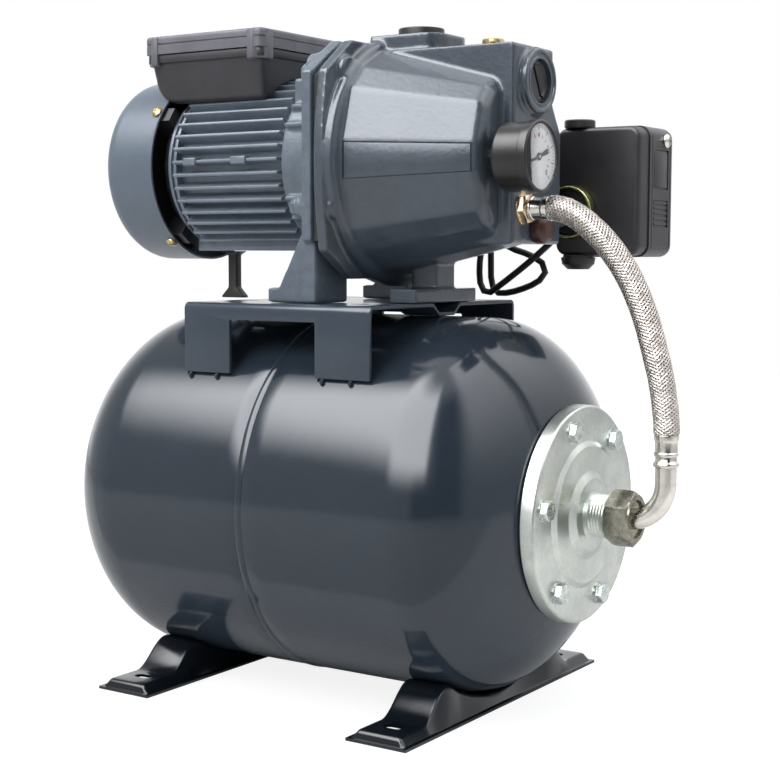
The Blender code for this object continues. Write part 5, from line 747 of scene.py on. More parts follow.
def ring_of(name, part, count, radius, centre, start, finish, spin=0.0):
    """Copies of one part, which was made at the origin along X, on a circle in the YZ plane."""
    pattern = Pattern(name + "_pattern", Count='Int', Radius='Float', Start='Float', Part='Object')
    index = pattern.node("GeometryNodeInputIndex")
    turn = pattern.maths('MULTIPLY', pattern.maths('DIVIDE', index, pattern["Count"]), TAU)
    turn = pattern.maths('ADD', turn, pattern["Start"])
    across = pattern.maths('MULTIPLY', pattern.maths('COSINE', turn), pattern["Radius"])
    up = pattern.maths('MULTIPLY', pattern.maths('SINE', turn), pattern["Radius"])
    place = pattern.node("ShaderNodeCombineXYZ", X=0.0, Y=across, Z=up)
    points = pattern.node("GeometryNodePoints", Count=pattern["Count"], Position=place)
    tilt = pattern.node("ShaderNodeCombineXYZ", X=pattern.maths('ADD', turn, spin), Y=0.0, Z=0.0)
    one = pattern.node("GeometryNodeObjectInfo", result="Geometry", Object=pattern["Part"])
    copies = pattern.node("GeometryNodeInstanceOnPoints", Points=points, Instance=one,
                          Rotation=pattern.node("FunctionNodeEulerToRotation", Euler=tilt))
    moved = pattern.node("GeometryNodeTransform", Geometry=copies, Translation=centre)
    thing = pattern.made(name, moved, finish, Count=count, Radius=radius, Start=start, Part=part)
    bpy.data.objects.remove(part)
    return thing


# %% [markdown]
# ## Tank
# The real shell is two deep-drawn cups of steel with one weld round the middle. A lathe outline gives
# the same body: an elliptical dome, a straight wall with the low bead of the weld, and the second dome
# down to the collar that the flange is bolted to. The mesh is fine, because a glossy shell shows every
# flat in what it mirrors.

# %% Tank shell
TANK_RADIUS, TANK_HALF = 135 * mm, 119 * mm
REAR_DEPTH, FRONT_DEPTH, COLLAR = 90 * mm, 84 * mm, 70 * mm
COLLAR_FACE = 194 * mm


def dome(depth, radius, last, count):
    end = math.acos(last / radius)
    return [(depth * math.sin(end * k / count), radius * math.cos(end * k / count))
            for k in range(count + 1)]


weld = [(-3.6, 0.0), (-2.9, -0.22), (-2.3, 0.12), (-1.2, 0.42), (0.0, 0.52), (1.2, 0.42), (2.3, 0.12),
        (2.9, -0.22), (3.6, 0.0)]
tank_outline = [(-TANK_HALF - s, r) for s, r in dome(REAR_DEPTH, TANK_RADIUS, 0.0, 48)][::-1]
tank_outline += [(-TANK_HALF * (1 - k / 8), TANK_RADIUS) for k in range(1, 8)]
tank_outline += [(s * mm, TANK_RADIUS + r * mm) for s, r in weld]
tank_outline += [(TANK_HALF * k / 8, TANK_RADIUS) for k in range(1, 8)]
tank_outline += [(TANK_HALF + s, r) for s, r in dome(FRONT_DEPTH, TANK_RADIUS, COLLAR, 36)]
tank_outline += [(COLLAR_FACE, COLLAR), (COLLAR_FACE, 0.0)]
tank = turned("tank", tank_outline, 160, (0, 0, TANK_Z))
dressed(tank, tank_enamel, ["tank_shell"], smooth=30)

# %% [markdown]
# ## Tank flange
# A pressed steel cover: a rim that turns back over the collar, a flat ring for the bolts, a raised step
# and the hub of the threaded outlet. All of it is round, so one outline with eased corners does it. The
# press leaves faint rings, and the outlet's thread is a row of small ridges.

# %% Flange
FACE = 201.1 * mm
# Distance from the face, radius and rounding of each corner, in millimetres, from the back outwards.
rim_corners = [(-4, 9, 0), (-4, 72.8, 0), (-11, 72.8, 0), (-11, 75.2, 0.6), (-10.2, 76.2, 0.5),
               (0, 76.0, 2.6), (0, 51.5, 1.5), (2.5, 47.6, 2.0), (2.5, 31.0, 2.0), (6, 25.0, 2.5),
               (6, 17.4, 1.5), (7, 15.0, 0.6)]
rim_corners = [(FACE + s * mm, r * mm, own * mm) for s, r, own in rim_corners]
ridges = [(FACE + (7.6 + 1.1 * k) * mm, (15.2 if k % 2 else 14.3) * mm) for k in range(13)]
flange_outline = filleted(rim_corners, 0.0) + ridges + [(222.1 * mm, 14.2 * mm), (222.1 * mm, 9 * mm)]
flange = turned("flange", flange_outline, 160, (0, 0, TANK_Z), ring=True)

pressed = metal("pressed_zinc", (0.55, 0.585, 0.565), 0.33, 26 * mm, second=(0.67, 0.69, 0.64))
from_axis = pressed.node("VectorMath", {"operation": 'LENGTH'}, output="Value", Vector=pressed.node(
    "Mapping", Vector=pressed.point, Location=(0, 0, -TANK_Z), Scale=(0, 1, 1)))
rings = pressed.node("TexNoise", {"noise_dimensions": '1D'}, W=from_axis, Scale=900.0, Detail=3.0)
pressed.set(Normal=pressed.relief(rings, 0.03 * mm,
                                  under=pressed.relief(pressed.noise(5 * mm), 0.05 * mm)))
dressed(flange, pressed.material, ["tank_flange"], smooth=40)

# %% [markdown]
# ## Hexagon bolts
# Each bolt head is a hexagon whose corners are turned off by a chamfer, on a thin washer face. It is
# the overlap of a hexagon and a turned body. Six of them go round the flange as a pattern.

# %% One bolt head
def hexagon(across_flats, phase=0.0):
    corner = across_flats / math.sqrt(3)
    return [(corner * math.cos(phase + a), corner * math.sin(phase + a)) for a in around(6)]


def hex_head(name, across_flats, height, phase=0.0, dish=0.0):
    """Head that stands on the origin and points along X."""
    corner = across_flats / math.sqrt(3)
    head = prism(name, hexagon(across_flats, phase), 0.0, height, 'X')
    ease = corner - across_flats / 2
    turned_off = turned("turned_off", [(-height, 0), (-height, corner * 1.2),
                                       (height - ease * 0.75, corner * 1.02), (height, corner * 0.84),
                                       (height - dish, corner * 0.5), (height - dish, 0)], 48)
    head = combined(head, [turned_off], 'INTERSECT')
    washer = turned("washer", [(-0.1 * mm, 0), (-0.1 * mm, corner * 1.04), (0.7 * mm, corner * 1.04),
                               (1.0 * mm, corner * 0.9), (1.0 * mm, 0)], 48)
    return joined(eased(head, 0.18 * mm, 1, sharp=20), washer)


BOLT_COUNT, BOLT_CIRCLE = 6, 63 * mm
bolt_head = hex_head("head", 13 * mm, 5.5 * mm, 0.35, 0.3 * mm)
flange_bolts = ring_of("flange_bolts", bolt_head, BOLT_COUNT, BOLT_CIRCLE, (FACE + 0.1 * mm, 0, TANK_Z),
                       math.radians(50), bolt_zinc)
dressed(flange_bolts, bolt_zinc, [f"flange_bolt_{k + 1}" for k in range(BOLT_COUNT)])

# %% [markdown]
# ## Feet
# Each foot is one piece of pressed sheet: a cradle under the tank, a bend at each shoulder, a flat
# pad with a slot at each end and a small lip round the edge. Its face is a net of points: a row of
# heights across the set, and at each height the same rounded cross-section.

# %% Feet
FOOT_HALF, FOOT_WIDE, FOOT_TOP, LIP, SHEET = 138 * mm, 42 * mm, 33 * mm, 3 * mm, 2 * mm
PAD_HEIGHT, PAD_Y, SHOULDER_Y, SHOULDER, CONTACT_Y = 8 * mm, 106 * mm, 74 * mm, 29 * mm, 60 * mm


def foot_height(y):
    side = abs(y)
    contact = TANK_Z - math.sqrt((TANK_RADIUS + 0.3 * mm) ** 2 - min(side, CONTACT_Y) ** 2)
    if side <= CONTACT_Y:
        return contact
    if side < SHOULDER_Y:
        rise = math.sin((side - CONTACT_Y) / (SHOULDER_Y - CONTACT_Y) * TAU / 4)
        return contact + (SHOULDER - contact) * rise
    share = min((side - SHOULDER_Y) / (PAD_Y - SHOULDER_Y), 1.0)
    return SHOULDER + (PAD_HEIGHT - SHOULDER) * (0.5 - 0.5 * math.cos(share * TAU / 2))


def foot_section(height, inset):
    """Half of a cross-section, from the lip to the middle."""
    edge, foot, top = FOOT_WIDE / 2 + LIP, FOOT_WIDE / 2 - 0.6 * inset, FOOT_TOP / 2 - inset
    height -= inset
    ground = 0.0 if inset else SHEET
    height = max(height, ground + 0.05 * mm)
    corners = [(-edge, ground, 0), (-foot - 0.4 * mm, ground, 1.2 * mm), (-top, height, 3.4 * mm),
               (0.0, height, 0)]
    return filleted(corners, 0.0, 4)


def foot_net(centre, inset):
    end = FOOT_HALF - LIP - inset
    ys = [CONTACT_Y * k / 10 for k in range(11)]
    ys += [CONTACT_Y + (PAD_Y - CONTACT_Y) * k / 24 for k in range(1, 25)]
    ys += [PAD_Y + (end - 4 * mm - PAD_Y) * k / 4 for k in range(1, 5)]
    rows = [(y, foot_height(y)) for y in ys]
    for k in range(1, 7):
        a = k * TAU / 24
        rows.append((end - 4 * mm + 4 * mm * math.sin(a), (PAD_HEIGHT - 4 * mm) + 4 * mm * math.cos(a)))
    rows.append((end + 0.5 * mm, SHEET))
    rows.append((FOOT_HALF, SHEET))
    net = []
    for y, height in rows:
        half = foot_section(height, inset)
        net.append([(centre + x, y, z) for x, z in half] + [(centre - x, y, z) for x, z in half[-2::-1]])
    return [[(x, -y, z) for x, y, z in row] for row in net[:0:-1]] + net


def slot_shape(length, width, steps=10):
    half = (length - width) / 2
    ends = [(1, -TAU / 4), (-1, TAU / 4)]
    return [(side * half + width / 2 * math.cos(start + k * TAU / 2 / steps),
             width / 2 * math.sin(start + k * TAU / 2 / steps))
            for side, start in ends for k in range(steps + 1)]


for name, centre in (("rear_foot", -107 * mm), ("front_foot", 118 * mm)):
    foot = skin(name + "_pressing", foot_net(centre, 0.0), foot_net(centre, SHEET))
    slots = [prism("slot", slot_shape(14 * mm, 8 * mm), -5 * mm, 20 * mm, 'Z',
                   (centre, side * 116 * mm, 0)) for side in (-1, 1)]
    dressed(cut(foot, *slots), foot_enamel, [name], smooth=45)

# %% [markdown]
# ## Bracket
# One sheet is bent down at both sides and stands on the tank, where small weld tacks hold it. Each side
# has a window between two legs. In front the sheet is pressed down into a trough for the drain. The
# sheet is a skin between two nets; the window and the slots are cut afterwards, and the cut edges are
# eased, because the bright thin line along such an edge is what makes sheet look like sheet.

# %% Bracket
TOP_Z, HALF, BEND, PLATE = 288.5 * mm, 100 * mm, 5 * mm, 2.5 * mm
TROUGH = (46 * mm, 58 * mm)


def bracket_section(x, inset):
    share = min(max((x - TROUGH[0]) / (TROUGH[1] - TROUGH[0]), 0.0), 1.0)
    drop = (0.5 - 0.5 * math.cos(share * TAU / 2)) * (TOP_Z - PLATE - TANK_Z - TANK_RADIUS - 0.3 * mm)
    low = TANK_Z + math.sqrt((TANK_RADIUS + 0.3 * mm) ** 2 - (HALF - PLATE) ** 2)
    half, top, bend = HALF - inset, TOP_Z - inset, BEND - inset
    side = [(half, low), (half, top - bend)]
    side += [(half - bend + bend * math.cos(a), top - bend + bend * math.sin(a))
             for a in (k * TAU / 32 for k in range(1, 9))]
    for k in range(9):
        t = k / 8
        side.append((20 * mm - 11 * mm * t, top - drop * (0.5 - 0.5 * math.cos(t * TAU / 2))))
    return [(x, -y, z) for y, z in side] + [(x, y, z) for y, z in side[::-1]]


trough_stations = [TROUGH[0] + (TROUGH[1] - TROUGH[0]) * k / 10 for k in range(11)]
stations = [-77 * mm, *trough_stations, 87 * mm]
bracket = skin("bracket", [bracket_section(x, 0.0) for x in stations],
               [bracket_section(x, PLATE) for x in stations])
window = loop_filleted([(-35 * mm, 150 * mm, 0), (-35 * mm, 276.5 * mm, 1.5 * mm),
                        (41 * mm, 276.5 * mm, 1.5 * mm), (41 * mm, 150 * mm, 0)], 0.0)
holes = [prism("window", window, -0.2, 0.2, 'Y')]
for side in (-1, 1):
    holes.append(prism("slot", slot_shape(16 * mm, 8 * mm), 0.27, 0.30, 'Z',
                       (56 * mm, side * 66 * mm, 0)))
    holes.append(prism("slot", slot_shape(15 * mm, 8 * mm), 0.27, 0.30, 'Z',
                       (-64 * mm, side * 40 * mm, 0)))
bracket = eased(cut(bracket, *holes), 0.5 * mm, 2, sharp=50)
dressed(bracket, bracket_enamel, ["pump_bracket"])

# %% Weld tacks
tack = turned("tack", [(-1.2 * mm, 0), (-1.0 * mm, 1.8 * mm), (0.2 * mm, 2.6 * mm), (1.2 * mm, 1.9 * mm),
                       (1.6 * mm, 0)], 14)
tacks = Pattern("tack_row", Part='Object')
spots = [(x * mm, side * 100.2 * mm, 235.4 * mm) for x in (-71, -46.5, 47.5, 71.5) for side in (-1, 1)]
places = None
for spot in spots:
    one = tacks.node("GeometryNodePoints", Count=1, Position=spot)
    if places:
        join = tacks.tree.nodes.new("GeometryNodeJoinGeometry")
        tacks.tree.links.new(places, join.inputs[0])
        tacks.tree.links.new(one, join.inputs[0])
        one = join.outputs[0]
    places = one
tack_shape = tacks.node("GeometryNodeObjectInfo", result="Geometry", Object=tacks["Part"])
dots = tacks.node("GeometryNodeInstanceOnPoints", Points=places, Instance=tack_shape)
dressed(tacks.made("weld_tacks", dots, bracket_enamel, Part=tack), bracket_enamel)
bpy.data.objects.remove(tack)

# %% [markdown]
# ## Motor frame
# The frame is one extrusion: a round core with forty-one straight fins and a flat sole. A fin has
# nearly parallel sides, a rounded tip and a foot that widens into the core. One fin is pressed, and a
# pattern puts it all round; what would reach below the sole is flattened to the sole's level.

# %% Fins round the core
AXIS = (0, 0, SHAFT_Z)
FRAME = (-127 * mm, -16 * mm)
FIN_ENDS = (-118 * mm, -18 * mm)
fin_side = [(53 * mm, -2.6 * mm, 0), (56.2 * mm, -1.9 * mm, 1.6 * mm), (65.9 * mm, -1.15 * mm, 0.9 * mm)]
fin_outline = filleted([(52 * mm, -3.4 * mm), *fin_side, *[(y, -z, r) for y, z, r in fin_side[::-1]],
                        (52 * mm, 3.4 * mm)], 0.0, 4)
fin = prism("fin", fin_outline, *FIN_ENDS)
bm = bmesh.new()
bm.from_mesh(fin.data)
end_edges = [e for e in bm.edges if abs(e.verts[0].co.x - e.verts[1].co.x) < 1e-5
             and max(v.co.y for v in e.verts) > 56 * mm]
bmesh.ops.bevel(bm, geom=end_edges, offset=0.5 * mm, segments=1, profile=0.5, affect='EDGES')
bm.to_mesh(fin.data)
bm.free()
FINS = 41
fins = ring_of("fins", fin, FINS, 0.0, AXIS, TAU / 4, frame_paint_and_highlight)
core_ends = [(FRAME[0], 46 * mm), (FRAME[0], 55.2 * mm), (FRAME[1], 55.2 * mm), (FRAME[1], 46 * mm)]
core = turned("core", filleted(core_ends, 0.8 * mm), 96, AXIS, ring=True)
SOLE_Z = 326 * mm
sole = eased(block("sole", FRAME, (-26 * mm, 26 * mm), (SOLE_Z, 341 * mm)), 1.2 * mm)
bm = bmesh.new()
bm.from_mesh(fins.data)
for v in bm.verts:
    v.co.z = max(v.co.z, SOLE_Z)
bm.to_mesh(fins.data)
bm.free()
dressed(fins, frame_paint_and_highlight, ["motor_frame"], smooth=30)
dressed(core, frame_paint_and_highlight)
dressed(sole, frame_paint_and_highlight)

# %% Rings, lugs and the small pad on the frame
def frame_ring(name, x, wide, radius):
    outline = filleted([(x - wide / 2, 54 * mm), (x - wide / 2, radius), (x + wide / 2, radius),
                        (x + wide / 2, 54 * mm)], 0.5 * mm, 3)
    return turned(name, outline, 96, AXIS, ring=True)


dressed(frame_ring("rear_ring", -125.5 * mm, 2.9 * mm, 60.2 * mm), frame_paint_and_highlight)
dressed(frame_ring("second_ring", -119.6 * mm, 2.9 * mm, 61.0 * mm), frame_paint_and_highlight)
for side in (-1, 1):
    for low, high in ((-106.5, -94.5), (-60.5, -46.5)):
        pad = block("pad", (low * mm, high * mm), sorted((side * 60 * mm, side * 67.2 * mm)),
                    (389.6 * mm, 395.4 * mm))
        dressed(eased(pad, 0.9 * mm, 3), frame_paint_and_highlight)

# %% [markdown]
# ## Fan cover
# A cowl pressed from thin sheet, with a soft shoulder and a rolled rim, over the fan. Its rear face
# has a star of slots. The lathe makes the shell, and one slot is copied round and cut through.

# %% Fan cover
cowl = filleted([(-135 * mm, 69.2 * mm, 0), (-135 * mm, 70.9 * mm, 0.5 * mm),
                 (-136.6 * mm, 70.6 * mm, 0.8 * mm), (-186 * mm, 70.6 * mm, 13 * mm), (-186 * mm, 0, 0)],
                 0.0, 12)
cowl += filleted([(-184.6 * mm, 0, 0), (-184.6 * mm, 69.2 * mm, 11.6 * mm), (-135 * mm, 69.2 * mm, 0)],
                 0.0, 12)
cover = turned("cover", cowl[:-1], 128, AXIS, ring=True)
openings = []
SLOTS, SLOT_RADIUS = 12, 34.5 * mm
for angle in around(SLOTS, TAU / SLOTS / 2):
    slot = prism("slot", slot_shape(35 * mm, 6 * mm, 6), -0.20, -0.17)
    place = Vector(AXIS) + Vector((0, math.cos(angle), math.sin(angle))) * SLOT_RADIUS
    slot.data.transform(Matrix.Translation(place) @ Matrix.Rotation(angle, 4, 'X'))
    openings.append(slot)
cover = cut(cover, *openings)
dressed(cover, cowl_paint, ["fan_cover"], smooth=32)


def pan_screw(name, radius, height, across=True):
    """Round-head screw along X with a cross slot."""
    head = turned(name, filleted([(-3 * mm, 0, 0), (-3 * mm, radius * 0.5, 0), (0, radius * 0.5, 0),
                                  (0, radius, 0.3 * mm),
                                  (height * 0.45, radius, 0.8 * mm), (height, radius * 0.5, 1.5 * mm),
                                  (height, 0, 0)], 0.0), 40)
    tools = [block("slot", (height - 1.1 * mm, height + 1 * mm), (-radius * 0.62, radius * 0.62),
                   (-0.45 * mm, 0.45 * mm))]
    if across:
        tools.append(block("slot", (height - 1.1 * mm, height + 1 * mm), (-0.45 * mm, 0.45 * mm),
                           (-radius * 0.62, radius * 0.62)))
    return cut(head, *tools)


for k, angle in enumerate(math.radians(a) for a in (144, 234, 324)):
    screw = pan_screw(f"cowl_screw_{k + 1}", 4.3 * mm, 2.6 * mm)
    out = Vector((0, math.cos(angle), math.sin(angle)))
    place = Vector((-140 * mm, 0, SHAFT_Z)) + out * 70.8 * mm
    facing = out.to_track_quat('X', 'Z').to_matrix().to_4x4()
    screw.data.transform(Matrix.Translation(place) @ facing)
    dressed(screw, brass, [f"cover_screw_{k + 1}"])

# %% [markdown]
# ## Prop under the motor
# A moulded post stands between the bracket and the flat sole of the frame. It flares at both ends.

# %% Prop
half_post = [(10.4, 288.9, 0.4), (10.4, 290.2, 0.8), (3.7, 297, 2.5), (3.7, 322.5, 2), (9.6, 325.6, 0.4)]
post = in_mm(half_post + [(-x, z, r) for x, z, r in half_post[::-1]])
prop = eased(prism("prop", loop_filleted(post, 0.0), -3.5 * mm, 3.5 * mm, 'Y', (-111 * mm, 0, 0)),
             0.6 * mm, 2, sharp=60)
dressed(prop, black_part, ["motor_support"])

# %% [markdown]
# ## Castings
# The pump and the bracket between pump and motor are sand castings in iron. On a casting no edge is
# sharp: every corner and every inner fillet has a radius, because sand can't hold an edge. Rounding
# each joint by hand would take days, so plain bodies are laid into each other, one even skin is made
# over all of them (a voxel remesh), and the skin is relaxed a little. That rounds all corners alike.
# What was machined afterwards is cut last, or is a separate turned piece, and keeps its crisp edges.

# %% From plain bodies to a casting
def cast(name, parts, grain=1.25 * mm, passes=5):
    """One even skin over bodies that lie in each other, relaxed until its corners are round."""
    bm = bmesh.new()
    for part in parts:
        bm.from_mesh(part.data)
        bpy.data.objects.remove(part)
    thing = solid(name, bm)
    changed(thing, 'REMESH', mode='VOXEL', voxel_size=grain, adaptivity=0.0, use_smooth_shade=True)
    changed(thing, 'SMOOTH', factor=0.5, iterations=passes)
    return thing


def casting_side(half, side_top, top_z, top_half, side_bottom, bottom_z, bottom_half, bulge):
    """Outline of a flange in YZ: its right side may bulge, and the left one mirrors it."""
    right = [(bottom_half, bottom_z)]
    for k in range(17):
        share = k / 16
        right.append((half + bulge * math.sin(share * TAU / 2),
                      side_bottom + (side_top - side_bottom) * share))
    right = in_mm([*right, (top_half, top_z)])
    return right + [(-y, z) for y, z in right[::-1]]


# %% [markdown]
# ## Bracket casting of the motor
# A drum takes the front of the frame, a flange with cut corners meets the pump, and two legs with
# gussets stand on the bracket.

# %% Bracket casting
STAND_Z = 288.8


def motor_casting():
    flange_side = casting_side(half=85, side_top=451, top_z=475, top_half=50, side_bottom=333,
                               bottom_z=319, bottom_half=55, bulge=0)
    plate = prism("plate", flange_side, 18 * mm, 27 * mm)
    drum = turned("drum", [(-15.7 * mm, 0), (-15.7 * mm, 63.5 * mm), (-14 * mm, 65 * mm),
                           (20 * mm, 66 * mm), (20 * mm, 0)], 96, AXIS)
    parts = [plate, drum]
    leg = in_mm([(-15, STAND_Z), (27, STAND_Z), (27, 345), (14, 337), (-5.5, 299.5), (-15, 299.5)])
    for side in (-1, 1):
        parts.append(prism("leg", leg, *sorted((side * 80 * mm, side * 40 * mm)), 'Y'))
        for angle in (math.radians(a) for a in (38, 24, -24, -38)):
            y, z = 65 * mm * math.cos(angle), SHAFT_Z + 65 * mm * math.sin(angle)
            parts.append(block("rib", (-12 * mm, 20 * mm),
                               sorted((side * (y - 6 * mm), side * (y + 6 * mm))),
                               (z - 1.8 * mm, z + 1.8 * mm)))
    for y, z in ((62, 456), (-62, 456), (76, 357), (-76, 357)):
        parts.append(rod("boss", 9.5 * mm, 12 * mm, 20 * mm, 32, (0, y * mm, z * mm)))
    parts.append(block("pad", (-15.4 * mm, -6 * mm), (-48 * mm, -34 * mm), (430 * mm, 451 * mm)))
    bore = rod("bore", 40 * mm, -30 * mm, 10 * mm, 48, AXIS)
    return cut(cast("motor_casting", parts), bore, rod("seal_bore", 15 * mm, 0, 40 * mm, 32, AXIS))


dressed(motor_casting(), flange_paint, ["motor_bracket"], smooth=60)

BOLT_PLACES = [(side * y * mm, z * mm) for side in (-1, 1) for y, z in ((62, 452), (76, 357))]
for k, (y, z) in enumerate(BOLT_PLACES):
    bolt = hex_head(f"casting_bolt_{k + 1}", 13 * mm, 5.5 * mm, 0.4 + k, 0.3 * mm)
    shank = rod("shank", 4 * mm, -25 * mm, 0.5 * mm, 24)
    bolt = joined(bolt, shank)
    bolt.data.transform(Matrix.Translation((11.6 * mm, y, z)) @ Matrix.Rotation(TAU / 2, 4, 'Z'))
    dressed(bolt, flange_paint, [f"body_bolt_{k + 1}"])

# %% [markdown]
# ## Pump casting
# The barrel leaves the flange as a round shoulder and turns into flat facets, like a cut stone, that
# narrow towards the front. Each cross-section is one ring of the same number of points, so the shoulder
# is only a ring that goes from a circle to the polygon. A raised panel lies on the facet at the side.

# %% Barrel
BARREL_BACK, BARREL_FRONT = (35.4, 89.0), (141.0, 63.0)
# Angle in degrees from the side of the barrel, and the share of its radius there, for each corner.
FACETS = ((-90, 0.96), (-69, 0.985), (-49, 1.0), (-35, 1.0), (-11, 0.955), (9, 0.95), (35, 1.0),
          (50, 1.0), (70, 0.985), (90, 0.97))
far_facets = [(180 - a, s) for a, s in FACETS[-2:0:-1]]
corner_list = [(math.radians(a), s) for a, s in (*FACETS, *far_facets)]


def facet_radius(angle):
    """Radius of the faceted outline, as a share, in one direction from the side of the barrel."""
    angle = (angle + TAU / 4) % TAU - TAU / 4
    loop = corner_list + [(corner_list[0][0] + TAU, corner_list[0][1])]
    for (a, r), (b, s) in zip(loop, loop[1:]):
        if a <= angle <= b:
            return r * s * math.sin(b - a) / (r * math.sin(angle - a) + s * math.sin(b - angle))
    return 1.0


def barrel_radius(x):
    """The barrel narrows evenly from back to front; in millimetres."""
    (back_x, back_radius), (front_x, front_radius) = BARREL_BACK, BARREL_FRONT
    return back_radius - (x - back_x) * (back_radius - front_radius) / (front_x - back_x)


def barrel_ring(x, radius, faceted):
    points = []
    for angle in around(180, -TAU / 4):
        r = radius * ((1 - faceted) + faceted * facet_radius(angle)) * mm
        points.append((x * mm, -r * math.cos(angle), SHAFT_Z + r * math.sin(angle)))
    return points


def loft(name, rings):
    bm = bmesh.new()
    loops = [[bm.verts.new(p) for p in ring] for ring in rings]
    for first, second in zip(loops, loops[1:]):
        for k in range(len(first)):
            n = (k + 1) % len(first)
            bm.faces.new((first[k], first[n], second[n], second[k]))
    bm.faces.new(loops[0])
    bm.faces.new(loops[-1])
    return solid(name, bm)


rings = [barrel_ring(37, 90.0, 0.0), barrel_ring(45, 90.0, 0.0), barrel_ring(47.5, 89.2, 0.05),
         barrel_ring(49, 87.6, 0.4), barrel_ring(50.2, barrel_radius(50.2), 1.0)]
rings += [barrel_ring(x, barrel_radius(x), 1.0) for x in (65, 80, 100, 120, 141)]
rings += [barrel_ring(144.5, 60.5, 1.0), barrel_ring(147, 56, 1.0)]
barrel = loft("barrel", rings)


def on_facet(x, angle, lift):
    """Point over the side facet, lifted along the facet."""
    r = barrel_radius(x) * facet_radius(math.radians(angle)) + lift
    return Vector((x * mm, -r * math.cos(math.radians(angle)) * mm,
                   SHAFT_Z + r * math.sin(math.radians(angle)) * mm))


def facet_panel(name, low, high, start, end, depths):
    corners = ((start, low), (end, low), (end, high), (start, high))
    return loft(name, [[on_facet(x, angle, lift) for x, angle in corners] for lift in depths])


# %% Head, spine and bosses
SUCTION_PORT = (0, 0, 443.5 * mm)
DISCHARGE_PORT = (64 * mm, 0, 0)
SWITCH_PORT = (148 * mm, 0, 355 * mm)


def pump_casting():
    flange_side = casting_side(half=85, side_top=451, top_z=474, top_half=55, side_bottom=326,
                               bottom_z=306, bottom_half=55, bulge=6)
    plate = prism("plate", flange_side, 33 * mm, 41 * mm)
    head_outline = ((-29, 331), (-29, 468), (29, 468), (29, 430), (42, 409), (42, 331))
    head = prism("head", in_mm(head_outline), 127 * mm, 157 * mm)
    head = eased(head, 2.0 * mm, 2, lambda e: min(v.co.x for v in e.verts) > 156 * mm)
    spine = block("spine", (56 * mm, 146 * mm), (-29 * mm, 29 * mm), (400 * mm, 468 * mm))
    boss_plan = in_mm([(36, -26, 1), (92, -26, 18), (92, 26, 18), (36, 26, 1)])
    boss = prism("boss", loop_filleted(boss_plan, 0.0, 12), 430 * mm, 480 * mm, 'Z')
    port = rod("port", 23.5 * mm, 140 * mm, 160 * mm, 72, SUCTION_PORT)
    cheek = rod("cheek", 12 * mm, 20 * mm, 56 * mm, 48, SWITCH_PORT, 'Y')
    leg = block("leg", (64 * mm, 86 * mm), (-13 * mm, 13 * mm), (STAND_Z * mm, 330 * mm))
    bar = block("bar", (64 * mm, 87 * mm), (-42 * mm, 42 * mm), (STAND_Z * mm, (STAND_Z + 10) * mm))
    lugs = [rod("lug", 10 * mm, 39 * mm, 45 * mm, 32, (0, y, z)) for y, z in BOLT_PLACES]
    bodies = [plate, barrel, head, spine, boss, port, cheek, leg, bar, *lugs]
    bores = [turned("chamber", [(20 * mm, 0), (20 * mm, 72 * mm), (120 * mm, 50 * mm),
                                (137 * mm, 40 * mm), (137 * mm, 0)], 64, AXIS),
             rod("suction", 16 * mm, 125 * mm, 170 * mm, 64, SUCTION_PORT),
             rod("discharge", 17.1 * mm, 420 * mm, 490 * mm, 64, DISCHARGE_PORT, 'Z'),
             facet_panel("pocket", -10.2, 8.4, 50.6, 150, (-1.0, 4))]
    return cut(cast("pump_casting", bodies, 1.2 * mm, 4), *bores)


dressed(pump_casting(), cast_paint, ["pump_body"], smooth=60)

panel = eased(facet_panel("side_panel", -9.8, 7.6, 51.4, 141, (-4, 0.35)), 0.35 * mm, 2)
dressed(panel, cast_paint, smooth=50)

# %% Machined ring of the suction port
ring_corners = [(158.5, 15.2, 0), (158.5, 22.4, 0), (162.2, 22.4, 0.8), (163.0, 21.4, 0.5),
                (163.0, 19.4, 0.5), (161.8, 18.9, 0.4), (161.8, 17.2, 0.4), (162.4, 16.6, 0.4),
                (162.4, 15.2, 0.3)]
suction_ring = turned("suction_ring", filleted(in_mm(ring_corners), 0.0, 4), 96, SUCTION_PORT, ring=True)
dressed(suction_ring, cast_paint)

# %% [markdown]
# ## Plugs
# Both ports are closed with moulded plugs that have a slot for a coin. The filler is a brass plug with
# a hexagon. The drain below the hose is a small reddish plug.

# %% Plugs
def slot_plug(name, radius, start, end, centre, along, turn):
    corners = [(start, 0, 0), (start, radius, 0), (end, radius, 0.9 * mm),
               (end, radius - 3 * mm, 0.4 * mm), (end - 0.8 * mm, radius - 3.6 * mm, 0.4 * mm),
               (end - 0.8 * mm, 0, 0)]
    plug = turned(name, filleted(corners, 0.0, 3), 72, (0, 0, 0))
    slot = block("slot", (end - 3.4 * mm, end + 3 * mm), (-radius * 0.93, radius * 0.93),
                 (-1.25 * mm, 1.25 * mm))
    slot.data.transform(Matrix.Rotation(turn, 4, 'X'))
    plug = eased(cut(plug, slot), 0.25 * mm, 2, lambda e: min(v.co.x for v in e.verts) > end - 2 * mm, 50)
    if along == 'Z':
        plug.data.transform(Matrix.Rotation(-TAU / 4, 4, 'Y'))
    plug.data.transform(Matrix.Translation(centre))
    return plug


dressed(slot_plug("suction_cap", 14.7 * mm, 150 * mm, 160 * mm, SUCTION_PORT, 'X', math.radians(-62)),
        black_part, ["suction_plug"])
dressed(slot_plug("discharge_cap", 16.7 * mm, 470 * mm, 486 * mm, DISCHARGE_PORT, 'Z', 0.3), black_part,
        ["discharge_plug"])

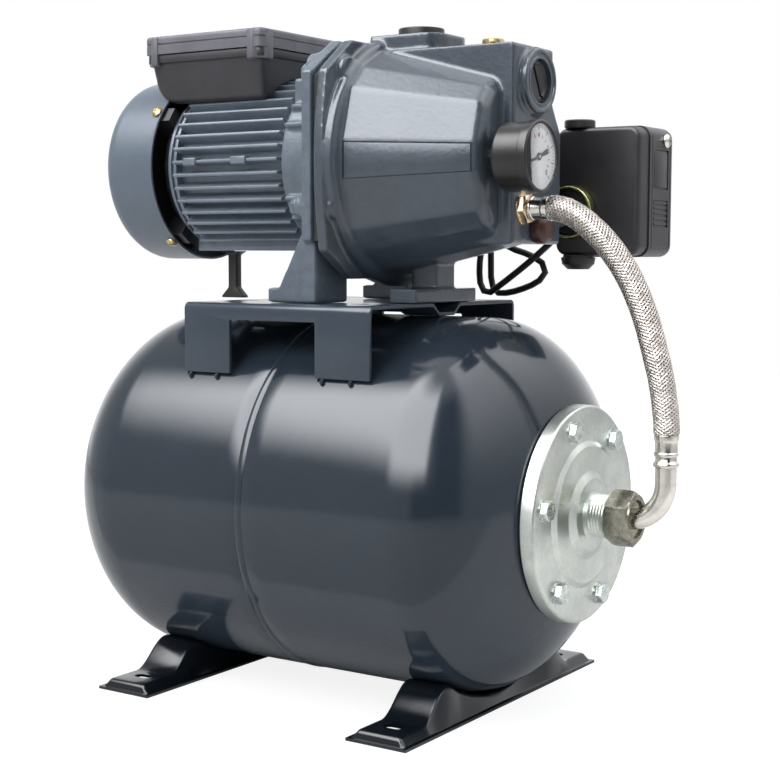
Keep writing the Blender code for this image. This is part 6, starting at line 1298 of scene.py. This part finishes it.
filler_corners = [(456.3, 0, 0), (456.3, 6, 0), (468.3, 6, 0), (468.3, 9.5, 0), (470.3, 9.5, 0.5),
                  (470.3, 6, 0), (473, 6, 0), (473, 0, 0)]
filler = turned("filler", filleted(in_mm(filler_corners), 0.0, 3), 64)
nut = hex_head("nut", 14 * mm, 5.2 * mm, 0.2, 0.8 * mm)
nut.data.transform(Matrix.Translation((469.5 * mm, 0, 0)))
filler = joined(filler, nut)
filler.data.transform(Matrix.Translation((124 * mm, 0, 0)) @ Matrix.Rotation(-TAU / 4, 4, 'Y'))
dressed(filler, brass, ["priming_plug"])

drain_corners = [(149.3, 0, 0), (149.3, 5, 0), (157.3, 5, 0), (157.3, 10.9, 0.5), (163.6, 10.9, 4.0),
                 (167.6, 7.2, 2.5), (168.2, 0, 0)]
drain = turned("drain", filleted(in_mm(drain_corners), 0.0, 6), 72, (0, 6 * mm, 342 * mm))
dressed(drain, red_part, ["drain_plug"])

# %% [markdown]
# ## Terminal box
# A moulded tub sits over the frame, and a lid closes it. The lid has a double line round it, and a
# corner pillar holds its screw. The tub's rear end curves under in a quarter round, so its side view is
# drawn first and pushed across; then its sides are drawn in a little towards the bottom, as a mould
# needs, and its edges are rounded. The saddle under it is the frame's own round.

# %% Terminal box
def tub():
    side_view = [(-41 * mm, 438 * mm), (-40 * mm, 470.5 * mm), (-148.4 * mm, 470.5 * mm),
                 (-146.4 * mm, 459 * mm)]
    for k in range(9):
        a = k * TAU / 32
        side_view.append(((-127 - 19 * math.cos(a)) * mm, (457 - 19 * math.sin(a)) * mm))
    body = prism("tub", side_view, -55.5 * mm, 55.5 * mm, 'Y')
    for v in body.data.vertices:
        v.co.y *= 1 - 0.08 * (470.5 * mm - v.co.z) / (32.5 * mm)
    eased(body, 4.5 * mm, 5, lambda e: min(v.co.z for v in e.verts) < 470 * mm, 25)
    rim = eased(block("rim", (-151 * mm, -38.4 * mm), (-57 * mm, 57 * mm), (468.5 * mm, 474.8 * mm)),
                5 * mm, 6, along_axis(2))
    body = joined(body, eased(rim, 0.8 * mm, 2, sharp=50))
    saddle = turned("saddle", [(-190 * mm, 0), (-190 * mm, 71.0 * mm), (-133 * mm, 71.0 * mm),
                               (-127 * mm, 66.6 * mm), (-20 * mm, 66.6 * mm), (-20 * mm, 0)], 128, AXIS)
    return cut(body, saddle)


dressed(tub(), box_plastic, ["terminal_box_base"], smooth=35)

# The lid's light colour is painted sheen over the tub's brown-black plastic.
lid = eased(block("lid", (-152.2 * mm, -37.4 * mm), (-58.2 * mm, 58.2 * mm), (475.3 * mm, 489 * mm)),
            5.5 * mm, 6, along_axis(2))
eased(lid, 2.6 * mm, 4, lambda e: min(v.co.z for v in e.verts) > 488.5 * mm)
groove = eased(block("groove", (-160 * mm, -30 * mm), (-66 * mm, 66 * mm), (482.4 * mm, 483.3 * mm)),
               5 * mm, 6, along_axis(2))
keep = eased(block("keep", (-151.4 * mm, -38.2 * mm), (-57.4 * mm, 57.4 * mm), (480 * mm, 486 * mm)),
             5 * mm, 6, along_axis(2))
lid = cut(lid, cut(groove, keep))
dressed(lid, lid_plastic_and_sheen, ["terminal_box_lid"], smooth=35)

# %% Corner pillars of the box
for k, (x, y) in enumerate(((-42, -51.5), (-42, 51.5), (-147, -51.5), (-147, 51.5))):
    sx, sy = (1 if x > -90 else -1), (1 if y > 0 else -1)
    plan = [(x - sx * 9, y - sy * 2), (x - sx * 9, y + sy * 7.4), (x - sx * 3.5, y + sy * 7.4),
            (x + sx * 5.2, y + sy * 0.5), (x + sx * 5.2, y - sy * 7), (x, y - sy * 7)]
    pillar = prism(f"pillar_{k + 1}", in_mm(plan), 464 * mm, 488.2 * mm, 'Z')
    for v in pillar.data.vertices:
        if v.co.z < 470 * mm and (abs(v.co.y) > 55 * mm or v.co.x > -38 * mm or v.co.x < -150 * mm):
            v.co.z += 3 * mm
    pillar = eased(pillar, 0.7 * mm, 2)
    well = rod("well", 2.6 * mm, 484 * mm, 492 * mm, 32, (x * mm, y * mm, 0), 'Z')
    dressed(cut(pillar, well), lid_plastic_and_sheen, smooth=45)

gland_corners = [(49, 2.8, 0), (49, 5.5, 0), (57.4, 5.5, 0), (57.4, 9, 0.4), (62.4, 9, 0.6),
                 (71.2, 6, 0.8), (71.2, 2.8, 0.4)]
gland = turned("box_gland_nut", filleted(in_mm(gland_corners), 0.0, 3), 48, (-70 * mm, 0, 466 * mm), 'Y',
               ring=True)
dressed(gland, black_part, ["box_gland"])

# %% [markdown]
# ## Pressure gauge
# A black cup with a rolled bezel, a white dial with marks and plain numbers, a needle and a lens. The
# marks are a pattern round the dial; they are thin raised prisms, so they stay sharp at any distance.
# The needle is a piece of its own because it turns.

# %% Gauge case, dial and lens
GAUGE = (0, -41 * mm, 389 * mm)
DIAL_X = 182.6 * mm
case_corners = [(139, 0, 0), (139, 6, 0), (157.8, 6, 0), (157.8, 20.5, 1.0), (160.2, 23.4, 2.0),
                (178.8, 23.4, 0.3), (179.4, 24.5, 0.5), (185.2, 24.5, 0.9),
                (186.0, 23.4, 0.6), (185.6, 22.3, 0.3), (181.4, 22.3, 0), (181.4, 0, 0)]
case = turned("gauge_cup", filleted(in_mm(case_corners), 0.0, 4), 128, GAUGE)
brushed = plastic("brushed_cup", (0.020, 0.018, 0.018), 0.30, depth=0.004 * mm)
dressed(case, brushed, ["gauge_case"])
collar_corners = in_mm([(155, 6, 0), (155, 11, 0.8), (157.7, 11, 0.8), (157.7, 6, 0)])
collar = turned("gauge_collar", filleted(collar_corners, 0.0), 64, GAUGE, ring=True)
dressed(collar, black_part)

face_corners = [(181.8 * mm, 0, 0), (181.8 * mm, 22 * mm, 0), (DIAL_X, 22 * mm, 0.2 * mm),
                (DIAL_X, 0.9 * mm, 0), (DIAL_X + 1.2 * mm, 0.9 * mm, 0.2 * mm),
                (DIAL_X + 1.2 * mm, 0, 0)]
face = turned("dial_face", filleted(face_corners, 0.0, 3), 96, GAUGE)
dressed(face, dial_enamel, ["gauge_dial"])

ink = plastic("dial_ink", (0.025, 0.025, 0.028), 0.5)
red_ink = plastic("dial_red_ink", (0.45, 0.05, 0.05), 0.5)
DIAL_START, DIAL_SWEEP = math.radians(225), math.radians(270)


def dial_angle(share):
    """Angle in the YZ plane, seen from the front: the scale runs clockwise from the lower left."""
    return DIAL_START - DIAL_SWEEP * share


def dial_marks(name, count, inner, outer, width, finish):
    mark = block("mark", (0, 0.12 * mm), (inner, outer), (-width / 2, width / 2))
    pattern = Pattern(name + "_pattern", Count='Int', Part='Object')
    index = pattern.node("GeometryNodeInputIndex")
    share = pattern.maths('DIVIDE', index, pattern.maths('SUBTRACT', pattern["Count"], 1.0))
    turn = pattern.maths('SUBTRACT', DIAL_START, pattern.maths('MULTIPLY', share, DIAL_SWEEP))
    points = pattern.node("GeometryNodePoints", Count=pattern["Count"])
    tilt = pattern.node("ShaderNodeCombineXYZ", X=turn, Y=0.0, Z=0.0)
    one = pattern.node("GeometryNodeObjectInfo", result="Geometry", Object=pattern["Part"])
    copies = pattern.node("GeometryNodeInstanceOnPoints", Points=points, Instance=one,
                          Rotation=pattern.node("FunctionNodeEulerToRotation", Euler=tilt))
    moved = pattern.node("GeometryNodeTransform", Geometry=copies,
                         Translation=(DIAL_X, GAUGE[1], GAUGE[2]))
    thing = pattern.made(name, moved, finish, Count=count, Part=mark)
    bpy.data.objects.remove(mark)
    return dressed(thing, finish)


dial_marks("fine_marks", 41, 18.6 * mm, 20.4 * mm, 0.28 * mm, ink)
dial_marks("long_marks", 9, 16.8 * mm, 20.4 * mm, 0.6 * mm, ink)
dial_marks("red_marks", 15, 12.2 * mm, 14.6 * mm, 0.55 * mm, red_ink)


def number(text, share, radius, size, finish):
    """A raised figure on the dial, made from a font and kept as a mesh."""
    letters = bpy.data.curves.new("figure", 'FONT')
    letters.body = text
    letters.size = size
    letters.align_x = 'CENTER'
    letters.align_y = 'CENTER'
    letters.extrude = 0.06 * mm
    figure = bpy.data.objects.new("figure", letters)
    bpy.context.scene.collection.objects.link(figure)
    bpy.context.view_layer.update()
    mesh = bpy.data.meshes.new_from_object(figure.evaluated_get(bpy.context.evaluated_depsgraph_get()))
    bpy.data.objects.remove(figure)
    upright = Matrix(((0, 0, 1, 0), (1, 0, 0, 0), (0, 1, 0, 0), (0, 0, 0, 1)))
    angle = dial_angle(share)
    place = Vector((DIAL_X + 0.06 * mm, GAUGE[1] + radius * math.cos(angle),
                    GAUGE[2] + radius * math.sin(angle)))
    mesh.transform(Matrix.Translation(place) @ upright)
    thing = bpy.data.objects.new(f"figure_{text}", mesh)
    bpy.context.scene.collection.objects.link(thing)
    return dressed(thing, finish)


for k in range(0, 9, 2):
    number(str(k), k / 8, 13.9 * mm if k % 8 else 14.4 * mm, 5.0 * mm, ink)

lens_corners = in_mm([(184.2, 0, 0), (184.2, 22, 0.3), (185.2, 22, 0.3), (185.4, 0, 0)])
lens_disc = turned("lens_disc", filleted(lens_corners, 0.0, 3), 96, GAUGE)
dressed(lens_disc, glass, ["gauge_lens"])

# %% Needle
hub_corners = [(DIAL_X + 0.3 * mm, 1.2 * mm, 0), (DIAL_X + 0.3 * mm, 2.7 * mm, 0.1 * mm),
               (DIAL_X + 0.9 * mm, 2.4 * mm, 0.2 * mm), (DIAL_X + 0.9 * mm, 1.2 * mm, 0)]
needle = turned("pointer", filleted(hub_corners, 0.0, 3), 48, GAUGE, ring=True)
NEEDLE_ANGLE = math.radians(200)
arms = []
for start, end, wide, narrow in ((2.0, 16.2, 0.75, 0.22), (-2.0, -11.5, 1.0, 1.9)):
    outline = in_mm([(start, -wide), (end, -narrow), (end, narrow), (start, wide)])
    arm = prism("arm", outline, DIAL_X + 0.3 * mm, DIAL_X + 0.8 * mm)
    arm.data.transform(Matrix.Translation(GAUGE) @ Matrix.Rotation(NEEDLE_ANGLE, 4, 'X'))
    arms.append(arm)
dressed(joined(needle, *arms), needle_paint, ["gauge_needle"], body="needle")

# %% [markdown]
# ## Pressure switch
# The switch hangs on a threaded nipple behind the pump's head. Its base is a shallow tray, its cover a
# deep one with ribs and sunk windows, held by one domed screw. Cable glands leave it above and below.

# %% Switch
BASE_Y, SPLIT_Y, FAR_Y = 77 * mm, 93 * mm, 137 * mm
tray = eased(block("tray", (134 * mm, 202 * mm), (BASE_Y, SPLIT_Y), (323 * mm, 417 * mm)), 8.5 * mm, 6,
             along_axis(1))
eased(tray, 3.5 * mm, 4, lambda e: max(v.co.y for v in e.verts) < BASE_Y + 0.1 * mm)
hoops = [rod("hoop", 11.5 * mm, z - 3 * mm, z + 3 * mm, 64, (150 * mm, 84.5 * mm, 0), 'Z', 0.8 * mm)
         for z in (420 * mm, 320.6 * mm)]
dressed(joined(tray, *hoops), switch_plastic, ["switch_base"])

hood = eased(block("hood", (133 * mm, 203 * mm), (SPLIT_Y + 0.3 * mm, FAR_Y), (322 * mm, 418 * mm)),
             9 * mm, 6, along_axis(1))
eased(hood, 6 * mm, 5, lambda e: min(v.co.y for v in e.verts) > FAR_Y - 0.1 * mm)
tools = [block("window", (202.0 * mm, 206 * mm), (100 * mm, 126 * mm), (372 * mm, 401 * mm)),
         block("window", (202.0 * mm, 206 * mm), (100 * mm, 126 * mm), (344 * mm, 364 * mm)),
         block("line", (202.4 * mm, 206 * mm), (97 * mm, 97.8 * mm), (326 * mm, 414 * mm)),
         block("line", (202.4 * mm, 206 * mm), (128.5 * mm, 129.3 * mm), (326 * mm, 408 * mm))]
dressed(cut(hood, *tools), switch_plastic, ["switch_cover"])
shutter = eased(block("shutter", (201 * mm, 202.8 * mm), (101.2 * mm, 124.8 * mm),
                      (373.2 * mm, 399.8 * mm)), 0.4 * mm, 2)
dressed(shutter, switch_plastic)
slats = [block("slat", (201 * mm, 202.9 * mm), (101.5 * mm, 124.5 * mm), (z * mm, (z + 2.2) * mm))
         for z in (345.5, 349.5, 353.5, 357.5, 361)]
dressed(eased(joined(*slats), 0.3 * mm, 1), switch_plastic)

dome_screw = pan_screw("dome_screw", 5.2 * mm, 3.2 * mm)
dome_screw.data.transform(Matrix.Translation((203 * mm, 121 * mm, 408 * mm)))
dressed(dome_screw, nickel, ["switch_screw"])

nipple_corners = [(46, 0, 0), (46, 5.5, 0), (56.4, 5.5, 0), (56.4, 9.5, 0.5), (61.3, 9.5, 0.5),
                  (61.3, 6.5, 0.4), (74.2, 6.5, 0.3), (74.2, 16.6, 0.4), (69.7, 17.4, 0.5),
                  (69.7, 19, 0.6), (75.7, 20, 1.5), (76.7, 18, 0.8), (76.7, 0, 0)]
nipple = turned("nipple", filleted(in_mm(nipple_corners), 0.0, 4), 96, SWITCH_PORT, 'Y')
yellow_zinc = metal("yellow_zinc", (0.42, 0.40, 0.14), 0.30, 6 * mm, second=(0.60, 0.62, 0.32)).material
dressed(nipple, yellow_zinc, ["switch_nipple"])
well = turned("nipple_well", [(72.8 * mm, 6.6 * mm), (72.8 * mm, 16.4 * mm), (74.1 * mm, 16.4 * mm),
                              (74.1 * mm, 6.6 * mm)], 64, SWITCH_PORT, 'Y', ring=True)
dressed(well, black_part)
cap_corners = [(312.8, 0, 0), (312.8, 8, 1.0), (316.7, 12, 0.6), (321.7, 13, 0.6), (321.7, 8.3, 0),
               (316.1, 8.3, 0), (316.1, 0, 0)]
gland_cap = turned("gland_cap", filleted(in_mm(cap_corners), 0.0, 3), 64, (150 * mm, 84.5 * mm, 0), 'Z')
dressed(gland_cap, black_part, ["switch_gland"])

# %% [markdown]
# ## Union, tube and ferrules
# A union nut joins the tank's outlet to a bent tube with a raised bead; a crimped ferrule holds the
# braid at each end. The nut's face is open, so that the rolled end of the tube shows inside it. The
# tube is a circle swept along a line with one round corner.

# %% Union nut
def union():
    low, high = 222.4 * mm, 239.4 * mm
    nut = prism("union", hexagon(34 * mm, TAU / 12), low, high, 'X', (0, 0, TANK_Z))
    limits = turned("limits",
                    [(low - 1 * mm, 0), (low - 1 * mm, 17.4 * mm), (low + 1.5 * mm, 19.6 * mm),
                     (high - 2.2 * mm, 19.6 * mm), (high, 16.4 * mm), (high + 0.1 * mm, 0)], 96,
                     (0, 0, TANK_Z))
    nut = eased(combined(nut, [limits], 'INTERSECT'), 0.4 * mm, 2, sharp=20)
    mouth = turned("mouth",
                   [(low - 5 * mm, 0), (low - 5 * mm, 7.6 * mm), (high - 6 * mm, 7.6 * mm),
                    (high - 3 * mm, 13 * mm), (high + 1 * mm, 13.6 * mm), (high + 1 * mm, 0)], 96,
                    (0, 0, TANK_Z))
    return cut(nut, mouth)


union_finish = metal("union_finish", (0.19, 0.19, 0.155), 0.26, 7 * mm,
                     second=(0.34, 0.325, 0.265)).material
dressed(union(), union_finish, ["union_nut"])

# %% Bent tube
def swept(name, line, radii, across, sides=48):
    """Rings of a round tube along a line in the XZ plane."""
    rings = []
    for k, (centre, radius) in enumerate(zip(line, radii)):
        ahead = (line[min(k + 1, len(line) - 1)] - line[max(k - 1, 0)]).normalized()
        up = across.cross(ahead)
        spokes = [across * math.cos(a) + up * math.sin(a) for a in around(sides)]
        rings.append([centre + radius * spoke for spoke in spokes])
    return loft(name, rings)


BEND_RADIUS, TUBE_RADIUS, BEND_STEPS = 26 * mm, 7.2 * mm, 30
corner_x = ELBOW_X - BEND_RADIUS
flare = ((224, 7.2), (229.6, 7.2), (230, 10.5), (232.4, 10.5), (233, 8.6), (233.6, 7.2))
bead = ((181.2, 7.2), (181.8, 8.1), (182.6, 8.7), (183.6, 8.8), (184.4, 8.6), (185.0, 8.0), (186, 7.3),
        (188.6, 7.2))
tube_line = [Vector((x * mm, 0, TANK_Z)) for x, r in flare] + [Vector((corner_x, 0, TANK_Z))]
for k in range(1, BEND_STEPS + 1):
    a = k * TAU / 4 / BEND_STEPS
    tube_line.append(Vector((corner_x + BEND_RADIUS * math.sin(a), 0,
                             TANK_Z + BEND_RADIUS * (1 - math.cos(a)))))
tube_line += [Vector((ELBOW_X, 0, z * mm)) for z in (175, *(z for z, r in bead))]
tube_radii = [r * mm for x, r in flare] + [TUBE_RADIUS] * (BEND_STEPS + 2) + [r * mm for z, r in bead]
tube_bend = swept("bent_tube", tube_line, tube_radii, Vector((0, 1, 0)))
dressed(tube_bend, nickel, ["tank_elbow"], smooth=50)


# %% Ferrules and the pump's fitting
def sleeve(name, node, start, along, centre):
    corners = [(0, 0, 0), (0, 7.7, 0), (0, 7.9, 0.3), (1.0, 8.3, 0.6), (2.2, 8.3, 0.6), (2.8, 7.7, 0.5),
               (9.5, 7.5, 1.0), (10.6, 7.9, 0.5), (11.2, 8.4, 0.4), (14.6, 8.4, 0.3), (15, 8.0, 0.2),
               (15, 0, 0)]
    ring = turned(name, filleted([(start + s * mm, r * mm, own * mm) for s, r, own in corners], 0.0, 3),
                  72, centre, along)
    return dressed(ring, nickel, [node])


sleeve("tank_ferrule", "lower_ferrule", 189 * mm, 'Z', (ELBOW_X, 0, 0))
sleeve("pump_ferrule", "upper_ferrule", 163.6 * mm, 'X', (0, HOSE_END_Y, HOSE_END_Z))
fitting = hex_head("fitting", 19 * mm, 6 * mm, 0.2)
fitting = joined(fitting, rod("stem", 7 * mm, -10 * mm, 1 * mm, 32))
fitting.data.transform(Matrix.Translation((157.3 * mm, HOSE_END_Y, HOSE_END_Z)))
rose_brass = metal("rose_brass", (0.62, 0.44, 0.27), 0.22, 5 * mm, second=(0.82, 0.68, 0.48)).material
dressed(fitting, rose_brass, ["hose_adaptor"])

# %% [markdown]
# ## Braid
# The hose's sleeve is a braid: flat bundles of fine wire wind round the hose both ways and pass over
# and under each other. Each wire is a helix that follows the hose's own line. In Geometry Nodes every
# wire starts as the same straight line of points; the point's share along the line says where on the
# hose it lies, and the wire's number says how far round. A sine along the way lifts it over and under.

# %% Braid of wires
BRAID_LIFT = 0.16 * mm


def braid(name, host, radius, bundles, wires, turns, wire_radius, finish):
    pattern = Pattern(name + "_pattern", Host='Object', Radius='Float', Bundles='Int', Turns='Float',
                      Thickness='Float')
    line = pattern.node("GeometryNodeCurvePrimitiveLine", Start=(0, 0, 0), End=(1, 0, 0))
    line = pattern.node("GeometryNodeResampleCurve", {"mode": 'COUNT'}, Curve=line, Count=300)
    copies = pattern.tree.nodes.new("GeometryNodeDuplicateElements")
    copies.domain = 'SPLINE'
    pattern.tree.links.new(line, copies.inputs["Geometry"])
    pattern.tree.links.new(pattern.maths('MULTIPLY', pattern["Bundles"], 2.0 * wires),
                           copies.inputs["Amount"])
    maths = pattern.maths
    index = copies.outputs["Duplicate Index"]
    share = pattern.node("GeometryNodeSplineParameter", result="Factor")
    bundle = maths('FLOOR', maths('DIVIDE', index, float(wires)))
    member = maths('SUBTRACT', index, maths('MULTIPLY', bundle, float(wires)))
    way = maths('SUBTRACT', 1.0, maths('MULTIPLY', maths('MODULO', bundle, 2.0), 2.0))
    pair = maths('FLOOR', maths('DIVIDE', bundle, 2.0))
    place = maths('DIVIDE', pair, pattern["Bundles"])
    spread = maths('MULTIPLY', maths('SUBTRACT', member, (wires - 1) / 2), 2.05 * wire_radius / radius)
    turned_by = maths('MULTIPLY', share, pattern["Turns"])
    wound = maths('MULTIPLY', maths('MULTIPLY', turned_by, TAU), way)
    angle = maths('ADD', maths('ADD', maths('MULTIPLY', place, TAU), spread), wound)
    crossing = maths('MULTIPLY', turned_by, maths('MULTIPLY', pattern["Bundles"], TAU))
    lift = maths('SINE', maths('ADD', crossing, maths('MULTIPLY', pair, math.pi)))
    lift = maths('MULTIPLY', maths('MULTIPLY', lift, way), pattern["Thickness"])
    reach = maths('ADD', pattern["Radius"], lift)
    curve = pattern.node("GeometryNodeObjectInfo", result="Geometry", Object=pattern["Host"])
    centre_line = pattern.node("GeometryNodeMeshToCurve", Mesh=curve)
    sample = pattern.tree.nodes.new("GeometryNodeSampleCurve")
    sample.mode = 'FACTOR'
    sample.use_all_curves = False
    pattern.tree.links.new(centre_line, sample.inputs["Curves"])
    pattern.tree.links.new(share, sample.inputs["Factor"])
    side = pattern.node("ShaderNodeVectorMath", {"operation": 'CROSS_PRODUCT'},
                        i0=sample.outputs["Tangent"], i1=sample.outputs["Normal"])
    along_normal = pattern.node("ShaderNodeVectorMath", {"operation": 'SCALE'},
                                Vector=sample.outputs["Normal"],
                                Scale=maths('MULTIPLY', maths('COSINE', angle), reach))
    along_side = pattern.node("ShaderNodeVectorMath", {"operation": 'SCALE'}, Vector=side,
                              Scale=maths('MULTIPLY', maths('SINE', angle), reach))
    off = pattern.node("ShaderNodeVectorMath", {"operation": 'ADD'}, i0=along_normal, i1=along_side)
    at = pattern.node("ShaderNodeVectorMath", {"operation": 'ADD'}, i0=sample.outputs["Position"], i1=off)
    wires_laid = pattern.node("GeometryNodeSetPosition", Geometry=copies.outputs["Geometry"], Position=at)
    profile = pattern.node("GeometryNodeCurvePrimitiveCircle", {"mode": 'RADIUS'}, Resolution=4,
                           Radius=wire_radius)
    tubes = pattern.node("GeometryNodeCurveToMesh", Curve=wires_laid, Profile_Curve=profile)
    return pattern.made(name, tubes, finish, Host=host, Radius=radius, Bundles=bundles, Turns=turns,
                        Thickness=BRAID_LIFT)


def line_object(points):
    bm = bmesh.new()
    verts = [bm.verts.new(p) for p in points]
    for pair in zip(verts, verts[1:]):
        bm.edges.new(pair)
    mesh = bpy.data.meshes.new("guide")
    bm.to_mesh(mesh)
    bm.free()
    guide = bpy.data.objects.new("guide", mesh)
    bpy.context.scene.collection.objects.link(guide)
    return guide


guide = line_object(hose_line)
braid_wires = braid("braid_wires", guide, HOSE_RADIUS - 0.42 * mm, 14, 3, 5.5, 0.27 * mm, wire)
bpy.data.objects.remove(guide)
braid_wires.data.shade_smooth()
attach(braid_wires, "set")
print("braid faces:", len(braid_wires.data.polygons))

under_braid = metal("under_braid", (0.30, 0.28, 0.26), 0.45, 4 * mm).material
hose_core.data.materials.append(under_braid)
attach(hose_core, "set")
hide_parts("braided_hose")
line_length(hose_line)

# %% Lead
lead.data.materials.append(rubber)
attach(lead, "set")
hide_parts("motor_lead")
line_length(lead_line)
